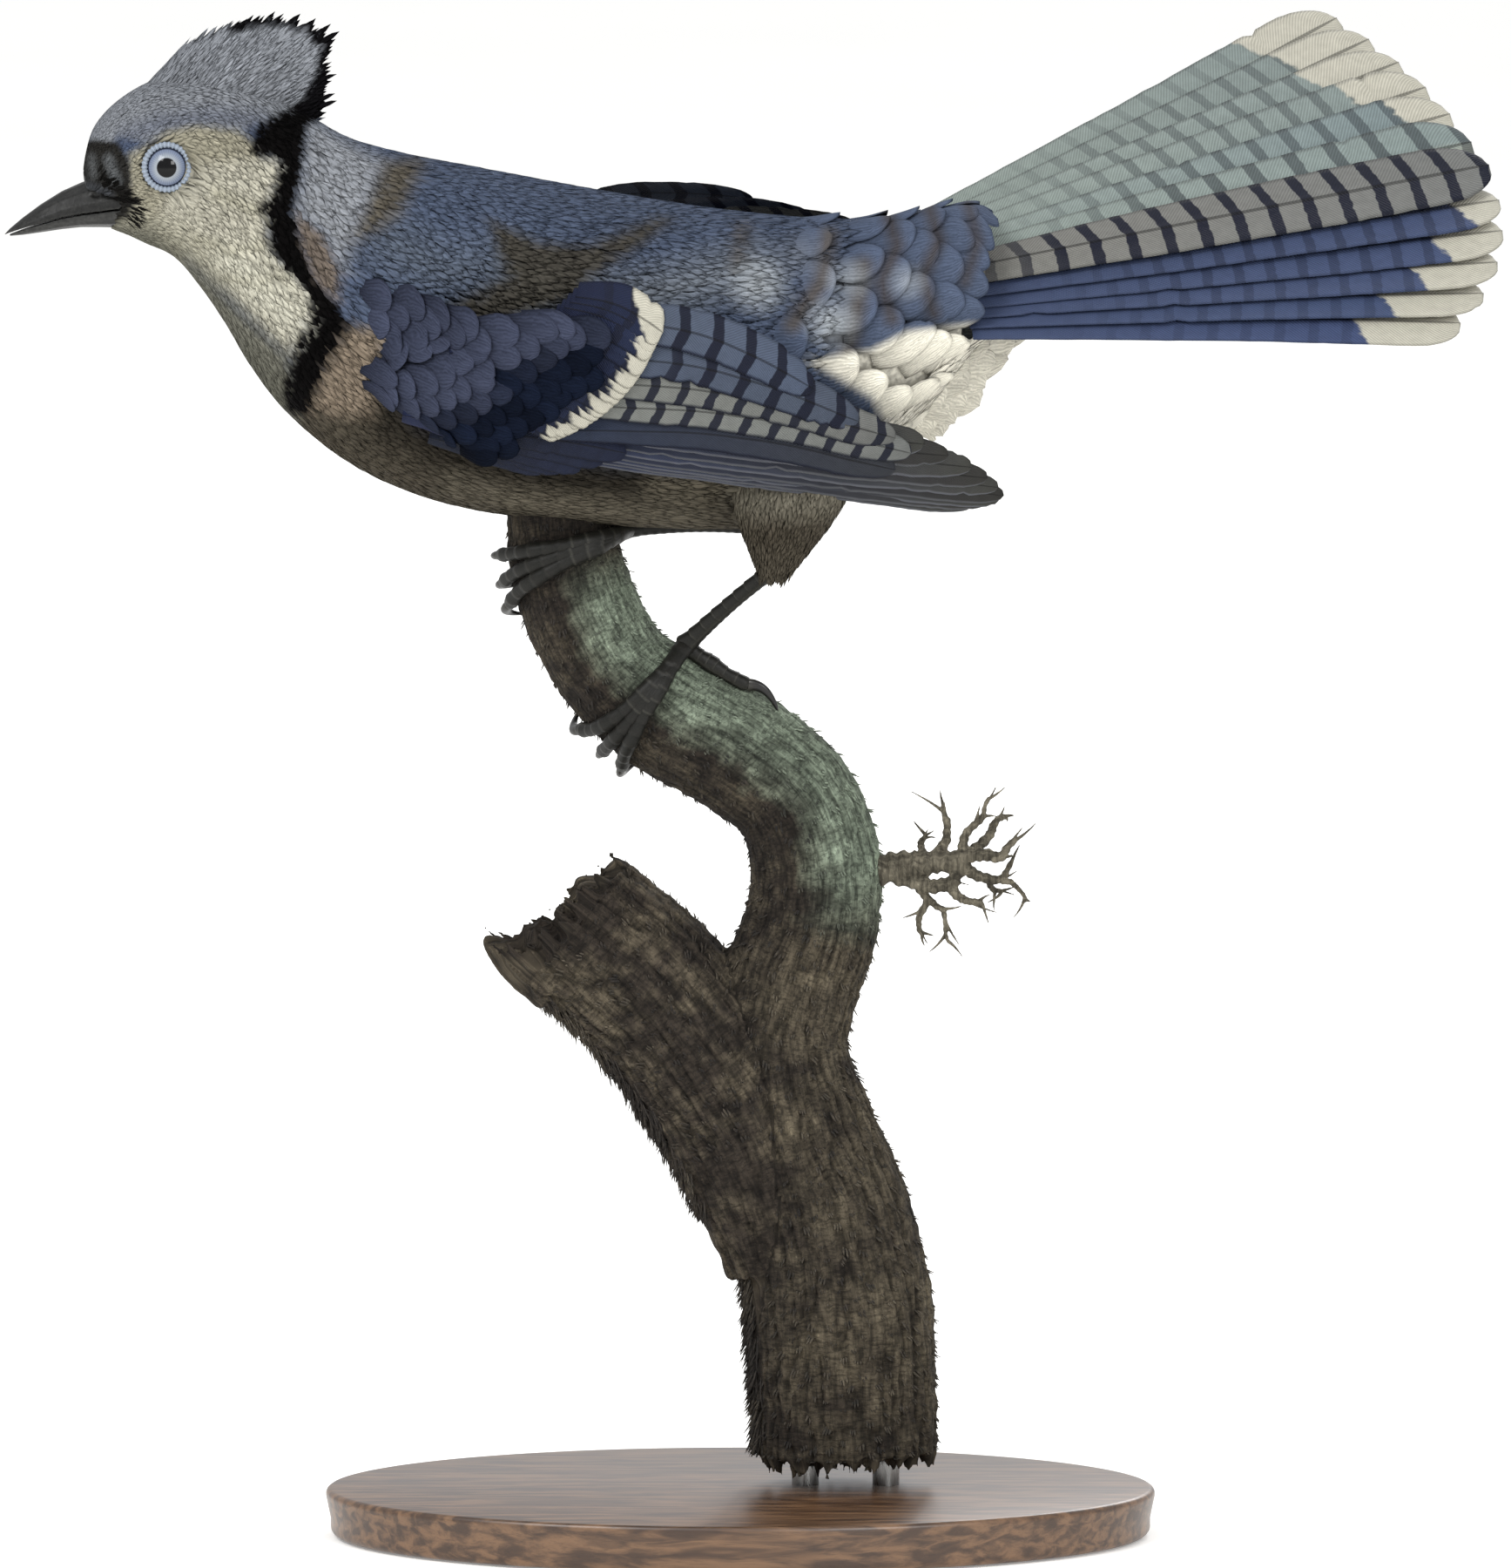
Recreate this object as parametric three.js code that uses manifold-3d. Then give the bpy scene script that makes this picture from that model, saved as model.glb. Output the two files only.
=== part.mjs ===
// Blue jay on a broken branch, life size, on a plain display stand.
// Millimetres, +Z up. The origin is the middle of the stand's underside.
// The bird looks along -X and shows its left side along -Y.

import * as THREE from 'three';
import { mergeVertices } from 'three/addons/utils/BufferGeometryUtils.js';
import Module from 'manifold-3d';

const wasm = await Module();
wasm.setup();

// General sizes
const GAP = 0.3;
const VIEW_PITCH = THREE.MathUtils.degToRad(7);

// Body: each row is one section, from the bill to the root of the tail.
// back and belly are [x, z] of its top and bottom edge, wide is its half width,
// roll leans the back toward -Y in degrees, and side moves the section along Y.
const BODY_SECTIONS = [
  { back: [-125.5, 262.8], belly: [-122.2, 252.0], wide: 5.5, roll: 0, side: 0 },
  { back: [-123.0, 271.4], belly: [-117.5, 250.8], wide: 8.6, roll: 0, side: 0 },
  { back: [-117.0, 277.4], belly: [-113.3, 248.9], wide: 11.5, roll: 0, side: 0 },
  { back: [-108.8, 281.0], belly: [-108.0, 246.4], wide: 13.6, roll: 0, side: 0 },
  { back: [-97.0, 280.8], belly: [-102.8, 240.4], wide: 14.8, roll: 0, side: 0 },
  { back: [-85.8, 275.8], belly: [-98.2, 233.6], wide: 15.4, roll: 3, side: 0 },
  { back: [-75.5, 269.4], belly: [-93.4, 225.6], wide: 17.0, roll: 8, side: 0 },
  { back: [-65.0, 266.0], belly: [-86.2, 216.7], wide: 19.4, roll: 16, side: 0 },
  { back: [-50.0, 262.8], belly: [-73.0, 206.6], wide: 23.0, roll: 22, side: 0 },
  { back: [-35.0, 259.8], belly: [-57.1, 200.1], wide: 25.4, roll: 24, side: 0 },
  { back: [-18.0, 256.8], belly: [-38.0, 196.7], wide: 26.2, roll: 24, side: 0 },
  { back: [-3.0, 254.6], belly: [-18.0, 195.2], wide: 25.2, roll: 24, side: 0 },
  { back: [13.3, 253.1], belly: [1.7, 195.0], wide: 22.8, roll: 25, side: 0.2 },
  { back: [24.5, 253.0], belly: [15.5, 197.6], wide: 20.2, roll: 27, side: 0.4 },
  { back: [33.0, 254.2], belly: [26.8, 205.8], wide: 18.2, roll: 30, side: 0.5 },
  { back: [39.5, 255.6], belly: [37.2, 219.5], wide: 16.6, roll: 32, side: 0.6 },
  { back: [45.5, 255.4], belly: [44.8, 229.0], wide: 15.0, roll: 34, side: 0.9 },
  { back: [51.0, 251.6], belly: [51.5, 234.4], wide: 11.6, roll: 35, side: 1.4 },
];
const BODY_SQUARENESS = 2.25;
const BODY_SIDES = 24;
// The cuts between the parts of the body, as places along the list of sections.
const HEAD_END = 5.45;
const NECK_END = 7.5;
const TORSO_END = 13.2;
const BODY_END = BODY_SECTIONS.length - 1;

// Bill
const BILL_SECTIONS = [
  { x: -117.0, top: 262.6, edge: 256.2, bottom: 251.9, wide: 4.9 },
  { x: -121.7, top: 261.9, edge: 255.4, bottom: 252.0, wide: 4.7 },
  { x: -125.5, top: 260.6, edge: 254.8, bottom: 252.0, wide: 4.3 },
  { x: -129.3, top: 258.9, edge: 254.0, bottom: 251.6, wide: 3.7 },
  { x: -133.3, top: 256.4, edge: 252.8, bottom: 251.0, wide: 2.9 },
  { x: -136.8, top: 253.8, edge: 251.7, bottom: 250.5, wide: 1.9 },
  { x: -139.3, top: 251.7, edge: 250.8, bottom: 250.3, wide: 0.8 },
];
const BILL_HOOK = { x: -140.4, z: 250.4 };
const NOSTRIL = { x: -122.9, z: 258.6, long: 1.5, high: 0.7, deep: 1.1 };
const GAPE_END_X = -116.6;

// Eye and lids
const EYE = { x: -108.8, y: 10.1, z: 264.6, radius: 4.8, across: 14, up: 8 };
const LID = { ring: 4.25, thick: 0.75, y: 12.75, around: 5, along: 14 };

// Places along a feather from root to tip, with the share of its full width.
const LONG_VANE = [[0, 0.5], [0.32, 0.86], [0.66, 1], [0.9, 0.84], [1, 0.34]];
const SHORT_VANE = [[0, 0.6], [0.55, 1], [0.86, 0.8], [1, 0.3]];
const TIP_THINNING = 0.6;

// Crest: roots along the crown and tips along the outline, front to back, as [x, z].
const CREST_ROOTS = [[-120.5, 268.5], [-113.5, 272.0], [-105.0, 274.5], [-97.0, 274.8], [-88.0, 269.5]];
const CREST_TIPS = [[-102.8, 282.4], [-96.4, 287.0], [-91.4, 291.4], [-85.8, 293.4], [-80.4, 292.2],
  [-77.0, 289.2], [-77.6, 280.5], [-79.0, 271.0]];
const CREST_ROWS = [
  { side: 0, rootY: 0, tipY: 0, count: 8, reach: 1 },
  { side: -1, rootY: 4.8, tipY: 1.9, count: 7, reach: 0.95 },
  { side: 1, rootY: 4.8, tipY: 1.9, count: 7, reach: 0.95 },
  { side: -1, rootY: 8.8, tipY: 4.0, count: 5, reach: 0.8 },
  { side: 1, rootY: 8.8, tipY: 4.0, count: 5, reach: 0.8 },
];
const CREST_FEATHER = { width: 6.6, thick: 0.6, bow: 0.4, tilt: 0.2 };
// How far the side rows sit below the middle one, for each millimetre they stand out.
const CREST_ROOT_DROP = 0.35;
const CREST_TIP_DROP = 0.4;
const CREST_CORE = { steps: 5, top: 0.42, low: -0.25, wide: 7.2, taper: 3.2, widest: 0.45, sides: 10 };

// The frame of the torso, in which the folded wings lie.
const TORSO_FRAME = { z: 229.1, roll: THREE.MathUtils.degToRad(24) };
const FLANK_WIDTH = [[-90, 17], [-68, 22.4], [-50, 26.6], [-20, 28.4], [0, 27.6], [20, 24.2], [35, 19.6],
  [50, 14.5], [60, 11]];
const FLANK_CENTRE = [[-75, 4.4], [-45, 0.2], [-15, -1.6], [60, -1.6]];
const FLANK_HEIGHT = 40;

// Wings: the left wing hangs a little low, and the right one is held higher over the back.
const WING_POSES = {
  left: { side: -1, pitch: 0, slide: 0, raise: 0 },
  right: { side: 1, pitch: THREE.MathUtils.degToRad(20), slide: -3, raise: -12.6 },
};
const SHOULDER = [-48, 14];

// Tiers of the wing, as curves of roots and tips on the flank, [x, z] in the torso frame.
// height is over the flank, step is added feather by feather and tilt shingles them.
const WING_TIERS = {
  primaries: {
    profile: LONG_VANE, count: 5, width: [6.8, 8.2], height: 1.3, step: 0, tilt: -0.3, bow: [5, 2.5],
    roots: [[-46, -5.5], [-40, -2], [-34, 3]],
    tips: [[44, -26.2], [50.2, -25], [46.4, -18.4], [35, -8.6]],
  },
  secondaries: {
    profile: LONG_VANE, count: 5, width: [9.5, 10.5], height: 3.6, step: 0, tilt: -0.2, bow: [3, 4],
    roots: [[-38, -3], [-37, 5], [-32, 15]],
    tips: [[29.5, -12.2], [31.6, -8.6], [28.5, -4.6], [24, -0.6], [14, 8]],
  },
  primaryCoverts: {
    profile: SHORT_VANE, count: 3, width: [6, 7], height: 3.4, step: 0.1, tilt: -0.25, bow: [1, 1],
    roots: [[-59, -5], [-55, -3.5], [-51, -2]],
    tips: [[-37, -9.6], [-30, -8.4], [-21.5, -4.4]],
  },
  greaterCoverts: {
    profile: SHORT_VANE, count: 6, width: [8.4, 9], height: 5.2, step: 0, tilt: -0.2, bow: [1, 1.5],
    roots: [[-56, -1], [-53, 7], [-44, 16]],
    tips: [[-33, -1.6], [-24, 0.8], [-17, 8.5], [-14.6, 15], [-17.5, 20]],
  },
  medianCoverts: {
    profile: SHORT_VANE, count: 5, width: [8, 9], height: 6.2, step: 0, tilt: -0.16, bow: [0.5, 1],
    roots: [[-64, -0.5], [-61, 7], [-55, 14]],
    tips: [[-46, -2.5], [-37, 3], [-31, 10], [-30, 17]],
  },
};
const WING_THICKNESS = 0.6;
const ARM_SECTIONS = [
  { x: -70.5, middle: 3.5, half: 3, out: 1.6 },
  { x: -66, middle: 4.8, half: 8, out: 4.6 },
  { x: -57, middle: 5.6, half: 11.5, out: 6.6 },
  { x: -47, middle: 6.5, half: 12.5, out: 6.0 },
  { x: -36, middle: 8, half: 11, out: 4.2 },
  { x: -28, middle: 9.5, half: 6, out: 2.4 },
];
const ARM_DEPTH = 9;

// Tail: a half open fan of twelve feathers on its own tilted sheet, from the near side to the far one.
const TAIL = {
  root: new THREE.Vector3(31.8, -2.3, 241.7),
  axis: new THREE.Vector3(0.9378, 0.2981, 0.1765),
  across: new THREE.Vector3(-0.345, 0.7561, 0.5563),
  count: 12, top: 5, spread: [-16.8, 19.2], halfRoot: 12.4, start: 12,
  middleLength: 118, outerLength: [101.5, 114.5], width: [14.5, 17],
  thick: 0.6, step: 0.2, tilt: 0.13, raise: 1.3, camber: 0.0005, rounding: 2.2,
};
const TAIL_STEM = { from: 11, to: 32, wide: 12.5, spread: 5, thick: 2.4, taper: 0.5, low: -0.8, sides: 12 };
const TAIL_VANE = [[0, 0.5], [0.4, 0.86], [0.7, 1], [0.93, 0.94], [0.985, 0.7], [1, 0.36]];

// Coverts under the tail, in rows below its root: along the tail, below it, and across it.
const UNDERTAIL = {
  roots: [[6, -14], [-2, -22], [-8, -30]],
  tips: [[23, -13], [14, -20.5], [6, -29.5], [1, -37.5]],
  rows: [
    { rootB: 0, tipB: 0, count: 5 },
    { rootB: -7, tipB: -6, count: 4 },
    { rootB: 7, tipB: 6, count: 4 },
  ],
  width: 9, thick: 0.7, bow: 1, tilt: 0.2,
};

// Legs: paths in [x, y, z], the left one nearest -Y.
const LEGS = {
  left: {
    thigh: [[10.5, -12.5, 209], [9.2, -14, 200], [6.8, -14, 187.8]],
    thighHalf: [[12, 7], [10.6, 6.8], [3.9, 3]],
    heel: [7.8, -14, 189.2],
    foot: { station: 3.6, angle: 67 },
    toes: [
      { shift: -2.5, from: 58, to: -58 },
      { shift: 2.4, from: 58, to: -66 },
      { shift: 6.4, from: 56, to: -52 },
    ],
    hallux: { shift: 12.5, from: 72, to: 66, spread: 1 },
  },
  right: {
    thigh: [[7.5, 13, 209], [6.2, 14.5, 202], [4.6, 14.4, 192.6]],
    thighHalf: [[9.4, 7], [7.6, 6.2], [3.0, 2.8]],
    heel: [5, 14.4, 193],
    foot: { station: 0.58, angle: 104 },
    toes: [
      { shift: -0.6, from: 88, to: -62 },
      { shift: 3.4, from: 88, to: -70 },
      { shift: 7.4, from: 84, to: -62 },
    ],
    hallux: { shift: 8, from: 122, to: 150, spread: 1 },
  },
};
const TARSUS = { along: 1.85, across: 1.5, scutes: 7, step: 0.22, sides: 8 };
// spread is how soon a toe reaches its own line along the branch.
const TOE = { root: 1.55, tip: 1.15, scutes: 3, step: 0.18, rest: 0.72, sides: 6, spread: 1.6 };
const FOOT_PAD = { radius: 2.5, rest: 0.75, across: 10, up: 6 };
// A claw arches over the bark from its toe and hooks down at its tip.
const CLAW = {
  start: 0.5, length: 6.6, root: 0.85, tip: 0.22, lift: 0.5, arch: 0.8, hook: 2, steps: 4, sides: 6,
};

// Branch: its middle line from the top down as [x, z], with its half width.
const BRANCH = [
  { x: -34.9, z: 199.5, half: 10.2 },
  { x: -33.2, z: 187.1, half: 11.2 },
  { x: -30.0, z: 177.3, half: 11.5 },
  { x: -24.2, z: 167.2, half: 11.5 },
  { x: -14.0, z: 158.6, half: 12.5 },
  { x: 0.3, z: 150.5, half: 12.5 },
  { x: 10.0, z: 142.1, half: 12.3 },
  { x: 14.3, z: 130.8, half: 12.8 },
  { x: 13.7, z: 118.2, half: 13.2 },
  { x: 9.7, z: 106.5, half: 13.6 },
  { x: 7.4, z: 94.7, half: 13.6 },
  { x: 10.6, z: 77.9, half: 15.6 },
  { x: 16.3, z: 61.1, half: 16.8 },
  { x: 19.0, z: 44.3, half: 18.2 },
  { x: 20.0, z: 27.5, half: 18.0 },
  { x: 20.3, z: 15.5, half: 17.9 },
];
const BRANCH_Y = 3;
const BRANCH_DEPTH = 0.82;
const BRANCH_SIDES = 16;
const BRANCH_CUT = 5.2;
const TRUNK_CUT = 8.6;
const BRANCH_END = BRANCH.length - 1;
// The usual distance between two rows of the list.
const BRANCH_SPACING = 11.6;

// Broken stub: its middle line from inside the trunk out to the break.
const STUB = [
  { x: 10.0, z: 52, half: 13.0 },
  { x: 6.0, z: 66, half: 15.0 },
  { x: -2.0, z: 84, half: 16.4 },
  { x: -16.8, z: 104.6, half: 16.2 },
  { x: -32.2, z: 117.8, half: 15.8 },
];
const STUB_SPLINTERS = [
  { across: -12.8, reach: 2.5, half: 3.6 },
  { across: -7.0, reach: 5.0, half: 4.6 },
  { across: -0.5, reach: 4.5, half: 4.8 },
  { across: 6.5, reach: 7.0, half: 4.5 },
  { across: 13.0, reach: 11.5, half: 4.2 },
];
// Each splinter is sunk in the stub, narrows from its shoulder, and is deep for its width.
const SPLINTER = { sunk: 6, shoulder: 0.6, high: 0.8, top: 0.25, deep: 2.2, round: 17, sides: 6 };

// Twig: each shoot is a path of [x, y, z] with its first and last half thickness.
const TWIG_SIDES = 5;
const TWIG_SHOOTS = [
  { half: [3.4, 1.9], path: [[24, 3, 128], [34, 2.4, 129.2], [42.5, 2, 130.2]] },
  { half: [1.9, 0.7], path: [[41, 2, 130.2], [45.5, 1, 131.4], [49.5, -0.6, 131], [52.5, -1.6, 134.6]] },
  { half: [1.0, 0.5], path: [[35, 2.4, 129.5], [34.8, 3.5, 133.6], [35.6, 4, 134.8]] },
  { half: [1.3, 0.5], path: [[37.5, 2.2, 130], [39.6, 3.4, 135.5], [38.8, 4.6, 140.2]] },
  { half: [1.2, 0.45], path: [[42.5, 2, 130.5], [43.4, 1, 135.4], [46.2, 0, 138.5], [47.2, -0.6, 142.5]] },
  { half: [1.3, 0.5], path: [[43, 2, 131], [47.5, 3.6, 134.4], [49.3, 4.6, 137.4], [50.8, 5.2, 138.2]] },
  { half: [1.5, 0.6], path: [[42, 2, 130], [45, 2.6, 127.4], [49.5, 3, 126.2], [52, 2.2, 129.8]] },
  { half: [0.9, 0.45], path: [[47.4, 2.8, 126.8], [48.2, 4.4, 124.4], [50.2, 5.4, 123.6]] },
  { half: [0.8, 0.45], path: [[49.4, 3, 126.3], [52.6, 1.6, 125.4], [54.8, 0.8, 122.6]] },
  { half: [1.7, 1.2], path: [[30, 2.8, 127], [36.8, 1.4, 125.2], [40.6, 1.2, 126], [42, 1.8, 128.8]] },
  { half: [1.3, 0.6], path: [[39.4, 1.2, 125.6], [42.4, 0.4, 123], [46.6, -0.4, 122.2]] },
  { half: [1.1, 0.5], path: [[33.6, 2, 126], [35.6, 3, 122.6], [34, 3.8, 117.6], [34.8, 4.2, 115.6]] },
  { half: [0.9, 0.45], path: [[35.4, 3, 122.8], [38.6, 2.2, 120.4], [39.6, 1.6, 114.4]] },
];

// Stand
const BASE = { long: 160, wide: 96, thick: 9, edge: 2.5, sides: 40 };
const ROD = { radius: 2.6, xs: [12.5, 28], sides: 16 };

// Colours
const FINISH = {
  plumageBlue: { color: 0x6d779b, roughness: 0.8 },
  plumageNavy: { color: 0x38426a, roughness: 0.75 },
  plumageGrey: { color: 0x8b867c, roughness: 0.85 },
  plumageBrown: { color: 0x6f675d, roughness: 0.85 },
  plumageWhite: { color: 0xd9d6c9, roughness: 0.85 },
  bill: { color: 0x34332f, roughness: 0.45 },
  eye: { color: 0x8e9cc4, roughness: 0.15 },
  leg: { color: 0x2b2a28, roughness: 0.55 },
  bark: { color: 0x4b443a, roughness: 0.95 },
  stand: { color: 0x5b4432, roughness: 0.5 },
  rod: { color: 0x8d8d8a, roughness: 0.35, metalness: 1 },
};

const group = new THREE.Group();

// Small helpers

function vec(point) {
  return new THREE.Vector3(point[0], point[1], point[2]);
}

function clamp01(value) {
  return Math.min(1, Math.max(0, value));
}

// Straight-line reading of a table of [place, value] rows.
function reading(table, place) {
  let low = table[0];
  for (const row of table) {
    if (row[0] >= place) {
      const span = row[0] - low[0];
      return span > 0 ? low[1] + ((row[1] - low[1]) * (place - low[0])) / span : row[1];
    }
    low = row;
  }
  return low[1];
}

// A smooth curve through flat points, read from 0 at its first point to 1 at its last.
function flatCurve(points) {
  const curve = new THREE.CatmullRomCurve3(points.map((point) => new THREE.Vector3(point[0], point[1], 0)));
  return (at) => curve.getPoint(at);
}

function signedVolume(positions, indices) {
  let six = 0;
  const a = new THREE.Vector3();
  const b = new THREE.Vector3();
  const c = new THREE.Vector3();
  for (let i = 0; i < indices.length; i += 3) {
    a.fromArray(positions, indices[i] * 3);
    b.fromArray(positions, indices[i + 1] * 3);
    c.fromArray(positions, indices[i + 2] * 3);
    six += a.dot(b.cross(c));
  }
  return six / 6;
}

// A closed geometry becomes a solid, with its faces turned outward.
function solid(geometry) {
  const bare = geometry.clone();
  bare.deleteAttribute('normal');
  bare.deleteAttribute('uv');
  const merged = mergeVertices(bare, 1e-4);
  const vertProperties = Float32Array.from(merged.attributes.position.array);
  const triVerts = Uint32Array.from(merged.index.array);
  if (signedVolume(vertProperties, triVerts) < 0) {
    for (let i = 0; i < triVerts.length; i += 3) {
      [triVerts[i], triVerts[i + 1]] = [triVerts[i + 1], triVerts[i]];
    }
  }
  return new wasm.Manifold(new wasm.Mesh({ numProp: 3, vertProperties, triVerts }));
}

function joined(solids) {
  return solids.reduce((all, next) => all.add(next));
}

function cut(body, tools) {
  return tools.reduce((rest, tool) => rest.subtract(tool), body);
}

function largest(body) {
  const pieces = body.decompose();
  pieces.sort((a, b) => b.volume() - a.volume());
  return pieces[0];
}

// The largest closed surface of a solid goes into the scene as one named mesh.
function addNode(name, body, finish) {
  const mesh = largest(body).getMesh();
  const geometry = new THREE.BufferGeometry();
  geometry.setAttribute('position', new THREE.BufferAttribute(new Float32Array(mesh.vertProperties), 3));
  geometry.setIndex(new THREE.BufferAttribute(new Uint32Array(mesh.triVerts), 1));
  const flat = geometry.toNonIndexed();
  flat.computeVertexNormals();
  const node = new THREE.Mesh(flat, new THREE.MeshStandardMaterial(finish));
  node.name = name;
  group.add(node);
}

// A skin over rings of equal count, closed by a fan at each end.
function loft(rings) {
  const sides = rings[0].length;
  const positions = [];
  const indices = [];
  for (const ring of rings) {
    for (const point of ring) {
      positions.push(point.x, point.y, point.z);
    }
  }
  for (let row = 0; row < rings.length - 1; row += 1) {
    for (let k = 0; k < sides; k += 1) {
      const a = row * sides + k;
      const b = row * sides + ((k + 1) % sides);
      indices.push(a, b, a + sides, b, b + sides, a + sides);
    }
  }
  const ends = [{ ring: rings[0], first: 0, turn: true },
    { ring: rings[rings.length - 1], first: (rings.length - 1) * sides, turn: false }];
  for (const end of ends) {
    const middle = new THREE.Vector3();
    end.ring.forEach((point) => middle.addScaledVector(point, 1 / sides));
    const centre = positions.length / 3;
    positions.push(middle.x, middle.y, middle.z);
    for (let k = 0; k < sides; k += 1) {
      const a = end.first + k;
      const b = end.first + ((k + 1) % sides);
      indices.push(...(end.turn ? [centre, b, a] : [centre, a, b]));
    }
  }
  const geometry = new THREE.BufferGeometry();
  geometry.setAttribute('position', new THREE.Float32BufferAttribute(positions, 3));
  geometry.setIndex(indices);
  return geometry;
}

function ringAround(centre, u, w, halfU, halfW, sides, squareness = 2) {
  const ring = [];
  for (let k = 0; k < sides; k += 1) {
    const angle = (2 * Math.PI * k) / sides;
    const su = Math.sign(Math.sin(angle)) * Math.abs(Math.sin(angle)) ** (2 / squareness);
    const sw = Math.sign(Math.cos(angle)) * Math.abs(Math.cos(angle)) ** (2 / squareness);
    ring.push(centre.clone().addScaledVector(u, halfU * su).addScaledVector(w, halfW * sw));
  }
  return ring;
}

// A round tube along points, with a half thickness for each; lean makes it wider across than deep.
function tube(points, halves, sides, lean = 1, up = new THREE.Vector3(0, 1, 0)) {
  const rings = points.map((point, i) => {
    const ahead = points[Math.min(i + 1, points.length - 1)];
    const behind = points[Math.max(i - 1, 0)];
    const tangent = ahead.clone().sub(behind).normalize();
    const u = up.clone().addScaledVector(tangent, -up.dot(tangent)).normalize();
    const w = tangent.clone().cross(u);
    return ringAround(point, u, w, halves[i] * lean, halves[i], sides);
  });
  return loft(rings);
}

// Body

function bodyCurves() {
  const threes = (pick) => new THREE.CatmullRomCurve3(BODY_SECTIONS.map(pick));
  return {
    back: threes((s) => new THREE.Vector3(s.back[0], 0, s.back[1])),
    belly: threes((s) => new THREE.Vector3(s.belly[0], 0, s.belly[1])),
    form: threes((s) => new THREE.Vector3(s.wide, s.roll, s.side)),
  };
}

const BODY_CURVES = bodyCurves();

// The section's half height follows from its outline in a view pitched down on the rolled body.
function bodyRing(place, grow) {
  const at = place / BODY_END;
  const back = BODY_CURVES.back.getPoint(at);
  const belly = BODY_CURVES.belly.getPoint(at);
  const form = BODY_CURVES.form.getPoint(at);
  const roll = THREE.MathUtils.degToRad(form.y);
  const upright = back.clone().sub(belly).normalize();
  const half = (back.distanceTo(belly) / 2) * Math.cos(VIEW_PITCH);
  const lean = roll + VIEW_PITCH;
  const high = Math.sqrt(half ** 2 - (form.x * Math.sin(lean)) ** 2) / Math.cos(lean);
  const centre = back.clone().add(belly).multiplyScalar(0.5);
  centre.y = form.z;
  centre.z -= form.z * Math.tan(VIEW_PITCH);
  const across = new THREE.Vector3(0, 1, 0);
  const u = upright.clone().multiplyScalar(Math.cos(roll)).addScaledVector(across, -Math.sin(roll));
  const w = across.clone().multiplyScalar(Math.cos(roll)).addScaledVector(upright, Math.sin(roll));
  return ringAround(centre, u, w, high + grow, form.x + grow, BODY_SIDES, BODY_SQUARENESS);
}

function bodyLength(from, to, grow = 0) {
  const count = Math.max(3, Math.round((to - from) * 2));
  const rings = [];
  for (let i = 0; i <= count; i += 1) {
    rings.push(bodyRing(from + ((to - from) * i) / count, grow));
  }
  return solid(loft(rings));
}

// Half of the gap, as a step along the list of sections, on each side of a cut.
const CUT_STEP = 0.011;

const bodyGrown = bodyLength(0, BODY_END, GAP);

// Bill

function billHalf(upper, grow) {
  const rings = BILL_SECTIONS.map((s) => {
    const top = upper ? s.top + grow : s.edge - GAP / 2 + grow;
    const bottom = upper ? s.edge + GAP / 2 - grow : s.bottom - grow;
    const wide = (upper ? s.wide : s.wide * 0.9) + grow;
    const high = top - bottom;
    const shape = upper
      ? [[1, 0], [0.97, 0.3], [0.72, 0.68], [0.28, 0.95], [0, 1]]
      : [[1, 1], [0.98, 0.7], [0.75, 0.28], [0.3, 0.04], [0, 0]];
    const half = shape.map(([w, h]) => new THREE.Vector3(s.x, w * wide, bottom + h * high));
    const mirrored = half.slice(0, -1).reverse().map((p) => new THREE.Vector3(p.x, -p.y, p.z));
    return [...half, ...mirrored];
  });
  const tip = upper ? BILL_HOOK : { x: BILL_HOOK.x + 1, z: BILL_HOOK.z - 0.05 };
  const last = rings[rings.length - 1];
  const flat = upper ? 0.16 : 0.12;
  rings.push(last.map((p) => new THREE.Vector3(
    tip.x - grow, p.y * flat, tip.z + (p.z - BILL_SECTIONS[BILL_SECTIONS.length - 1].edge) * flat)));
  rings.unshift(rings[0].map((p) => new THREE.Vector3(p.x + grow, p.y, p.z)));
  if (grow === 0) {
    rings.shift();
  }
  return solid(loft(rings));
}

function ball(x, y, z, halfX, halfY, halfZ, across, up) {
  const geometry = new THREE.SphereGeometry(1, across, up);
  geometry.scale(halfX, halfZ, halfY);
  geometry.rotateX(Math.PI / 2);
  geometry.translate(x, y, z);
  return solid(geometry);
}

function buildBill() {
  const nostrils = [-1, 1].map((side) => ball(
    NOSTRIL.x, side * 4.4, NOSTRIL.z, NOSTRIL.long, NOSTRIL.deep, NOSTRIL.high, 8, 6));
  addNode('bill_upper', cut(billHalf(true, 0), nostrils), FINISH.bill);
  addNode('bill_lower', billHalf(false, 0), FINISH.bill);
}

// Head with the sockets of the eyes, the lids and the line of the mouth

function lidRing(side) {
  const geometry = new THREE.TorusGeometry(LID.ring, LID.thick, LID.around, LID.along);
  geometry.rotateX(Math.PI / 2);
  geometry.translate(EYE.x, side * LID.y, EYE.z);
  return solid(geometry);
}

function gapeCut(side) {
  const points = [[-123.5, 255.2], [-120, 255.7], [GAPE_END_X, 256.4]];
  const rings = points.map(([x, z], i) => {
    const high = i === 2 ? 0.12 : 0.35;
    const inner = 3.4;
    const outer = 13.5;
    return [[inner, -high], [outer, -high], [outer, high], [inner, high]]
      .map(([y, h]) => new THREE.Vector3(x, side * y, z + h));
  });
  return solid(loft(rings));
}

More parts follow.
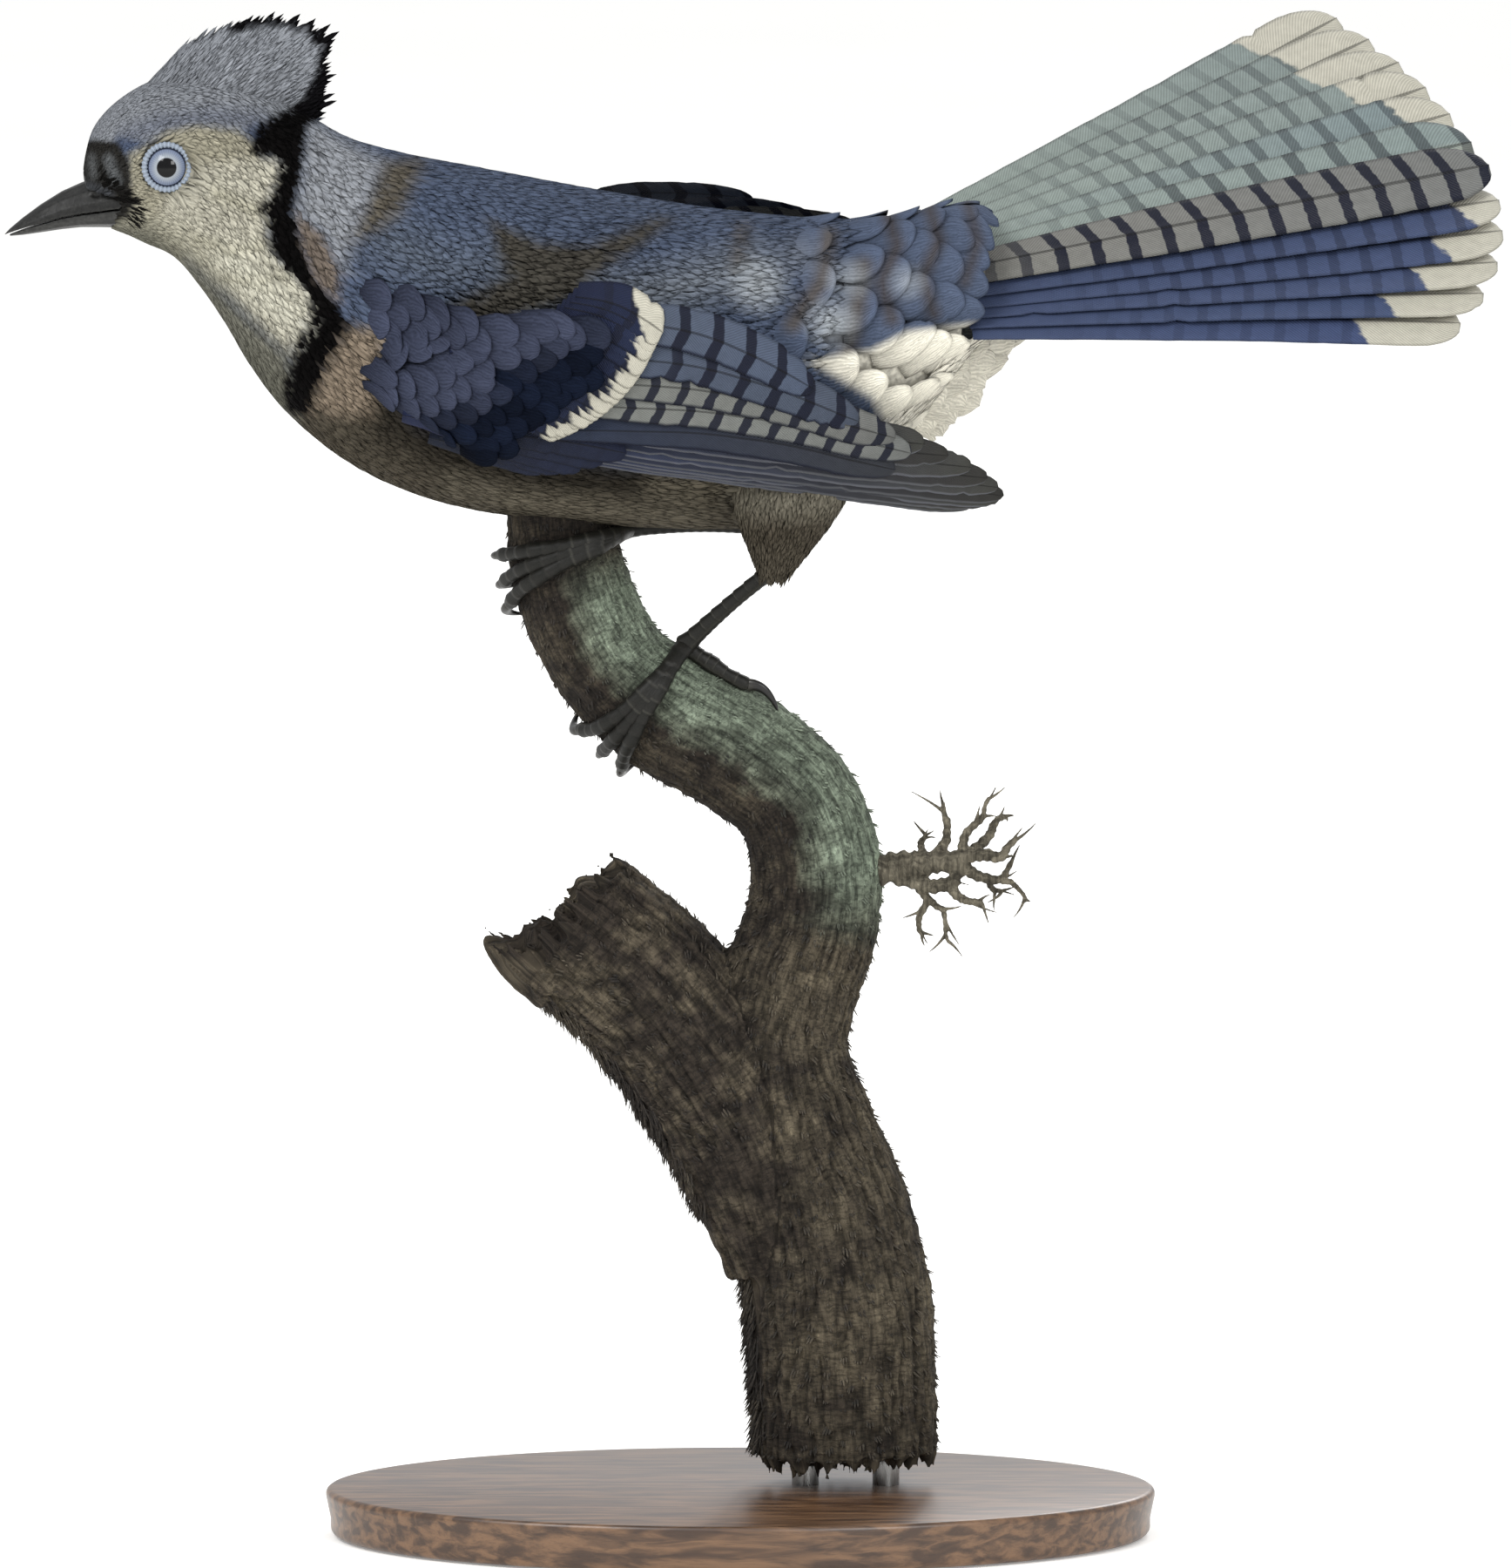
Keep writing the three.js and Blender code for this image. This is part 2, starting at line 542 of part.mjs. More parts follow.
function buildHead() {
  const bare = bodyLength(0, HEAD_END - CUT_STEP);
  const lids = [-1, 1].map(lidRing);
  const sockets = [-1, 1].map((side) => {
    const size = EYE.radius + GAP;
    return ball(EYE.x, side * EYE.y, EYE.z, size, size, size, EYE.across, EYE.up);
  });
  const bills = [billHalf(true, GAP), billHalf(false, GAP)];
  const gapes = [-1, 1].map(gapeCut);
  addNode('head', cut(joined([bare, ...lids]), [...sockets, ...bills, ...gapes]), FINISH.plumageGrey);
  const names = { '-1': 'eye_left', 1: 'eye_right' };
  for (const side of [-1, 1]) {
    const size = EYE.radius;
    addNode(names[side], ball(EYE.x, side * EYE.y, EYE.z, size, size, size, EYE.across, EYE.up), FINISH.eye);
  }
}

function buildBody() {
  addNode('neck', bodyLength(HEAD_END + CUT_STEP, NECK_END - CUT_STEP), FINISH.plumageBlue);
  addNode('torso', bodyLength(NECK_END + CUT_STEP, TORSO_END - CUT_STEP), FINISH.plumageBrown);
}

// Feathers

// A vane is a thin closed blade on a sheet, which turns (a, b, height) into a place.
// Both of its faces are divided alike; tilt raises one edge over the next feather.
function vane(sheet, { profile, root, tip, bow, width, thick, height, rise = 0, tilt = 0, grow = 0 }) {
  const run = new THREE.Vector2(tip[0] - root[0], tip[1] - root[1]);
  const long = run.length() + grow;
  run.normalize();
  const positions = [];
  for (const [t, share] of profile) {
    const bend = bow * Math.sin(Math.PI * t);
    const a = root[0] + run.x * long * t - run.y * bend;
    const b = root[1] + run.y * long * t + run.x * bend;
    const half = (width * share) / 2 + grow;
    const thin = (t === 1 ? TIP_THINNING : 1) * thick + 2 * grow;
    for (const face of [0.5, -0.5]) {
      for (const offset of [-half, half]) {
        const level = height + rise * t + tilt * offset + face * thin;
        const point = sheet(a - run.y * offset, b + run.x * offset, level);
        positions.push(point.x, point.y, point.z);
      }
    }
  }
  // Each row holds four corners: upper left, upper right, lower left, lower right.
  const indices = [];
  const last = (profile.length - 1) * 4;
  for (let now = 0; now < last; now += 4) {
    const next = now + 4;
    indices.push(now, now + 1, next + 1, now, next + 1, next);
    indices.push(now + 2, next + 3, now + 3, now + 2, next + 2, next + 3);
    indices.push(now, next, next + 2, now, next + 2, now + 2);
    indices.push(now + 1, now + 3, next + 3, now + 1, next + 3, next + 1);
  }
  indices.push(0, 2, 3, 0, 3, 1, last, last + 1, last + 3, last, last + 3, last + 2);
  const geometry = new THREE.BufferGeometry();
  geometry.setAttribute('position', new THREE.Float32BufferAttribute(positions, 3));
  geometry.setIndex(indices);
  return solid(geometry);
}

// Crest

function buildCrest() {
  const roots = flatCurve(CREST_ROOTS);
  const tips = flatCurve(CREST_TIPS);
  const feathers = [];
  for (const row of CREST_ROWS) {
    const side = row.side || 1;
    for (let i = 0; i < row.count; i += 1) {
      const at = i / (row.count - 1);
      const root = roots(at);
      const tip = root.clone().lerp(tips(at), row.reach);
      const lower = row.rootY * CREST_ROOT_DROP;
      const sheet = (a, b, height) => new THREE.Vector3(a, side * height, b);
      feathers.push(vane(sheet, {
        ...CREST_FEATHER, profile: SHORT_VANE, root: [root.x, root.y - lower],
        tip: [tip.x, tip.y - lower * CREST_TIP_DROP], height: row.rootY, rise: row.tipY - row.rootY,
      }));
    }
  }
  const core = [];
  for (let i = 0; i <= CREST_CORE.steps; i += 1) {
    const at = i / CREST_CORE.steps;
    const root = roots(at);
    const top = root.clone().lerp(tips(at), CREST_CORE.top);
    const low = root.clone().lerp(tips(at), CREST_CORE.low);
    const middle = new THREE.Vector3((top.x + low.x) / 2, 0, (top.y + low.y) / 2);
    const u = new THREE.Vector3(top.x - low.x, 0, top.y - low.y);
    const half = u.length() / 2;
    u.normalize();
    const wide = CREST_CORE.wide - CREST_CORE.taper * Math.abs(at - CREST_CORE.widest);
    core.push(ringAround(middle, u, new THREE.Vector3(0, 1, 0), half, wide, CREST_CORE.sides));
  }
  const crest = joined([solid(loft(core)), ...feathers]);
  addNode('crest', cut(crest, [bodyGrown]), FINISH.plumageBlue);
}

// Wings

function torsoPlace(x, y, z) {
  const { roll } = TORSO_FRAME;
  return new THREE.Vector3(
    x,
    y * Math.cos(roll) - z * Math.sin(roll),
    TORSO_FRAME.z + z * Math.cos(roll) + y * Math.sin(roll),
  );
}

// The sheet of one wing: a runs back along the body and b up its flank.
function flankSheet({ side, pitch, slide, raise }) {
  return (a, b, height) => {
    const dx = a - SHOULDER[0];
    const dz = b - SHOULDER[1];
    const x = SHOULDER[0] + slide + dx * Math.cos(pitch) - dz * Math.sin(pitch);
    const z = SHOULDER[1] + raise + dx * Math.sin(pitch) + dz * Math.cos(pitch);
    const bulge = Math.sqrt(Math.max(0.1, 1 - (z / FLANK_HEIGHT) ** 2));
    const y = reading(FLANK_WIDTH, x) * bulge + height;
    return torsoPlace(x, reading(FLANK_CENTRE, x) + side * y, z);
  };
}

function wingTier(sheet, tier) {
  const roots = flatCurve(tier.roots);
  const tips = flatCurve(tier.tips);
  const feathers = [];
  for (let i = 0; i < tier.count; i += 1) {
    const at = i / (tier.count - 1);
    const root = roots(at);
    const tip = tips(at);
    const mix = (pair) => pair[0] + (pair[1] - pair[0]) * at;
    feathers.push(vane(sheet, {
      profile: tier.profile, root: [root.x, root.y], tip: [tip.x, tip.y],
      bow: mix(tier.bow), width: mix(tier.width), thick: WING_THICKNESS,
      height: tier.height + tier.step * i, tilt: tier.tilt,
    }));
  }
  return feathers;
}

function armPad(sheet) {
  const sides = 14;
  return solid(loft(ARM_SECTIONS.map((s) => {
    const ring = [];
    for (let k = 0; k < sides; k += 1) {
      const angle = (2 * Math.PI * k) / sides;
      const height = (s.out - ARM_DEPTH) / 2 + ((s.out + ARM_DEPTH) / 2) * Math.sin(angle);
      ring.push(sheet(s.x, s.middle + s.half * Math.cos(angle), height));
    }
    return ring;
  })));
}

function buildWings(legsGrown) {
  const covertsGrown = joined(undertailCoverts(GAP));
  for (const name of ['left', 'right']) {
    const sheet = flankSheet(WING_POSES[name]);
    const feathers = Object.values(WING_TIERS).flatMap((tier) => wingTier(sheet, tier));
    const wing = joined([armPad(sheet), ...feathers]);
    addNode(`wing_${name}`, cut(wing, [bodyGrown, covertsGrown, ...legsGrown]), FINISH.plumageNavy);
  }
}

// Tail

function tailSheet() {
  const up = TAIL.axis.clone().cross(TAIL.across).normalize();
  return (a, b, height) => TAIL.root.clone()
    .addScaledVector(TAIL.axis, a)
    .addScaledVector(TAIL.across, b)
    .addScaledVector(up, height - TAIL.camber * b * b);
}

function tailSolid() {
  const sheet = tailSheet();
  const parts = [];
  for (let i = 0; i < TAIL.count; i += 1) {
    const out = (2 * i) / (TAIL.count - 1) - 1;
    const far = out > 0 ? 1 : 0;
    const angle = THREE.MathUtils.degToRad(Math.abs(out) * TAIL.spread[far]);
    const shorter = TAIL.middleLength - TAIL.outerLength[far];
    const long = TAIL.middleLength - shorter * Math.abs(out) ** TAIL.rounding;
    const place = (reach) => [reach * Math.cos(angle), out * TAIL.halfRoot + reach * Math.sin(angle)];
    const onTop = i === TAIL.top;
    parts.push(vane(sheet, {
      profile: TAIL_VANE, root: place(TAIL.start), tip: place(long), bow: -out * 1.5,
      width: TAIL.width[1] - (TAIL.width[1] - TAIL.width[0]) * Math.abs(out), thick: TAIL.thick,
      height: onTop ? TAIL.raise : -TAIL.step * Math.abs(i - TAIL.top),
      tilt: onTop ? 0 : TAIL.tilt * Math.sign(i - TAIL.top),
    }));
  }
  const stem = [TAIL_STEM.from, (TAIL_STEM.from + TAIL_STEM.to) / 2, TAIL_STEM.to].map((a) => {
    const at = (a - TAIL_STEM.from) / (TAIL_STEM.to - TAIL_STEM.from);
    const u = sheet(a, 0, 1).sub(sheet(a, 0, 0));
    const w = sheet(a, 1, 0).sub(sheet(a, 0, 0)).normalize();
    const thick = TAIL_STEM.thick * (1 - TAIL_STEM.taper * at);
    const wide = TAIL_STEM.wide + TAIL_STEM.spread * at;
    return ringAround(sheet(a, 0, TAIL_STEM.low), u, w, thick, wide, TAIL_STEM.sides);
  });
  parts.push(solid(loft(stem)));
  return joined(parts);
}

// Coverts that hang below the root of the tail, upright blades side by side.
function undertailCoverts(grow) {
  const sheet = tailSheet();
  const roots = flatCurve(UNDERTAIL.roots);
  const tips = flatCurve(UNDERTAIL.tips);
  const upright = (a, level, across) => sheet(a, 0, level).addScaledVector(TAIL.across, across);
  const feathers = [];
  for (const row of UNDERTAIL.rows) {
    for (let i = 0; i < row.count; i += 1) {
      const at = i / (row.count - 1);
      const root = roots(at);
      const tip = tips(at);
      feathers.push(vane(upright, {
        profile: SHORT_VANE, root: [root.x, root.y], tip: [tip.x, tip.y], bow: UNDERTAIL.bow,
        width: UNDERTAIL.width, thick: UNDERTAIL.thick, height: row.rootB, rise: row.tipB - row.rootB,
        tilt: UNDERTAIL.tilt * (Math.sign(row.rootB) || 1), grow,
      }));
    }
  }
  return feathers;
}

function buildRumpAndTail() {
  const rump = joined([bodyLength(TORSO_END + CUT_STEP, BODY_END), ...undertailCoverts(0)]);
  addNode('rump', cut(rump, [bodyLength(0, TORSO_END, GAP)]), FINISH.plumageWhite);
  addNode('tail', cut(tailSolid(), [bodyGrown]), FINISH.plumageBlue);
}

// Branch

const BRANCH_LINE = new THREE.CatmullRomCurve3(BRANCH.map((p) => new THREE.Vector3(p.x, BRANCH_Y, p.z)));
const BRANCH_HALF = new THREE.CatmullRomCurve3(BRANCH.map((p, i) => new THREE.Vector3(i, p.half, 0)));

// The branch at a place along its list: middle, directions and half width.
// right points away from the hollow side of a vertical branch, toward +X.
function branchAt(place) {
  const at = clamp01(place / BRANCH_END);
  const middle = BRANCH_LINE.getPoint(at);
  const step = 0.004;
  const tangent = BRANCH_LINE.getPoint(Math.min(1, at + step))
    .sub(BRANCH_LINE.getPoint(Math.max(0, at - step))).normalize();
  const front = new THREE.Vector3(0, -1, 0);
  const right = front.clone().cross(tangent).normalize();
  return { middle, tangent, front, right, half: BRANCH_HALF.getPoint(at).y };
}

function branchLength(from, to, grow = 0) {
  const count = Math.max(2, Math.round((to - from) * 2));
  const rings = [];
  for (let i = 0; i <= count; i += 1) {
    const s = branchAt(from + ((to - from) * i) / count);
    const deep = s.half * BRANCH_DEPTH + grow;
    rings.push(ringAround(s.middle, s.front, s.right, deep, s.half + grow, BRANCH_SIDES));
  }
  return solid(loft(rings));
}

// Straight out of the bark, at an angle round from the front (0) toward the right (90).
function outOfBark(place, angle) {
  const s = branchAt(place);
  const turn = THREE.MathUtils.degToRad(angle);
  return s.front.clone().multiplyScalar(Math.cos(turn)).addScaledVector(s.right, Math.sin(turn));
}

// A place over the bark: along the list, round from the front (0) toward the right (90), and above it.
function overBark(place, angle, above) {
  const s = branchAt(place);
  const turn = THREE.MathUtils.degToRad(angle);
  return s.middle.clone()
    .addScaledVector(s.front, Math.cos(turn) * (s.half * BRANCH_DEPTH + above))
    .addScaledVector(s.right, Math.sin(turn) * (s.half + above));
}

function stubSolid() {
  const points = STUB.map((p) => new THREE.Vector3(p.x, BRANCH_Y, p.z));
  const bodyHalves = STUB.map((p) => p.half);
  const parts = [solid(tube(points, bodyHalves, BRANCH_SIDES, BRANCH_DEPTH))];
  const end = points[points.length - 1];
  const run = end.clone().sub(points[points.length - 2]).normalize();
  const across = run.clone().cross(new THREE.Vector3(0, 1, 0));
  for (const splinter of STUB_SPLINTERS) {
    const foot = end.clone().addScaledVector(across, splinter.across).addScaledVector(run, -SPLINTER.sunk);
    const high = foot.clone().addScaledVector(run, SPLINTER.sunk + splinter.reach * SPLINTER.shoulder);
    const top = foot.clone().addScaledVector(run, SPLINTER.sunk + splinter.reach);
    const deep = Math.sqrt(1 - (splinter.across / SPLINTER.round) ** 2) * SPLINTER.deep;
    const halves = [1, SPLINTER.high, SPLINTER.top].map((share) => splinter.half * share);
    parts.push(solid(tube([foot, high, top], halves, SPLINTER.sides, deep)));
  }
  return joined(parts);
}

function twigSolid() {
  return joined(TWIG_SHOOTS.map((shoot) => {
    const path = new THREE.CatmullRomCurve3(shoot.path.map(vec));
    const steps = shoot.path.length - 1;
    const points = path.getPoints(steps);
    const halves = points.map((_, i) => shoot.half[0] + ((shoot.half[1] - shoot.half[0]) * i) / steps);
    return solid(tube(points, halves, TWIG_SIDES));
  }));
}

function buildPerch() {
  const step = 0.013;
  addNode('perch_branch', cut(branchLength(0, BRANCH_CUT - step), [bodyGrown]), FINISH.bark);
  addNode('perch_middle', branchLength(BRANCH_CUT + step, TRUNK_CUT - step), FINISH.bark);
  addNode('perch_trunk', branchLength(TRUNK_CUT + step, BRANCH_END), FINISH.bark);
  const grown = branchLength(0, BRANCH_END, GAP);
  addNode('perch_stub', cut(stubSolid(), [grown]), FINISH.bark);
  addNode('perch_twig', cut(twigSolid(), [grown]), FINISH.bark);
  return grown;
}

// Legs and feet

// Half thickness that steps down at the end of each scute.
function scuteHalves(count, root, tip, step) {
  const halves = [];
  const places = [];
  for (let i = 0; i < count; i += 1) {
    const at = i / count;
    const size = root + (tip - root) * at;
    places.push(at, at + 0.8 / count);
    halves.push(size, size + step);
  }
  places.push(1);
  halves.push(tip);
  return { places, halves };
}

function thighSolid(leg, grow = 0) {
  const path = new THREE.CatmullRomCurve3(leg.thigh.map(vec));
  const form = new THREE.CatmullRomCurve3(leg.thighHalf.map((h) => new THREE.Vector3(h[0], h[1], 0)));
  const rings = [];
  for (let i = 0; i <= 6; i += 1) {
    const half = form.getPoint(i / 6);
    rings.push(ringAround(path.getPoint(i / 6), new THREE.Vector3(1, 0, 0), new THREE.Vector3(0, 1, 0),
      half.x + grow, half.y + grow, 14));
  }
  return solid(loft(rings));
}

function buildLeg(name, leg, branchGrown) {
  const padAt = overBark(leg.foot.station, leg.foot.angle, FOOT_PAD.radius * FOOT_PAD.rest);
  const padBall = (size) => ball(padAt.x, padAt.y, padAt.z, size, size, size, FOOT_PAD.across, FOOT_PAD.up);
  const heel = vec(leg.heel);
  const thighGrown = thighSolid(leg, GAP);
  addNode(`thigh_${name}`, cut(thighSolid(leg), [bodyGrown]), FINISH.plumageBrown);

  const scutes = scuteHalves(TARSUS.scutes, TARSUS.across, TARSUS.across * 0.95, TARSUS.step);
  const away = padAt.clone().sub(heel);
  const shank = scutes.places.map((at) => heel.clone().addScaledVector(away, at));
  const tarsus = tube(shank, scutes.halves, TARSUS.sides, TARSUS.along / TARSUS.across);
  const around = [thighGrown, padBall(FOOT_PAD.radius + GAP), bodyGrown, branchGrown];
  addNode(`tarsus_${name}`, cut(solid(tarsus), around), FINISH.leg);

  const toes = [];
  const claws = [];
  for (const toe of [...leg.toes, leg.hallux]) {
    const end = leg.foot.station + toe.shift / BRANCH_SPACING;
    const out = outOfBark(end, toe.to);
    const side = toe === leg.hallux ? out : branchAt(leg.foot.station).tangent;
    const shape = scuteHalves(TOE.scutes, TOE.root, TOE.tip, TOE.step);
    const place = (at, above) => overBark(
      leg.foot.station + (end - leg.foot.station) * Math.min(1, at * (toe.spread || TOE.spread)),
      toe.from + (toe.to - toe.from) * at, above);
    const points = shape.places.map((at, i) => place(at, shape.halves[i] * TOE.rest));
    points[0] = padAt.clone();
    toes.push(solid(tube(points, shape.halves, TOE.sides, 1, side)));
    const last = points[points.length - 1];
    const run = last.clone().sub(points[points.length - 2]).normalize();
    const clawPoints = [];
    const clawHalves = [];
    for (let i = 0; i <= CLAW.steps; i += 1) {
      const at = i / CLAW.steps;
      clawPoints.push(last.clone()
        .addScaledVector(run, CLAW.start + CLAW.length * at)
        .addScaledVector(out, CLAW.lift + CLAW.arch * Math.sin(Math.PI * at) - CLAW.hook * at ** 2));
      clawHalves.push(CLAW.root + (CLAW.tip - CLAW.root) * at);
    }
    claws.push(solid(tube(clawPoints, clawHalves, CLAW.sides, 1, out)));
  }
  const foot = joined([padBall(FOOT_PAD.radius), ...toes]);
  addNode(`foot_${name}`, cut(foot, [branchGrown, bodyGrown]), FINISH.leg);
  claws.forEach((claw, i) => addNode(`claw_${name}_${i + 1}`, cut(claw, [branchGrown]), FINISH.leg));
}

// Stand

function buildStand() {
  const half = BASE.long / 2;
  const profile = [[0, 0], [half - 1, 0], [half, 1], [half, BASE.thick - BASE.edge]];
  for (let i = 1; i <= 2; i += 1) {
    const angle = (Math.PI / 2) * (i / 2);
    const out = BASE.edge * (1 - Math.cos(angle));
    profile.push([half - out, BASE.thick - BASE.edge * (1 - Math.sin(angle))]);
  }
  profile.push([0, BASE.thick]);
  const plate = new THREE.LatheGeometry(profile.map(([r, h]) => new THREE.Vector2(r, h)), BASE.sides);
  plate.rotateX(Math.PI / 2);
  plate.scale(1, BASE.wide / BASE.long, 1);
  addNode('stand_base', solid(plate), FINISH.stand);
  const foot = BRANCH[BRANCH_END].z;
  ROD.xs.forEach((x, i) => {
    const tall = foot - BASE.thick - 2 * GAP;
    const rod = new THREE.CylinderGeometry(ROD.radius, ROD.radius, tall, ROD.sides);
    rod.rotateX(Math.PI / 2);
    rod.translate(x, BRANCH_Y, BASE.thick + GAP + tall / 2);
    addNode(`stand_rod_${i + 1}`, solid(rod), FINISH.rod);
  });
}

buildHead();
buildBill();
buildBody();
buildCrest();
buildRumpAndTail();
const branchGrown = buildPerch();
for (const name of ['left', 'right']) {
  buildLeg(name, LEGS[name], branchGrown);
}
buildWings(Object.values(LEGS).map((leg) => thighSolid(leg, GAP)));
buildStand();

export default group;
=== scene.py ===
"""Blue jay on a broken branch, life size: the dressed museum model.

The solids of the bird, its perch and its stand come in as a fixed frame. This script lays the skin, the coat,
the wings, the tail, the crest, the face, the legs, the bark and the stand's finish over them.
Places are worked out in millimetres and written to the meshes in metres.
"""

import logging
import math
from contextlib import contextmanager
from dataclasses import dataclass
from enum import Enum
from typing import Any, Callable, Iterator, Sequence

import bpy
import numpy as np
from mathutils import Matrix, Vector
from mathutils.kdtree import KDTree


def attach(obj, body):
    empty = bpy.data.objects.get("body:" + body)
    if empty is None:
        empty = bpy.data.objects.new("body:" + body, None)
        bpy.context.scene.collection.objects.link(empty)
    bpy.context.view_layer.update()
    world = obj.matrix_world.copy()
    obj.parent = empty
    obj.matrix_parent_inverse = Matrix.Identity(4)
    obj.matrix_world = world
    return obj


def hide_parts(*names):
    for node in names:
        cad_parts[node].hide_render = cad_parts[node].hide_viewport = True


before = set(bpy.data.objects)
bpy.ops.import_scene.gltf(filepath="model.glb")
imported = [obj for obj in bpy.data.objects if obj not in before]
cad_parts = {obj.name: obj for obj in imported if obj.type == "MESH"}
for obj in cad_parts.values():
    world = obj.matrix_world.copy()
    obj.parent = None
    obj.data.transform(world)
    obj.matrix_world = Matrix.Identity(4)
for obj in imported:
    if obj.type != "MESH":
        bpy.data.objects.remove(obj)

LOG = logging.getLogger("blue_jay")
MM = 0.001
VIEW_PITCH = math.radians(7)
VIEW_DISTANCE = 3333.0
VIEW_AIM = (2.9, 144.0)
Array = np.ndarray
Pair = tuple[float, float]
Point = tuple[float, float, float]
Pattern = Callable[[Array], Array]
Sheet = Callable[[Array, Array, Array], Array]


class Slot(Enum):
    """The record's material slots."""

    BLUE = "plumage_blue"
    NAVY = "plumage_navy"
    GREY = "plumage_grey"
    BROWN = "plumage_brown"
    WHITE = "plumage_white"
    BILL = "bill"
    EYE = "eye"
    LEG = "leg"
    BARK = "bark"
    STAND = "stand"
    ROD = "rod"


class Side(Enum):
    """The bird's own left and right; its left faces -Y."""

    LEFT = -1
    RIGHT = 1

    @property
    def word(self) -> str:
        """Name the side in a piece's name."""
        return self.name.lower()


# Colours

def linear(code: str) -> Array:
    """Turn a written colour into linear light.

    Args:
        code: Six hexadecimal digits of an sRGB colour.

    Returns:
        Its red, green and blue in linear light.
    """
    srgb = np.array([int(code[i:i + 2], 16) / 255 for i in (0, 2, 4)])
    return np.where(srgb <= 0.04045, srgb / 12.92, ((srgb + 0.055) / 1.055) ** 2.4)


def rgba(code: str) -> tuple[float, float, float, float]:
    """Give a written colour as a socket's value."""
    red, green, blue = linear(code)
    return (red, green, blue, 1.0)


# Curves and noise in arrays

class Curve:
    """A smooth curve through rows of numbers, read by its place along the list of rows."""

    def __init__(self, rows: Sequence[Sequence[float]]) -> None:
        """Work out the cubic of each stretch.

        Args:
            rows: The points that the curve passes through.
        """
        points = np.array(rows, float)
        first = 2 * points[0] - points[1]
        last = 2 * points[-1] - points[-2]
        p = np.vstack([first, points, last])
        self.count = len(points)
        steps = np.sqrt(np.linalg.norm(np.diff(p, axis=0), axis=1))
        steps = np.maximum(steps, 1e-4)[:, None]
        a, b, c = steps[:-2], steps[1:-1], steps[2:]
        p0, p1, p2, p3 = p[:-3], p[1:-2], p[2:-1], p[3:]
        out = ((p1 - p0) / a - (p2 - p0) / (a + b) + (p2 - p1) / b) * b
        into = ((p2 - p1) / b - (p3 - p1) / (b + c) + (p3 - p2) / c) * b
        self.cubic = np.stack([p1, out, 3 * (p2 - p1) - 2 * out - into, 2 * (p1 - p2) + out + into], axis=1)

    def at(self, place: Array) -> Array:
        """Read the curve.

        Args:
            place: Places from 0 at the first row to count - 1 at the last.

        Returns:
            One row of numbers for each place.
        """
        place = np.asarray(place, float)
        index = np.clip(np.floor(place), 0, self.count - 2).astype(int)
        t = (place - index)[..., None]
        c = self.cubic[index]
        return c[..., 0, :] + t * (c[..., 1, :] + t * (c[..., 2, :] + t * c[..., 3, :]))

    def share(self, share: Array) -> Array:
        """Read the curve at shares of its list of rows, from 0 to 1."""
        return self.at(share * (self.count - 1))


def smooth_noise(points: Array, seed: int = 0) -> Array:
    """Draw soft noise from -1 to 1 at any places.

    Args:
        points: Places, one row each, already scaled so that one blob is about one unit.
        seed: Which pattern to draw.

    Returns:
        One number for each place.
    """
    cell = np.floor(points).astype(np.int64)
    part = points - cell
    part = part * part * (3 - 2 * part)
    total = np.zeros(len(points))
    for corner in range(2 ** points.shape[1]):
        pick = np.array([(corner >> axis) & 1 for axis in range(points.shape[1])])
        key = (cell + pick).astype(np.uint64)
        mixed = np.full(len(points), np.uint64(seed * 7919 + 17), np.uint64)
        for axis in range(points.shape[1]):
            mixed = (mixed ^ key[:, axis]) * np.uint64(0x9E3779B97F4A7C15)
            mixed ^= mixed >> np.uint64(29)
        value = (mixed >> np.uint64(40)).astype(float) / 2 ** 23 - 1
        total += value * np.prod(np.where(pick, part, 1 - part), axis=1)
    return total


def signed_power(value: Array, power: float) -> Array:
    """Raise a number to a power and keep its sign."""
    return np.sign(value) * np.abs(value) ** power


def unit(rows: Array) -> Array:
    """Scale each row to a length of one."""
    return rows / np.maximum(np.linalg.norm(rows, axis=-1, keepdims=True), 1e-9)


# Meshes

def deselect() -> None:
    """Leave nothing selected, the solids of the frame included."""
    for thing in bpy.context.selected_objects:
        thing.select_set(False)


def choose(thing: bpy.types.Object) -> bpy.types.Object:
    """Make one object the only selected and the active one."""
    deselect()
    thing.select_set(True)
    bpy.context.view_layer.objects.active = thing
    return thing


@contextmanager
def edit_mode() -> Iterator[None]:
    """Work on the active object in edit mode."""
    bpy.ops.object.mode_set(mode="EDIT")
    yield
    bpy.ops.object.mode_set(mode="OBJECT")


def settle(thing: bpy.types.Object, name: str) -> bpy.types.Object:
    """Put an object's place in its mesh and name it.

    Args:
        thing: The object, placed anywhere.
        name: The name of the object and its mesh.

    Returns:
        The same object, at the origin, unturned and unscaled.
    """
    choose(thing)
    bpy.ops.object.transform_apply(location=True, rotation=True, scale=True)
    thing.name = name
    thing.data.name = name
    return thing


def finish_modifier(thing: bpy.types.Object, kind: str, **settings: Any) -> None:
    """Add a modifier with its settings and apply it.

    Args:
        thing: The object to change.
        kind: Blender's name for the kind of modifier.
        settings: The modifier's own properties.
    """
    modifier = thing.modifiers.new(kind.title(), kind)
    for key, value in settings.items():
        setattr(modifier, key, value)
    choose(thing)
    bpy.ops.object.modifier_apply(modifier=modifier.name)


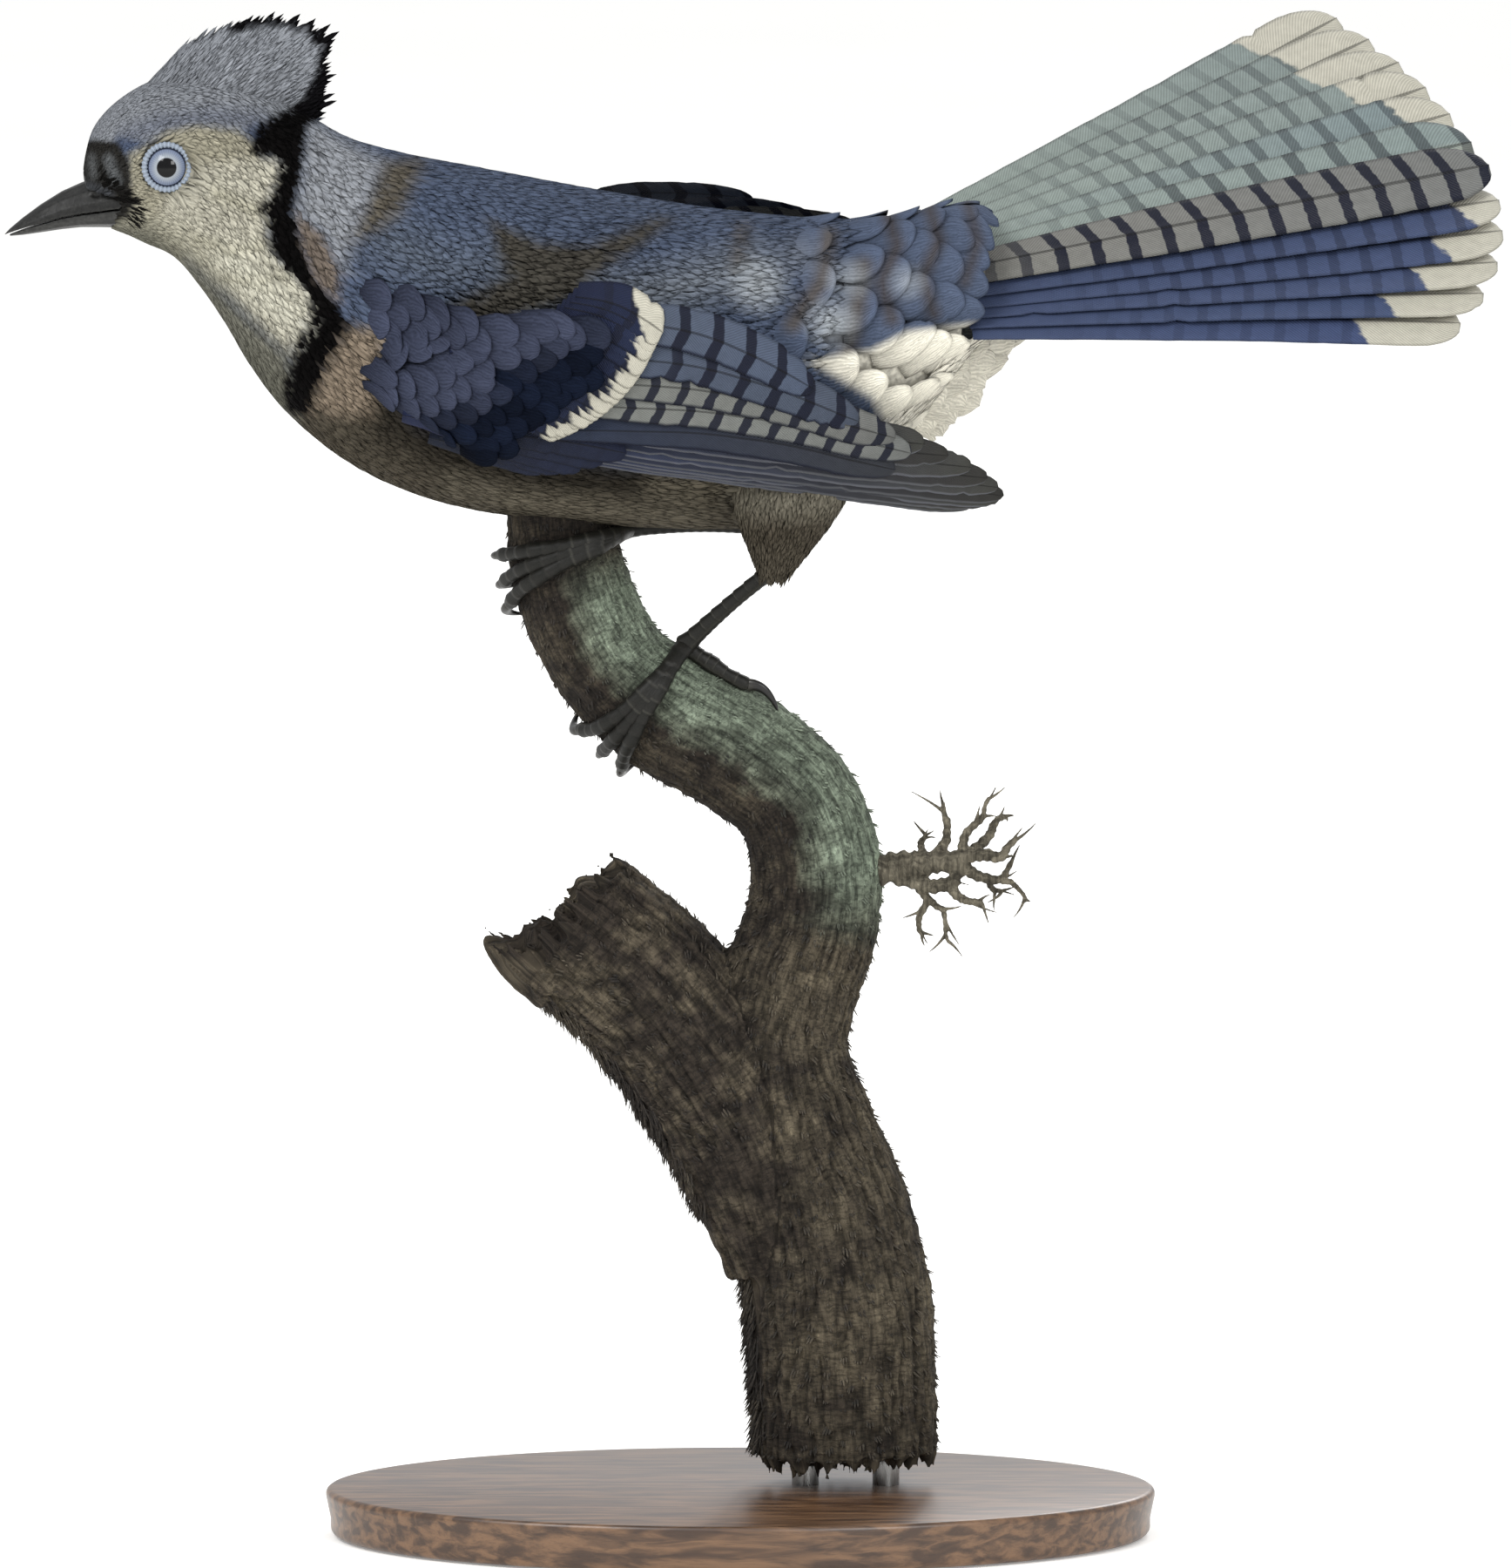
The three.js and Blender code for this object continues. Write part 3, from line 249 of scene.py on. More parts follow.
@dataclass
class Bundle:
    """One mesh as arrays: places in millimetres, triangles, and what each vertex carries.

    tint is a colour in linear light, vane is the place on its feather (across from -1 to 1, along in
    millimetres), patch is the place on the baking map, and bars is the strength, period, phase and the
    distance from the root at which a feather's white tip starts. The undersides are not smooth, so that
    their edges do not darken the upper sides.
    """

    verts: Array
    tris: Array
    smooth: Array
    tint: Array
    vane: Array
    patch: Array
    bars: Array

    @staticmethod
    def join(parts: Sequence["Bundle"]) -> "Bundle":
        """Join several meshes into one.

        Args:
            parts: The meshes.

        Returns:
            One mesh that holds them all.
        """
        joined = {name: np.concatenate([getattr(part, name) for part in parts]) for name in vars(parts[0])}
        _, joined["tris"] = join_meshes([(part.verts, part.tris) for part in parts])
        return Bundle(**joined)

    def to_object(self, name: str) -> bpy.types.Object:
        """Write the arrays to a mesh object.

        Args:
            name: The object's name.

        Returns:
            The new object.
        """
        thing = new_object(name, self.verts, self.tris, self.smooth)
        corners = self.tris.ravel()
        for layer, values in (("OFBake", self.patch), ("Vane", self.vane)):
            uv_map = thing.data.uv_layers.new(name=layer)
            uv_map.data.foreach_set("uv", values[corners].astype(np.float32).ravel())
        colour_points(thing, "Tint", self.tint)
        colour_points(thing, "Bars", self.bars)
        return thing


def join_meshes(parts: Sequence[tuple[Array, Array]]) -> tuple[Array, Array]:
    """Stack the places and triangles of several meshes."""
    starts = np.cumsum([0] + [len(verts) for verts, _ in parts[:-1]])
    tris = np.vstack([tris + start for (_, tris), start in zip(parts, starts)])
    return np.vstack([verts for verts, _ in parts]), tris


def new_object(name: str, verts: Array, tris: Array, smooth: Array | None = None) -> bpy.types.Object:
    """Write places and triangles to a mesh object at the origin.

    Args:
        name: The object's and the mesh's name.
        verts: Places in millimetres.
        tris: Three vertex numbers a row.
        smooth: Which triangles are shaded smooth, or None for all.

    Returns:
        The object.
    """
    mesh = bpy.data.meshes.new(name)
    mesh.vertices.add(len(verts))
    mesh.vertices.foreach_set("co", (verts * MM).astype(np.float32).ravel())
    mesh.loops.add(3 * len(tris))
    mesh.loops.foreach_set("vertex_index", tris.astype(np.int32).ravel())
    mesh.polygons.add(len(tris))
    mesh.polygons.foreach_set("loop_start", np.arange(0, 3 * len(tris), 3, dtype=np.int32))
    mesh.polygons.foreach_set("use_smooth", np.ones(len(tris), bool) if smooth is None else smooth)
    mesh.update(calc_edges=True)
    thing = bpy.data.objects.new(name, mesh)
    bpy.context.collection.objects.link(thing)
    return thing


def grid_tris(rows: int, columns: int, wrap: bool = False) -> Array:
    """Give the triangles of a grid of vertices, row after row.

    Args:
        rows: How many rows there are.
        columns: How many vertices each row has.
        wrap: Whether the last column joins the first.

    Returns:
        The triangles, three vertex numbers a row.
    """
    across = columns if wrap else columns - 1
    r, c = np.meshgrid(np.arange(rows - 1), np.arange(across), indexing="ij")
    a = (r * columns + c).ravel()
    b = (r * columns + (c + 1) % columns).ravel()
    return np.vstack([np.stack([a, b, b + columns], 1), np.stack([a, b + columns, a + columns], 1)])


def tube_mesh(rings: Array) -> tuple[Array, Array]:
    """Skin rings of equal count and close both ends.

    Args:
        rings: Places, as rings by points by three, each ring turning the same way.

    Returns:
        The places and the triangles, which face out.
    """
    count, sides = rings.shape[:2]
    verts = np.vstack([rings.reshape(-1, 3), rings[0].mean(0), rings[-1].mean(0)])
    k = np.arange(sides)
    nxt = (k + 1) % sides
    low = np.full(sides, count * sides)
    first = np.stack([low, nxt, k], 1)
    end = (count - 1) * sides
    last = np.stack([low + 1, end + k, end + nxt], 1)
    tris = np.vstack([grid_tris(count, sides, wrap=True), first, last])
    a, b, c = (verts[tris[:, i]] for i in range(3))
    if np.einsum("ij,ij->i", a, np.cross(b, c)).sum() < 0:
        tris = tris[:, ::-1]
    return verts, tris


def merged_copy(name: str, node: str) -> bpy.types.Object:
    """Copy a solid of the frame, with its loose triangles merged.

    Args:
        name: The new object's name.
        node: The solid's name.

    Returns:
        The new object.
    """
    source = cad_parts[node]
    thing = source.copy()
    thing.data = source.data.copy()
    for key in list(thing.keys()):
        del thing[key]
    thing.parent = None
    bpy.context.collection.objects.link(thing)
    choose(thing)
    thing.data.materials.clear()
    with edit_mode():
        bpy.ops.mesh.select_all(action="SELECT")
        bpy.ops.mesh.remove_doubles(threshold=0.01 * MM)
    return settle(thing, name)


def refine(thing: bpy.types.Object, voxel: float, passes: int) -> None:
    """Give a copied solid an even, rounded surface.

    Args:
        thing: The object to change.
        voxel: The size of its new faces in millimetres.
        passes: How often it is smoothed.
    """
    finish_modifier(thing, "REMESH", mode="VOXEL", voxel_size=voxel * MM, use_smooth_shade=True)
    finish_modifier(thing, "SMOOTH", factor=0.5, iterations=passes)


def places_of(thing: bpy.types.Object) -> tuple[Array, Array]:
    """Read a mesh's places and normals.

    Args:
        thing: The object to read.

    Returns:
        Its places in millimetres and its normals.
    """
    count = len(thing.data.vertices)
    places = np.empty(count * 3, np.float32)
    normals = np.empty(count * 3, np.float32)
    thing.data.vertices.foreach_get("co", places)
    thing.data.vertex_normals.foreach_get("vector", normals)
    return places.reshape(-1, 3).astype(float) / MM, normals.reshape(-1, 3).astype(float)


def move_to(thing: bpy.types.Object, places: Array) -> None:
    """Write new places, in millimetres, to a mesh."""
    thing.data.vertices.foreach_set("co", (places * MM).astype(np.float32).ravel())
    thing.data.update()


def colour_points(thing: bpy.types.Object, layer: str, values: Array) -> None:
    """Write a colour or four numbers to each vertex of a mesh.

    Args:
        thing: The object to change.
        layer: The attribute's name.
        values: Three or four numbers a vertex.
    """
    if values.shape[1] == 3:
        values = np.hstack([values, np.ones((len(values), 1))])
    attribute = thing.data.attributes.new(layer, "FLOAT_COLOR", "POINT")
    attribute.data.foreach_set("color", values.astype(np.float32).ravel())


def hand_in(thing: bpy.types.Object, finish: bpy.types.Material, slot: Slot, *nodes: str) -> None:
    """Dress a piece, hang it under the root and hide the solids that it takes the place of.

    Args:
        thing: The piece.
        finish: The material that it wears.
        slot: Its material slot; not used.
        nodes: The solids that it takes the place of.
    """
    thing.data.materials.append(finish)
    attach(thing, "root")
    if nodes:
        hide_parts(*nodes)
    LOG.info("%s: %d faces", thing.name, len(thing.data.polygons))


# Finishes

class Value:
    """What a socket gives, so that sums and products of sockets are written as usual."""

    def __init__(self, board: "Board", socket: bpy.types.NodeSocket) -> None:
        """Hold the socket and the board that it is on."""
        self.board = board
        self.socket = socket

    def __add__(self, other: Any) -> "Value":
        """Add a number or a value."""
        return self.board.math("ADD", self, other)

    def __sub__(self, other: Any) -> "Value":
        """Take away a number or a value."""
        return self.board.math("SUBTRACT", self, other)

    def __mul__(self, other: Any) -> "Value":
        """Multiply by a number or a value."""
        return self.board.math("MULTIPLY", self, other)

    def __truediv__(self, other: Any) -> "Value":
        """Divide by a number or a value."""
        return self.board.math("DIVIDE", self, other)


class Board:
    """A material's nodes, written as short calls."""

    def __init__(self, name: str, shader: dict[str, Any]) -> None:
        """Start a material from a plain surface shader.

        Args:
            name: The material's name.
            shader: The shader's own values that are the same all over.
        """
        self.material = bpy.data.materials.new(name)
        self.material.use_nodes = True
        self.tree = self.material.node_tree
        self.shader = self.tree.nodes["Principled BSDF"]
        for socket, value in shader.items():
            self.shader.inputs[socket].default_value = value

    def add(self, kind: str, inputs: dict[Any, Any] | None = None, **settings: Any) -> bpy.types.Node:
        """Add a node.

        Args:
            kind: The end of the node type's name.
            inputs: Numbers or values for its inputs, by name or number.
            settings: The node's own properties.

        Returns:
            The node.
        """
        node = self.tree.nodes.new(f"ShaderNode{kind}")
        for key, setting in settings.items():
            setattr(node, key, setting)
        for key, given in (inputs or {}).items():
            if isinstance(given, Value):
                self.tree.links.new(given.socket, node.inputs[key])
            else:
                node.inputs[key].default_value = given
        return node

    def read(self, kind: str, inputs: dict[Any, Any] | None = None, output: Any = 0,
             **settings: Any) -> Value:
        """Add a node and read one of its outputs, as add does."""
        return Value(self, self.add(kind, inputs, **settings).outputs[output])

    def math(self, operation: str, a: Any, b: Any = 0.0) -> Value:
        """Work out one sum of two numbers or values."""
        return self.read("Math", {0: a, 1: b}, operation=operation)

    def step(self, value: Value, low: float, high: float, start: float = 0.0, end: float = 1.0) -> Value:
        """Rise softly from one value to another between two limits.

        Args:
            value: What is read.
            low: Where the rise starts.
            high: Where the rise ends.
            start: The value up to there.
            end: The value from there on.

        Returns:
            The risen value.
        """
        inputs = {"Value": value, "From Min": low, "From Max": high, "To Min": start, "To Max": end}
        return self.read("MapRange", inputs, interpolation_type="SMOOTHSTEP")

    def mix(self, share: Value, a: Any, b: Any) -> Value:
        """Mix two colours; share is how much of the second one shows."""
        return self.read("Mix", {0: share, 6: a, 7: b}, output=2, data_type="RGBA")

    def shade(self, colour: Value, light: Value) -> Value:
        """Multiply a colour by a number."""
        return self.read("VectorMath", {0: colour, 3: light}, operation="SCALE")

    def cloud(self, vector: Value, scale: float = 1.0, detail: float = 2.0, **inputs: float) -> Value:
        """Read soft noise from 0 to 1 along a vector, with other inputs of the node by name."""
        named = {name.title(): value for name, value in inputs.items()}
        return self.read("TexNoise", {"Vector": vector, "Scale": scale, "Detail": detail, **named})

    def noise(self, scale: float, detail: float = 2.0) -> Value:
        """Read soft noise from 0 to 1 at a scale given in blobs a millimetre."""
        return self.cloud(self.place(), scale / MM, detail)

    def place(self) -> Value:
        """Read the place on the object."""
        return self.read("TexCoord", output="Object")

    def stretch(self, vector: Value, *scale: float) -> Value:
        """Scale a vector along X, Y and Z."""
        return self.read("Mapping", {0: vector, 3: scale})

    def tint(self) -> Value:
        """Read the colour that the vertices carry."""
        return self.read("Attribute", attribute_name="Tint", attribute_type="GEOMETRY")

    def split(self, vector: Value) -> tuple[Value, Value, Value]:
        """Take a vector apart."""
        node = self.add("SeparateXYZ", {0: vector})
        across, along, up = (Value(self, socket) for socket in node.outputs)
        return across, along, up

    def vane(self) -> tuple[Value, Value]:
        """Read the place on the feather: across and along."""
        across, along, _ = self.split(self.read("UVMap", uv_map="Vane"))
        return across, along

    def wave(self, value: Value, period: Any) -> Value:
        """Swing from -1 to 1 once each period of a value."""
        return self.math("SINE", value / period * (2 * math.pi))

    def bump(self, height: Value, deep: float, strength: float = 1.0) -> None:
        """Raise the surface by a height from 0 to 1, deep in millimetres."""
        inputs = {"Height": height, "Distance": deep * MM, "Strength": strength}
        self.send("Normal", self.read("Bump", inputs))

    def send(self, socket: str, value: Value) -> None:
        """Link a value to the shader."""
        self.tree.links.new(value.socket, self.shader.inputs[socket])


@dataclass(frozen=True)
class SoftPlumage:
    """Small body feathers: a tint from the vertices with fine strands along each feather."""

    strand: float = 0.75
    strand_depth: float = 0.14
    mottle: float = 0.06
    streak: float = 0.15
    roughness: float = 0.85
    shine: float = 0.03

    def material(self) -> bpy.types.Material:
        """Write the nodes."""
        board = Board("plumage_soft", {"Roughness": self.roughness, "Specular IOR Level": self.shine})
        across, along = board.vane()
        drift = board.noise(0.5) * 1.6
        strands = board.wave(across + drift, self.strand)
        long = board.read("CombineXYZ", {0: across * 1.5, 1: along * 0.16, 2: drift * 4.0})
        streaks = board.step(board.cloud(long, 1.3, 3.0), 0.3, 0.7, -self.streak, self.streak)
        flecks = board.noise(2.6, 3.0) - 0.5
        light = strands * self.strand_depth + flecks * (2 * self.mottle) + streaks + 1.0
        board.send("Base Color", board.shade(board.tint(), light))
        board.bump(strands, 0.05, 0.6)
        return board.material


@dataclass(frozen=True)
class StiffPlumage:
    """Flight and tail feathers: barbs on a shaft, dark bars and a white tip."""

    barb: float = 0.72
    barb_slant: float = 6.0
    barb_depth: float = 0.17
    bar_bow: float = 1.0
    bar_low: float = 0.42
    bar_high: float = 0.62
    bar_tint: str = "0c1020"
    tip_tint: str = "a8a598"
    shaft: float = 0.075
    roughness: float = 0.62
    shine: float = 0.16

    def material(self) -> bpy.types.Material:
        """Write the nodes."""
        board = Board("plumage_stiff", {"Roughness": self.roughness, "Specular IOR Level": self.shine})
        across, along = board.vane()
        out = board.math("ABSOLUTE", across)
        wobble = board.noise(0.55, 3.0) - 0.5
        barbs = board.wave(along - out * self.barb_slant, self.barb)

        bars = board.add("Attribute", attribute_name="Bars", attribute_type="GEOMETRY")
        parts = board.add("SeparateColor", {0: Value(board, bars.outputs[0])})
        strength, period, phase = (Value(board, socket) for socket in parts.outputs)
        bowed = along + out * self.bar_bow + wobble * 0.9 + phase
        barred = board.step(board.wave(bowed, period), self.bar_low, self.bar_high) * strength
        past = along - Value(board, bars.outputs[3]) + across * 2.4 + wobble * 3.0
        white = board.step(past, -0.6, 0.6)

        tint = board.mix(barred, board.tint(), rgba(self.bar_tint))
        tint = board.mix(white, tint, rgba(self.tip_tint))
        quill = board.step(out, self.shaft * 0.55, self.shaft, 0.42, 1.0)
        # rim darkens the vane's outer edges: painted shade where the feathers overlap
        rim = board.step(out, 0.86, 0.98, 1.0, 0.72)
        light = quill * rim * (barbs * self.barb_depth + 1.0) * (wobble * 0.35 + 1.0)
        board.send("Base Color", board.shade(tint, light))
        board.bump(barbs, 0.06, 0.7)
        return board.material


@dataclass(frozen=True)
class Tinted:
    """A hard or skin surface with its tint in the vertices and a fine grain."""

    name: str
    roughness: float = 0.5
    grain: float = 3.0
    grain_tint: float = 0.3
    deep: float = 0.05
    shine: float = 0.5

    def material(self) -> bpy.types.Material:
        """Write the nodes."""
        board = Board(self.name, {"Roughness": self.roughness, "Specular IOR Level": self.shine})
        grain = board.noise(self.grain, 4.0)
        light = board.step(grain, 0.3, 0.7, 1 - self.grain_tint, 1 + self.grain_tint)
        board.send("Base Color", board.shade(board.tint(), light))
        board.bump(grain, self.deep)
        return board.material


@dataclass(frozen=True)
class EyeGlass:
    """The eye: a black pupil, a grey-blue iris with fine spokes and a thin dark ring in it."""

    name: str
    centre: Point
    pupil: float = 1.85
    iris: float = 3.3
    spokes: float = 46.0
    pupil_tint: str = "040405"
    inner_tint: str = "8c9298"
    outer_tint: str = "667084"
    rim_tint: str = "1d2230"

    def material(self) -> bpy.types.Material:
        """Write the nodes."""
        board = Board(self.name, {
            "Roughness": 0.3, "Coat Weight": 0.4, "Coat Roughness": 0.02, "Specular IOR Level": 0.02,
        })
        back = tuple(-value * MM for value in self.centre)
        across, _, up = board.split(board.read("VectorMath", {0: board.place(), 1: back}, operation="ADD"))
        radius = board.math("SQRT", across * across + up * up) / MM
        spokes = board.math("SINE", board.math("ARCTAN2", up, across) * self.spokes)
        outward = board.step(radius, self.pupil, self.iris)
        ring = board.mix(outward, rgba(self.inner_tint), rgba(self.outer_tint))
        ring = board.shade(ring, spokes * 0.12 + 1.0)
        seen = board.step(radius, self.pupil - 0.08, self.pupil + 0.14)
        past = board.step(radius, self.iris, self.iris + 0.22)
        colour = board.mix(seen, rgba(self.pupil_tint), ring)
        board.send("Base Color", board.mix(past, colour, rgba(self.rim_tint)))
        return board.material


@dataclass(frozen=True)
class Bark:
    """Rough bark: furrows along the branch, short cross cracks and pale flecks."""

    furrow: Pair = (0.16, 0.9)
    crack: Pair = (1.5, 0.55)
    roughness: float = 0.92

    def material(self) -> bpy.types.Material:
        """Write the nodes."""
        board = Board("bark", {"Roughness": self.roughness, "Specular IOR Level": 0.2})
        grain = board.read("Attribute", output=1, attribute_name="Grain", attribute_type="GEOMETRY")
        along = board.stretch(grain, *self.furrow, self.furrow[1])
        cross = board.stretch(grain, *self.crack, self.crack[1])
        furrows = board.cloud(along, detail=6.0, roughness=0.65)
        cracks = board.cloud(cross, detail=3.0, roughness=0.6)
        dark = board.step(furrows, 0.36, 0.62, 0.5, 1.3) * board.step(cracks, 0.36, 0.58, 0.55, 1.12)
        pale = board.step(board.noise(1.3, 5.0), 0.56, 0.74, 0.0, 0.55)
        tint = board.shade(board.tint(), dark)
        board.send("Base Color", board.mix(pale, tint, board.shade(tint, pale + 1.6)))
        board.bump(furrows + cracks * 0.7, 0.9, 0.8)
        return board.material


@dataclass(frozen=True)
class WaxedWood:
    """The base: stained wood with long grain and a wax shine."""

    light: str = "6f5239"
    dark: str = "3b281a"

    def material(self) -> bpy.types.Material:
        """Write the nodes."""
        board = Board("waxed_wood", {"Roughness": 0.38, "Coat Weight": 0.25, "Coat Roughness": 0.3})
        grain = board.cloud(board.stretch(board.place(), 60.0, 520.0, 520.0), detail=5.0, distortion=0.6)
        pores = board.cloud(board.stretch(board.place(), 220.0, 3200.0, 3200.0))
        colour = board.mix(board.step(grain, 0.35, 0.68), rgba(self.dark), rgba(self.light))
        board.send("Base Color", board.shade(colour, board.step(pores, 0.3, 0.5, 0.78, 1.0)))
        board.bump(pores, 0.05, 0.4)
        return board.material


@dataclass(frozen=True)
class Steel:
    """The rods: plain drawn steel with fine lines along them."""

    def material(self) -> bpy.types.Material:
        """Write the nodes."""
        board = Board("drawn_steel", {"Metallic": 1.0, "Roughness": 0.3})
        lines = board.cloud(board.stretch(board.place(), 6000.0, 6000.0, 240.0))
        board.send("Base Color", board.mix(lines, rgba("8f9090"), rgba("b9b9b6")))
        board.send("Roughness", board.step(lines, 0.3, 0.7, 0.24, 0.4))
        board.bump(lines, 0.01, 0.5)
        return board.material


@dataclass(frozen=True)
class PaleFloor:
    """The studio floor: matt, nearly white and lit a little from below."""

    glow: float = 0.24

    def material(self) -> bpy.types.Material:
        """Write the nodes."""
        board = Board("pale_floor", {"Roughness": 0.95, "Specular IOR Level": 0.1,
                                     "Emission Color": rgba("ffffff"), "Emission Strength": self.glow})
        board.send("Base Color", board.mix(board.noise(0.004), rgba("f1f0ec"), rgba("f6f5f2")))
        return board.material


# Shapes that feathers grow on

class Surface:
    """A shape that is read by two numbers and a lift off it, in millimetres."""

    first: Pair = (0.0, 1.0)
    second: Pair = (-math.pi, math.pi)

    def place(self, s: Array, t: Array, lift: Array) -> Array:
        """Give the places for two surface numbers and a lift."""
        raise NotImplementedError

    def basis(self, s: Array, t: Array) -> tuple[Array, Array, Array, Array, Array]:
        """Measure the surface round some places.

        Args:
            s: First surface numbers; feathers point along them.
            t: Second surface numbers.

        Returns:
            The places, then the length of a step of s, the shares of a step of t along and across, and on
            which side of the two steps the outside lies.
        """
        step = 0.02
        none = np.zeros(len(s))
        here = self.place(s, t, none)
        ds = (self.place(s + step, t, none) - self.place(s - step, t, none)) / (2 * step)
        dt = (self.place(s, t + step, none) - self.place(s, t - step, none)) / (2 * step)
        out = self.place(s, t, none + 1.0) - here
        long = np.linalg.norm(ds, axis=1)
        along = ds / long[:, None]
        slide = np.einsum("ij,ij->i", dt, along)
        across = dt - slide[:, None] * along
        wide = np.linalg.norm(across, axis=1)
        side = np.sign(np.einsum("ij,ij->i", np.cross(along, across), out))
        return here, long, slide, wide, side


@dataclass(frozen=True)
class Section:
    """One section of the body: its top and bottom edge as (x, z), half width, roll and shift to the side."""

    back: Pair
    belly: Pair
    wide: float
    roll: float = 0.0
    side: float = 0.0


class BodyForm(Surface):
    """The body from bill to tail root; s counts sections and t turns from the back to the belly."""

    sections: tuple[Section, ...] = (
        Section((-125.5, 262.8), (-122.2, 252.0), 5.5),
        Section((-123.0, 271.4), (-117.5, 250.8), 8.6),
        Section((-117.0, 277.4), (-113.3, 248.9), 11.5),
        Section((-108.8, 281.0), (-108.0, 246.4), 13.6),
        Section((-97.0, 280.8), (-102.8, 240.4), 14.8),
        Section((-85.8, 275.8), (-98.2, 233.6), 15.4, 3),
        Section((-75.5, 269.4), (-93.4, 225.6), 17.0, 8),
        Section((-65.0, 266.0), (-86.2, 216.7), 19.4, 16),
        Section((-50.0, 262.8), (-73.0, 206.6), 23.0, 22),
        Section((-35.0, 259.8), (-57.1, 200.1), 25.4, 24),
        Section((-18.0, 256.8), (-38.0, 196.7), 26.2, 24),
        Section((-3.0, 254.6), (-18.0, 195.2), 25.2, 24),
        Section((13.3, 253.1), (1.7, 195.0), 22.8, 25, 0.2),
        Section((24.5, 253.0), (15.5, 197.6), 20.2, 27, 0.4),
        Section((33.0, 254.2), (26.8, 205.8), 18.2, 30, 0.5),
        Section((39.5, 255.6), (37.2, 219.5), 16.6, 32, 0.6),
        Section((45.5, 255.4), (44.8, 229.0), 15.0, 34, 0.9),
        Section((51.0, 251.6), (51.5, 234.4), 11.6, 35, 1.4),
    )
    squareness: float = 2.25

    def __init__(self) -> None:
        """Lay smooth curves through the sections."""
        rows = self.sections
        self.back = Curve([(r.back[0], 0.0, r.back[1]) for r in rows])
        self.belly = Curve([(r.belly[0], 0.0, r.belly[1]) for r in rows])
        self.form = Curve([(r.wide, r.roll, r.side) for r in rows])
        self.end = float(len(rows) - 1)
        self.first = (0.0, self.end)

    def ring_place(self, s: Array, t: Array, lift: Array) -> Array:
        """Give the places on sections between the first and the last one."""
        back, belly, form = self.back.at(s), self.belly.at(s), self.form.at(s)
        roll = np.radians(form[:, 1])
        upright = unit(back - belly)
        half = np.linalg.norm(back - belly, axis=1) / 2 * math.cos(VIEW_PITCH)
        lean = roll + VIEW_PITCH
        high = np.sqrt(np.maximum(half ** 2 - (form[:, 0] * np.sin(lean)) ** 2, 1.0)) / np.cos(lean)
        centre = (back + belly) / 2
        centre[:, 1] = form[:, 2]
        centre[:, 2] -= form[:, 2] * math.tan(VIEW_PITCH)
        across = np.array([0.0, 1.0, 0.0])
        u = upright * np.cos(roll)[:, None] - across * np.sin(roll)[:, None]
        w = across * np.cos(roll)[:, None] + upright * np.sin(roll)[:, None]
        power = 2 / self.squareness
        rise = (high + lift) * signed_power(np.cos(t), power)
        reach = (form[:, 0] + lift) * signed_power(np.sin(t), power)
        return centre + u * rise[:, None] + w * reach[:, None]

    def place(self, s: Array, t: Array, lift: Array) -> Array:
        """Give the places, running straight on past the first and last section."""
        inside = np.clip(s, 0.0, self.end)
        here = self.ring_place(inside, t, lift)
        past = np.nonzero(s != inside)[0]
        if len(past):
            step = 0.2
            edge = inside[past]
            inner = np.clip(edge, step, self.end - step)
            inner = np.where(edge > inner, edge - step, edge + step)
            slope = (here[past] - self.ring_place(inner, t[past], lift[past])) / (edge - inner)[:, None]
            here[past] += slope * (s[past] - edge)[:, None]
        return here


class ThighForm(Surface):
    """A feathered thigh, from the flank down to the heel."""

    def __init__(self, path: Sequence[Point], halves: Sequence[Pair]) -> None:
        """Lay curves through its middle line and its halves along X and Y."""
        self.path = Curve(path)
        self.halves = Curve(halves)
        self.first = (0.15, len(path) - 1.0)

    def place(self, s: Array, t: Array, lift: Array) -> Array:
        """Give the places on level rings down the thigh."""
        middle = self.path.at(s).copy()
        half = self.halves.at(s)
        middle[:, 0] += (half[:, 0] + lift) * np.sin(t)
        middle[:, 1] += (half[:, 1] + lift) * np.cos(t)
        return middle


class WedgeForm(Surface):
    """An upright flat tuft between roots and tips; s runs from root to tip and t round it."""

    def __init__(self, roots: Sequence[Pair], tips: Sequence[Pair], halves: Pair) -> None:
        """Set up the tuft.

        Args:
            roots: The line of roots in the tuft's own plane.
            tips: The line of tips there.
            halves: Half its thickness at the roots and at the tips.
        """
        self.roots = Curve(roots)
        self.tips = Curve(tips)
        self.halves = halves

    def world(self, flat: Array, level: Array) -> Array:
        """Turn places in the plane and distances off it into places."""
        return np.stack([flat[:, 0], level, flat[:, 1]], 1)

    def place(self, s: Array, t: Array, lift: Array) -> Array:
        """Give the places round the tuft."""
        at = 0.5 - 0.5 * np.cos(t)
        root, tip = self.roots.share(at), self.tips.share(at)
        run = unit(tip - root)
        edge = np.stack([-run[:, 1], run[:, 0]], 1)
        flat = root + (tip - root) * s[:, None] + edge * (lift * np.cos(t))[:, None]
        half = self.halves[0] + (self.halves[1] - self.halves[0]) * np.clip(s, 0.0, 1.0)
        return self.world(flat, (half + lift) * signed_power(np.sin(t), 0.8))


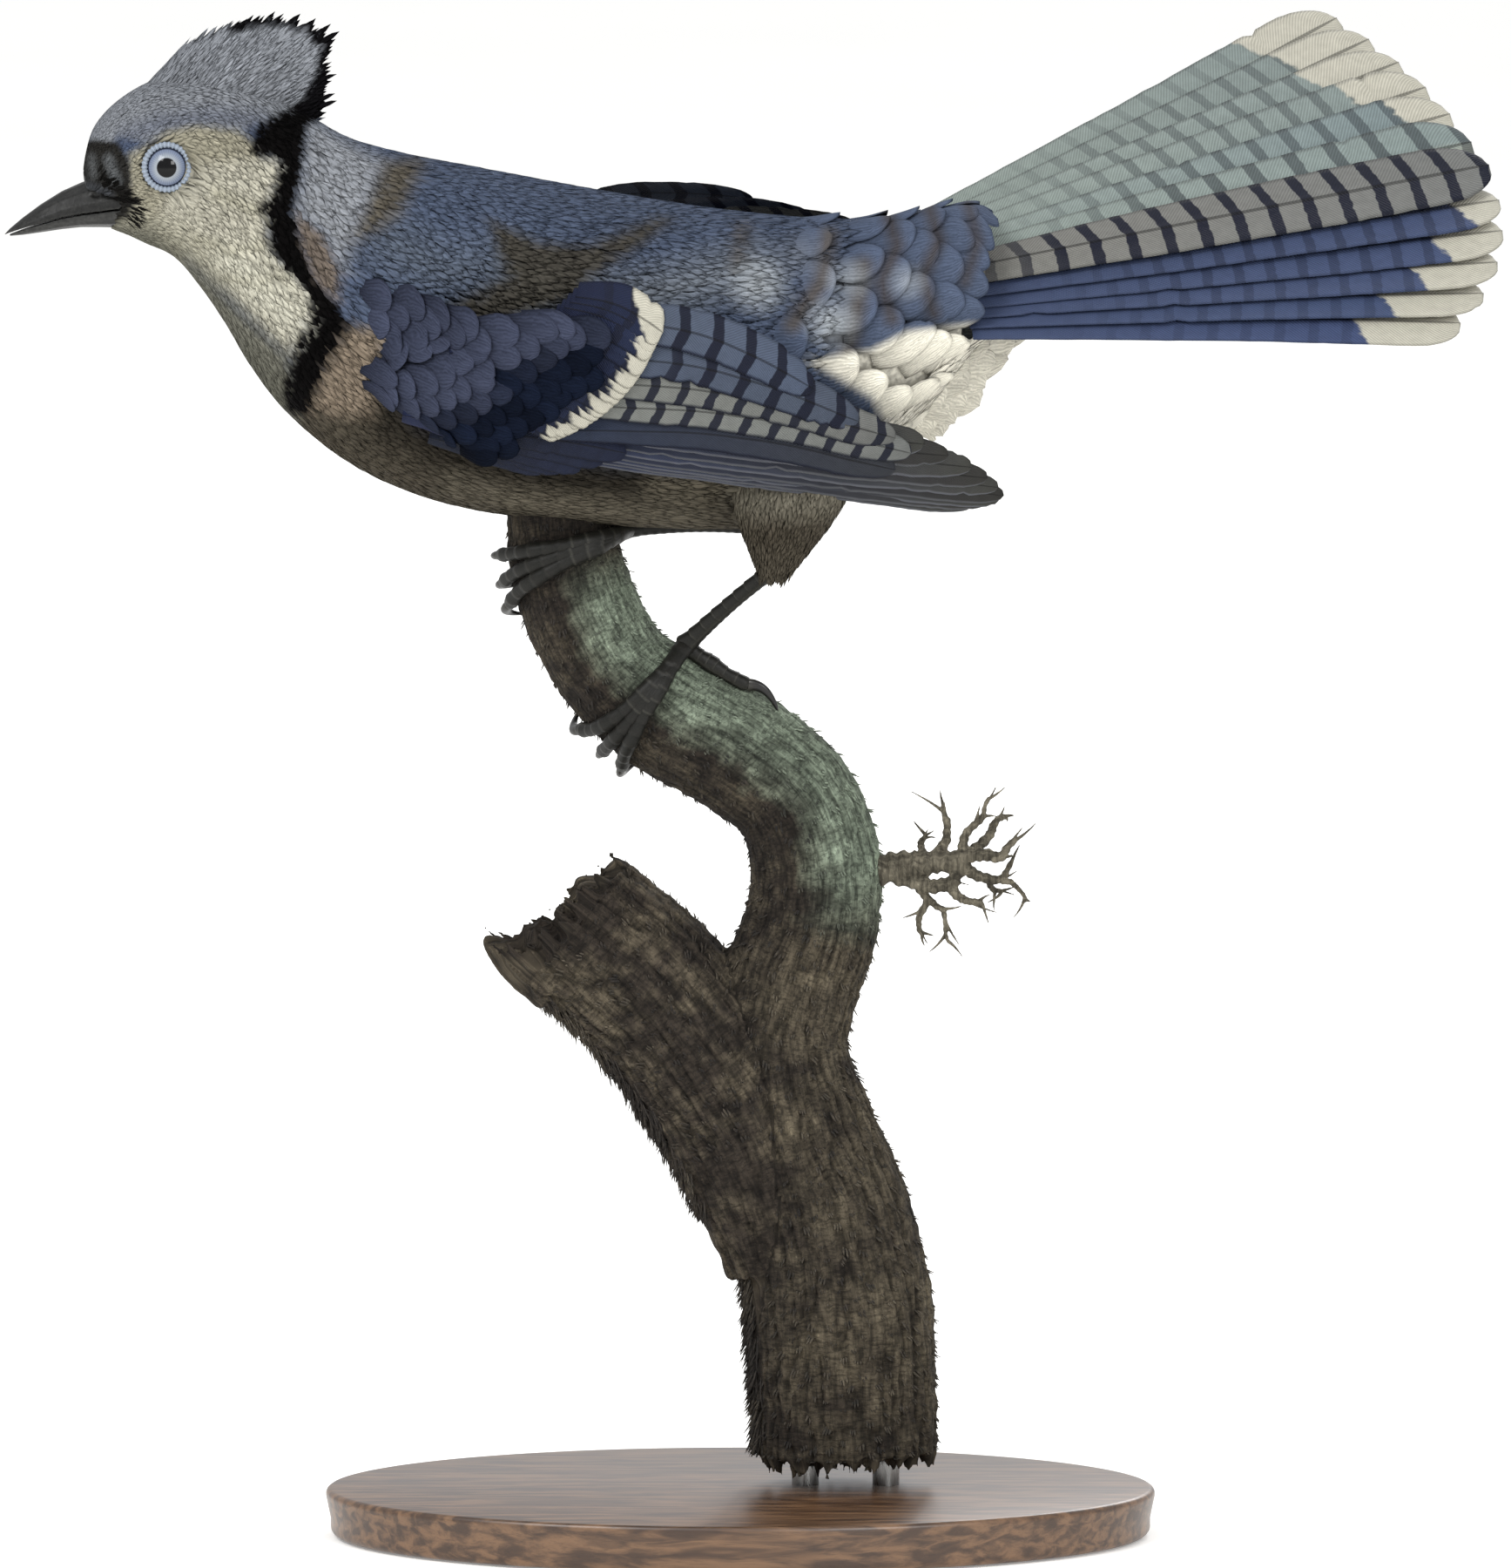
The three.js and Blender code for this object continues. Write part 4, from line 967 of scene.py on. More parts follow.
def scatter(surface: Surface, spacing: float | Callable[[Array], Array], seed: int,
            tries: int, first: Pair | None = None, second: Pair | None = None) -> tuple[Array, Array]:
    """Spread roots evenly over a surface at a spacing of their own.

    Args:
        surface: What they grow on.
        spacing: The least distance to the next root, or what gives it for first surface numbers.
        seed: Which draw to make.
        tries: How many places are tried.
        first: The range of the first surface number, or None for all of it.
        second: The range of the second one, or None for all of it.

    Returns:
        The roots' surface numbers.
    """
    rng = np.random.default_rng(seed)
    s = rng.uniform(*(first or surface.first), tries)
    t = rng.uniform(*(second or surface.second), tries)
    here, long, _, wide, _ = surface.basis(s, t)
    gap = spacing(s) if callable(spacing) else np.full(tries, spacing)
    weight = long * wide / gap ** 2
    keep = rng.uniform(0, np.quantile(weight, 0.98), tries) < weight
    s, t, here, gap = s[keep], t[keep], here[keep], gap[keep]
    tree = KDTree(len(s))
    for i, place in enumerate(here):
        tree.insert(place, i)
    tree.balance()
    free = np.ones(len(s), bool)
    roots = []
    for i in range(len(s)):
        if free[i]:
            roots.append(i)
            for _, other, _ in tree.find_range(here[i], gap[i]):
                free[other] = False
    return s[roots], t[roots]


@dataclass(frozen=True)
class Fan:
    """How a small feather is built: a fan of tapered locks of barbs that overlap."""

    locks: int = 5
    spread: float = 36.0
    root: float = 0.28
    width_share: float = 1.25
    thick: float = 0.045
    ragged: float = 0.03
    cup: float = 0.12
    sunk: float = 0.12
    shadow: float = 0.12
    loose: float = 1.0
    rounding: float = 0.2
    rows: tuple[float, ...] = (0.0, 0.5, 0.82)
    shares: tuple[float, ...] = (0.9, 1.0, 0.66)


@dataclass
class Roots:
    """The feathers of one coat: where they grow, their sizes in millimetres and their tints."""

    s: Array
    t: Array
    length: Array
    width: Array | float
    depth: Array | float
    tint: Array
    turn: Array
    stand: Array | float = 0.0

    def __post_init__(self) -> None:
        """Give each feather its own where one number is given for all."""
        for name in ("width", "depth", "stand"):
            setattr(self, name, np.broadcast_to(getattr(self, name), self.s.shape))

    def pick(self, mask: Array) -> "Roots":
        """Keep only some of the feathers."""
        return Roots(**{name: value[mask] for name, value in vars(self).items()})


def grow(surface: Surface, roots: Roots, fan: Fan, seed: int, pattern: Pattern | None = None) -> Bundle:
    """Grow fans of locks on a surface.

    Args:
        surface: What they grow on.
        roots: Where they grow and how large they are.
        fan: How each is built.
        seed: Which draw to make.
        pattern: Reads colours at places, which the roots' tints multiply, or None.

    Returns:
        The feathers as one mesh.
    """
    rng = np.random.default_rng(seed)
    count, locks = len(roots.s), fan.locks
    _, long, slide, wide, side = surface.basis(roots.s, roots.t)
    part = np.linspace(-1, 1, locks)[None, :] if locks > 1 else np.zeros((1, 1))
    part = part + rng.normal(0, 0.09 * fan.loose, (count, locks))
    angle = np.radians(fan.spread / 2) * part + rng.normal(0, 0.05 * fan.loose, (count, locks))
    length = 1 - fan.rounding * part ** 2 + rng.normal(0, 0.07 * fan.loose, (count, locks))
    length = roots.length[:, None] * length
    half = roots.width[:, None] * fan.width_share / (locks + 1) * rng.uniform(0.85, 1.15, (count, locks))
    ragged = rng.normal(0, fan.ragged, (count, locks)) * roots.depth[:, None] + roots.stand[:, None]

    t_row = np.array([*fan.rows, *fan.rows, *fan.rows, 1.0])
    offset = np.array([-s for s in fan.shares] + [0.0] * 3 + list(fan.shares) + [0.0])
    top = np.array([0.0] * 3 + [0.7, 1.0, 0.8] + [0.0] * 3 + [0.0])
    shape = (count, locks, len(t_row))
    reach = length[:, :, None] * t_row
    start = (fan.root * roots.width[:, None] * part)[:, :, None]
    a = reach * np.cos(angle)[:, :, None]
    b = start * (1 - 0.3 * t_row) + reach * np.sin(angle)[:, :, None] * (1 - 0.3 * t_row)
    lane = half[:, :, None] * offset
    a = a - lane * np.sin(angle)[:, :, None]
    b = b + lane
    turn = roots.turn[:, None, None]
    a, b = a * np.cos(turn) - b * np.sin(turn), a * np.sin(turn) + b * np.cos(turn)
    deep = roots.depth[:, None, None]
    lift = -deep * (1 - t_row ** 0.5) - fan.sunk * (1 - t_row)
    lift = lift + fan.thick * top + ragged[:, :, None] * t_row ** 2
    lift = lift - fan.cup * deep * (part ** 2)[:, :, None] * t_row
    dt = b / wide[:, None, None]
    ds = (a - dt * slide[:, None, None]) / long[:, None, None]
    s = np.broadcast_to(roots.s[:, None, None], shape) + ds
    t = np.broadcast_to(roots.t[:, None, None], shape) + dt
    verts = surface.place(s.ravel(), t.ravel(), lift.ravel())

    # A lock has its left edge, its ridge and its right edge, three rows each, and its tip
    faces = []
    for row in range(2):
        for one, two in ((row, row + 3), (row + 3, row + 6), (row + 6, row)):
            faces += [(one, one + 1, two + 1), (one, two + 1, two)]
    faces += [(2, 9, 5), (5, 9, 8), (8, 9, 2), (0, 3, 6)]
    starts = np.arange(count * locks) * len(t_row)
    tris = (starts[:, None, None] + np.array(faces)).reshape(-1, 3)
    flip = np.repeat(side < 0, locks * len(faces))
    tris[flip] = tris[flip][:, ::-1]
    smooth = np.tile(np.array([1, 1, 1, 1, 0, 0] * 2 + [1, 1, 0, 0], bool), count * locks)

    row_light = (1 - fan.shadow) + fan.shadow * t_row
    lock_light = rng.normal(1.0, 0.05, (count, locks, 1)) * row_light
    tint = roots.tint[:, None, None, :] * lock_light[..., None]
    if pattern is not None:
        ridge = verts.reshape(*shape, 3)[:, :, [3, 4, 5, 9]]
        read = pattern(ridge.reshape(-1, 3)).reshape(count, locks, 4, 3)
        tint = tint * read[:, :, [0, 1, 2, 0, 1, 2, 0, 1, 2, 3]]
    tint = np.clip(np.broadcast_to(tint, (*shape, 3)), 0, 1)
    low, high = surface.first, surface.second
    middle = np.stack([(roots.t - high[0]) / (high[1] - high[0]), (roots.s - low[0]) / (low[1] - low[0])], 1)
    middle = 0.01 + 0.98 * np.clip(middle, 0, 1)
    spot = np.stack([part[:, :, None] * 0.8 + offset * 0.2, np.broadcast_to(2 * t_row - 1, shape)], -1)
    patch = middle[:, None, None, :] + 0.0015 * np.clip(spot, -1, 1)
    vane = np.stack([np.broadcast_to(lane + start, shape), reach], -1)
    plain = np.broadcast_to(np.array([0.0, 1.0, 0.0, 999.0]), (*shape, 4))
    return Bundle(
        verts=verts, tris=tris, smooth=smooth, tint=tint.reshape(-1, 3), vane=vane.reshape(-1, 2),
        patch=patch.reshape(-1, 2), bars=plain.reshape(-1, 4),
    )


# Markings

def view_places(places: Array) -> Array:
    """Flatten places onto the side view as the camera sees them: along the bird and up, in millimetres."""
    cos, sin = math.cos(VIEW_PITCH), math.sin(VIEW_PITCH)
    flat = np.stack([places[:, 0], places[:, 2] * cos + places[:, 1] * sin], 1) - VIEW_AIM
    near = (places[:, 2] - VIEW_AIM[1]) * sin - places[:, 1] * cos
    return VIEW_AIM + flat * (VIEW_DISTANCE / (VIEW_DISTANCE - near))[:, None]


@dataclass(frozen=True)
class Mark:
    """One marking on the side view: a closed outline, or a line of some half width."""

    tint: str
    outline: tuple[Pair, ...]
    half: float = 0.0
    soft: float = 1.0
    strength: float = 1.0

    def reaches(self, view: Array) -> Array:
        """Pick the places that lie near enough to be marked."""
        points, margin = np.array(self.outline), self.half + self.soft
        inside = (view > points.min(0) - margin) & (view < points.max(0) + margin)
        return np.nonzero(inside.all(1))[0]

    def share(self, view: Array) -> Array:
        """Say how much of the marking shows at some places.

        Args:
            view: Places on the side view.

        Returns:
            From 0 outside it to its strength inside it.
        """
        points = np.array(self.outline)
        start = points if not self.half else points[:-1]
        end = np.roll(points, -1, axis=0) if not self.half else points[1:]
        if self.half and len(points) == 1:
            start = end = points
        run = end - start
        square = np.maximum((run ** 2).sum(1), 1e-9)
        away = view[:, None, :] - start[None]
        at = np.clip((away * run).sum(2) / square, 0, 1)
        near = np.linalg.norm(away - at[..., None] * run, axis=2).min(1)
        if self.half:
            depth = self.half - near
        else:
            up = (start[:, 1] > view[:, 1:2]) != (end[:, 1] > view[:, 1:2])
            rise = np.where(np.abs(run[:, 1]) < 1e-9, 1e-9, run[:, 1])
            cross = start[:, 0] + (view[:, 1:2] - start[:, 1]) / rise * run[:, 0]
            inside = (up & (view[:, 0:1] < cross)).sum(1) % 2 == 1
            depth = np.where(inside, near, -near)
        return np.clip(0.5 + depth / (2 * self.soft), 0, 1) * self.strength


@dataclass(frozen=True)
class Markings:
    """The bird's pattern on the side view, with some painted shade and painted highlights among its marks,
    laid one over another, and read alike for skin and coat.
    """

    ground: str = "444d5f"
    marks: tuple[Mark, ...] = (
        # Neck, back and rump
        Mark("7d8085", ((-81, 271), (-75, 267), (-68, 263), (-74, 248), (-76, 242), (-80, 249),
             (-85, 253), (-84, 261), (-83, 270)), soft=2.0),
        Mark("525963", ((-66, 247), (-56, 242), (-44, 243)), half=4.5, soft=4.0, strength=0.6),
        Mark("72777c", ((-38, 238), (-26, 236), (-12, 239), (2, 243)), half=4.0, soft=4.0, strength=0.65),
        Mark("50493a", ((-68, 263), (-60, 264), (-65, 253), (-69, 250), (-74, 248)),
             soft=1.6, strength=0.85),
        Mark("3b372e", ((-48, 252), (-38, 247.5), (-29, 247), (-16, 252.5), (-13, 252), (-19, 247),
             (-28, 241), (-31, 237), (-42, 233.5), (-50, 232), (-46, 226), (-51, 226), (-57, 230),
             (-60, 232), (-55, 236), (-45, 241), (-47, 248)), soft=1.4, strength=0.92),
        # Dark bands where each row of rump feathers lies under the tips of the row before: painted shade
        Mark("453f38", ((0.5, 250.5), (-0.5, 243)), half=1.3, soft=1.2, strength=0.75),
        Mark("453f38", ((17, 249), (15.5, 240), (10, 232)), half=1.7, soft=1.3, strength=0.8),
        Mark("453f38", ((23.5, 243), (22, 234), (20.5, 227)), half=1.8, soft=1.3, strength=0.8),
        Mark("3a3533", ((28, 254), (30, 247), (27, 240), (29, 233)), half=1.4, soft=1.1, strength=0.8),
        Mark("3a3533", ((36, 255), (38, 248), (35, 241), (37, 234)), half=1.3, soft=1.1, strength=0.8),
        Mark("3a3533", ((43.5, 255), (45.5, 248), (43, 240)), half=1.1, soft=1.0, strength=0.75),
        # Pale spots on the rump's lobes: painted highlights
        Mark("94999d", ((3.5, 239.5),), half=4.2, soft=2.6, strength=0.8),
        Mark("94999d", ((17.5, 232),), half=3.6, soft=2.4, strength=0.85),
        Mark("83888d", ((20.5, 240.5),), half=2.8, soft=2.2, strength=0.75),
        Mark("83888d", ((32, 240),), half=2.4, soft=2.0, strength=0.6),
        Mark("62666d", ((11, 245),), half=3.2, soft=2.6, strength=0.6),
        # Underparts
        Mark("443f36", ((-75, 231), (-67, 231), (-70, 221), (-62, 211), (-48, 207), (-25, 203), (25, 201),
             (35, 206), (42, 170), (-110, 170), (-95, 205), (-85, 215), (-81, 221), (-78, 227)),
             soft=1.2),
        Mark("776b5d", ((-78, 227), (-75, 231), (-67, 231), (-69, 222), (-70, 214), (-82, 215)),
             soft=1.6),
        # The darkest band along the lower belly: painted shade on the side turned from the light
        Mark("26231e", ((-66, 213), (-50, 206.5), (-25, 202.5), (-6, 201)),
             half=4.8, soft=3.0, strength=0.9),
        Mark("6b6558", ((-55, 201), (-38, 197.5), (-18, 195.5), (2, 195)),
             half=2.0, soft=2.5, strength=0.55),
        Mark("787162", ((-16, 201), (0, 200.5)), half=2.0, soft=2.2, strength=0.5),
        Mark("3a352d", ((-2, 197), (6, 193)), half=4.0, soft=2.6, strength=0.6),
        Mark("cecabc", ((13, 225), (25, 227), (32, 230.5), (44, 232), (90, 231), (80, 190), (35, 200),
             (25, 218)), soft=0.9),
        Mark("726e62", ((1, 199), (9, 198), (17, 198.5)), half=2.6, soft=3.0, strength=0.8),
        # Head
        Mark("75787d", ((-124, 262), (-119, 268), (-113, 266.5), (-110, 269), (-104, 270), (-96, 268.5),
             (-91, 271), (-81.5, 271.5), (-70, 300), (-130, 300)), soft=0.8),
        Mark("394055", ((-117, 268), (-111, 270.5), (-101, 271.8), (-92, 271)),
             half=1.5, soft=2.0, strength=0.5),
        Mark("888474", ((-117, 263), (-117, 264.5), (-113, 266.5), (-110, 268.8), (-104, 270),
             (-96, 268.8), (-92, 266), (-92, 262), (-104, 256), (-108, 238), (-128, 238), (-128, 252),
             (-117, 258)), soft=0.9),
        Mark("9e9b8d", ((-106, 259.5), (-103, 262.5), (-96, 263.5), (-88, 264), (-88, 260), (-90, 255),
             (-91, 254), (-90, 246), (-87, 243), (-82, 238), (-82, 233), (-85, 228), (-86.5, 226),
             (-94, 234), (-101, 241), (-108, 248), (-112, 251), (-110, 256)), soft=1.3),
        Mark("949181", ((-116, 252), (-108, 248), (-100, 241.5)), half=2.6, soft=2.0, strength=0.75),
        Mark("b2b0a1", ((-97, 244), (-92, 239), (-87, 234)), half=3.4, soft=3.0, strength=0.9),
        Mark("908d7a", ((-100, 257), (-95, 254.5), (-90, 253)), half=0.9, soft=1.2, strength=0.6),
        Mark("908d7a", ((-104, 248), (-97, 246), (-90, 247)), half=0.8, soft=1.2, strength=0.55),
        Mark("908d7a", ((-98, 240.5), (-91, 240), (-86, 241.5)), half=0.8, soft=1.2, strength=0.5),
        # Grey over the lower throat, darker toward its front edge: painted shade
        Mark("636258", ((-120, 252.5), (-112, 250.5), (-108, 247), (-101, 240.5), (-94, 233.5),
             (-86, 226), (-84, 219), (-85, 213), (-102, 205), (-126, 240)), soft=2.2, strength=0.96),
        Mark("48483f", ((-97, 226), (-90, 217.5)), half=3.0, soft=2.5, strength=0.6),
        Mark("070606", ((-93, 268.3), (-92, 270.5), (-88, 272.5), (-84, 274.5), (-80.5, 275),
             (-81.2, 271), (-83, 269.5), (-84, 261), (-85.7, 253), (-84, 247), (-81.2, 240),
             (-76.8, 235.3), (-74.8, 231), (-77.5, 227), (-80.7, 220.7), (-82.5, 214.5), (-86.5, 214.5),
             (-87.7, 219), (-85.2, 227.7), (-82, 233), (-82.5, 237.8), (-87, 243), (-89.8, 246),
             (-90.2, 253), (-93, 253.8), (-89.8, 256), (-88.7, 259.5), (-88, 264), (-94, 264.3)),
             soft=0.4),
        Mark("60574f", ((-85, 253), (-80, 249), (-77, 242.5), (-77, 236), (-81.2, 240), (-84, 247)),
             soft=0.8),
        Mark("22211f", ((-132, 252), (-132, 266), (-123.5, 267.3), (-119, 266.8), (-116.8, 263),
             (-116.5, 258), (-115.7, 255.3), (-117, 252.3), (-121, 250.8)), soft=0.5),
        Mark("585a5b", ((-124.2, 263.8), (-123.8, 260.6)), half=0.6, soft=0.9, strength=0.75),
        Mark("606365", ((-121, 263.5), (-119.4, 259.3)), half=0.8, soft=0.9, strength=0.75),
        Mark("484b50", ((-125, 258.2), (-121, 257)), half=0.8, soft=0.9, strength=0.7),
        Mark("0b0a0c", ((-97.8, 287.4), (-92.6, 289.0), (-86.9, 289.4), (-82.4, 287.2), (-80.4, 284.9),
             (-80.9, 280.9), (-83.2, 276.3), (-85.2, 272.9), (-81.2, 271.0), (-76, 273), (-72, 280),
             (-72, 300), (-98.5, 300)), soft=0.35),
    )

    def tint(self, places: Array) -> Array:
        """Read the pattern at some places, as colours in linear light."""
        view = view_places(places)
        tint = np.broadcast_to(linear(self.ground), (len(view), 3)).copy()
        for mark in self.marks:
            near = mark.reaches(view)
            share = mark.share(view[near])[:, None]
            tint[near] = tint[near] * (1 - share) + linear(mark.tint) * share
        return tint


# Body

@dataclass
class Plumage:
    """The body's skin and its coat of small feathers."""

    form: BodyForm
    markings: Markings
    # Along the sections: feather length on the back and on the belly, width share, spacing and coat depth
    stations: tuple[float, ...] = (0.0, 1.0, 2.5, 4.0, 5.5, 7.0, 9.0, 12.0, 14.0, 17.0)
    back_length: tuple[float, ...] = (2.1, 3.6, 5.0, 6.2, 7.8, 9.0, 10.0, 11.0, 11.5, 11.0)
    belly_length: tuple[float, ...] = (2.1, 3.6, 5.2, 6.6, 8.2, 9.0, 9.5, 10.0, 10.5, 9.0)
    spacing: tuple[float, ...] = (0.5, 0.58, 0.74, 0.9, 1.25, 1.6, 1.95, 2.1, 2.2, 2.2)
    narrow: tuple[float, ...] = (0.42, 0.36, 0.32, 0.32, 0.36, 0.42, 0.48, 0.52, 0.56, 0.6)
    lying: float = 0.42
    bill_root: Mark = Mark("22211f", ((-128, 249), (-128, 258.6), (-120.5, 256.6), (-117.9, 254.8),
                                      (-121, 249)), soft=0.5)
    bare_depth: float = 3.6
    depth: tuple[float, ...] = (0.35, 0.5, 0.7, 0.9, 1.2, 1.5, 1.6, 1.7, 1.7, 1.3)
    eye_view: Pair = (-108.8, 264.6)
    eye_clear: float = 4.9
    skin_rows: int = 150
    skin_end: float = 15.6
    skin_sides: int = 96
    skin_voxel: float = 1.1
    # The skin wears the markings darkened by this factor: painted shade where it shows between the feathers
    skin_light: float = 0.7
    # The rear of the belly stands out: from where along the bird, and how far
    ruffled_from: float = 8.0
    ruffle: float = 0.35
    bristle_seed: int = 27
    bristle_gap: float = 0.42
    bristle_tint: str = "100f0e"
    mouth_low: float = 256.5
    thigh_seed: int = 31
    thigh_gap: float = 1.25
    # Feather length at the thigh's top, and how much shorter it is at the heel
    thigh_length: Pair = (6.8, 3.0)

    def length(self, s: Array, t: Array) -> Array:
        """Give the feather length at some places, between the back's and the belly's."""
        low = (1 - np.cos(t)) / 2
        back = np.interp(s, self.stations, self.back_length)
        belly = np.interp(s, self.stations, self.belly_length)
        return back * (1 - low) + belly * low

    def gap(self, s: Array) -> Array:
        """Give the least distance between roots."""
        return np.interp(s, self.stations, self.spacing)

    def skin(self, thighs: Sequence[Surface], tufts: Sequence[Surface]) -> None:
        """Make one skin under the coat, with its markings, from the bill's root to the tail and both heels.

        Args:
            thighs: The shapes of the thighs.
            tufts: The shapes of the crest and the undertail, which it fills up to part of their length.
        """
        shapes = [(self.form, (0.0, self.skin_end), self.skin_rows)]
        shapes += [(thigh, (0.0, thigh.first[1]), 24) for thigh in thighs]
        shapes += [(tuft, (-0.3, 0.72), 24) for tuft in tufts]
        tubes = []
        for shape, ends, rows in shapes:
            s = np.repeat(np.linspace(*ends, rows), self.skin_sides)
            t = np.tile(np.linspace(-math.pi, math.pi, self.skin_sides, endpoint=False), rows)
            depth = np.interp(s, self.stations, self.depth) if shape is self.form else np.full(len(s), 1.2)
            depth = depth + self.bare_depth * self.near_bill(shape.place(s, t, -depth))
            tubes.append(tube_mesh(shape.place(s, t, -depth).reshape(rows, self.skin_sides, 3)))
        skin = new_object("skin", *join_meshes(tubes))
        refine(skin, self.skin_voxel, 2)
        places, _ = places_of(skin)
        # Painted shade: the skin is darker than the feathers over it
        colour_points(skin, "Tint", self.markings.tint(places) * self.skin_light)
        finish = Tinted("skin", roughness=0.8, grain=0.8, deep=0.15).material()
        hand_in(skin, finish, Slot.GREY, "head", "neck", "torso", "rump", "thigh_left", "thigh_right")

    def near_bill(self, places: Array) -> Array:
        """Say how far places lie in the bare part round the bill's root, on either side."""
        near = places.copy()
        near[:, 1] = -np.abs(near[:, 1])
        return self.bill_root.share(view_places(near))

    def face_turn(self, here: Array, side: Array) -> Array:
        """Part the small feathers round the eye and let the rest flow in soft swirls.

        Args:
            here: Where the feathers grow.
            side: -1 or 1 for the bird's left or right.

        Returns:
            How far each turns from the run of the body, in radians.
        """
        away = here[:, [0, 2]] - np.array(self.eye_view)
        reach = np.linalg.norm(away, axis=1)
        near = np.clip(1 - (reach - self.eye_clear) / 5.0, 0, 1) * (away[:, 0] < 1.5)
        swirl = smooth_noise(here / 11.0, 3) * 0.2
        return swirl - side * np.sign(away[:, 1]) * near * 0.75

    def coat(self, soft: bpy.types.Material) -> None:
        """Grow the coat over the whole body in pieces by region, left and right.

        Args:
            soft: The material of small feathers.
        """
        around = ((-math.pi, 0.0), (0.0, math.pi))
        regions = (
            ("coat_face", (0.12, 3.0), 3, 90000, 11, Slot.GREY, around),
            ("coat_nape", (3.0, 5.6), 3, 90000, 13, Slot.GREY, around),
            ("coat_neck", (5.6, 8.0), 4, 60000, 17, Slot.BLUE, around),
            ("coat_torso", (8.0, 12.0), 5, 60000, 19, Slot.BROWN, around),
            ("coat_vent", (12.0, 15.8), 5, 30000, 23, Slot.WHITE, ((-math.pi, -1.9), (1.9, math.pi))),
        )
        for name, first, locks, tries, seed, slot, halves in regions:
            for i, (side, second) in enumerate(zip(Side, halves)):
                bundle = self.region(first, second, locks, tries, seed + i)
                hand_in(bundle.to_object(f"{name}_{side.word}"), soft, slot)

    def region(self, first: Pair, second: Pair, locks: int, tries: int, seed: int) -> Bundle:
        """Grow one region of the coat.

        Args:
            first: Its range of sections.
            second: Its range round the body.
            locks: How many locks a feather has.
            tries: How many places are tried.
            seed: Which draw to make.

        Returns:
            The region's feathers.
        """
        rng = np.random.default_rng(seed)
        s, t = scatter(self.form, self.gap, seed, tries, first, second)
        here, *_ = self.form.basis(s, t)
        side = np.sign(np.sin(t))
        length = self.length(s, t) * rng.uniform(0.85, 1.15, len(s))
        turn = self.face_turn(here, side) + rng.normal(0, 0.04, len(s))
        tip = here[:, [0, 2]] + np.stack([np.cos(turn), np.zeros(len(s))], 1) * (length * 0.7)[:, None]
        clear = np.array([np.linalg.norm(place - self.eye_view, axis=1) for place in (here[:, [0, 2]], tip)])
        sideways = np.abs(np.sin(t)) > 0.5
        keep = ~(sideways & (clear.min(0) < self.eye_clear)) & (self.near_bill(here) < 0.5)
        underside = (1 - np.cos(t)) / 2
        ruffled = np.where(here[:, 0] > self.ruffled_from, self.ruffle, 0.0)
        stand = ruffled * underside * rng.uniform(0, 1.6, len(s))
        roots = Roots(
            s=s, t=t, length=length, width=length * np.interp(s, self.stations, self.narrow) + 0.4,
            depth=self.lying * np.interp(s, self.stations, self.depth),
            tint=rng.normal(1.0, 0.055, (len(s), 1)), turn=turn, stand=stand,
        )
        return grow(self.form, roots.pick(keep), Fan(locks=locks), seed, self.markings.tint)

    def bristles(self, soft: bpy.types.Material) -> None:
        """Set stiff dark bristles round the corners of the mouth and over the bill's root.

        Args:
            soft: The material of small feathers.
        """
        seed = self.bristle_seed
        s, t = scatter(self.form, self.bristle_gap, seed, 40000, (0.4, 2.4), (0.9, 2.3))
        line = Mark("", ((-124.5, 258.8), (-120.5, 257.0), (-117.6, 254.8), (-117.9, 252.6)), 0.7, 0.1)
        here, *_ = self.form.basis(s, -t)
        keep = line.share(view_places(here)) > 0.5
        s, t, low = s[keep], t[keep], here[keep, 2] < self.mouth_low
        parts = []
        for side in Side:
            rng = np.random.default_rng(seed + side.value)
            length = rng.uniform(2.6, 4.6, len(s))
            turn = np.where(low, rng.uniform(-0.1, 0.9, len(s)), rng.uniform(-0.2, 0.25, len(s)))
            tint = linear(self.bristle_tint) * rng.uniform(0.6, 1.8, (len(s), 1))
            roots = Roots(s, side.value * t, length, 0.55, 0.3, tint, side.value * turn,
                          rng.uniform(0.1, 0.5, len(s)))
            parts.append(grow(self.form, roots, Fan(locks=1, spread=0, width_share=0.8), seed))
        hand_in(Bundle.join(parts).to_object("face_bristles"), soft, Slot.GREY)

    def thigh_coat(self, thighs: dict[Side, ThighForm], soft: bpy.types.Material) -> None:
        """Grow the short trousers of feathers on both thighs."""
        for side, thigh in thighs.items():
            seed = self.thigh_seed + side.value
            rng = np.random.default_rng(seed)
            s, t = scatter(thigh, self.thigh_gap, seed, 16000)
            longest, less = self.thigh_length
            length = (longest - less * s / thigh.first[1]) * rng.uniform(0.8, 1.15, len(s))
            roots = Roots(s, t, length, length * 0.45 + 0.4, 0.7, rng.normal(1, 0.08, (len(s), 1)),
                          rng.normal(0, 0.12, len(s)), rng.uniform(0, 0.3, len(s)))
            bundle = grow(thigh, roots, Fan(locks=4), seed, self.markings.tint)
            hand_in(bundle.to_object(f"coat_thigh_{side.word}"), soft, Slot.BROWN)


# Face

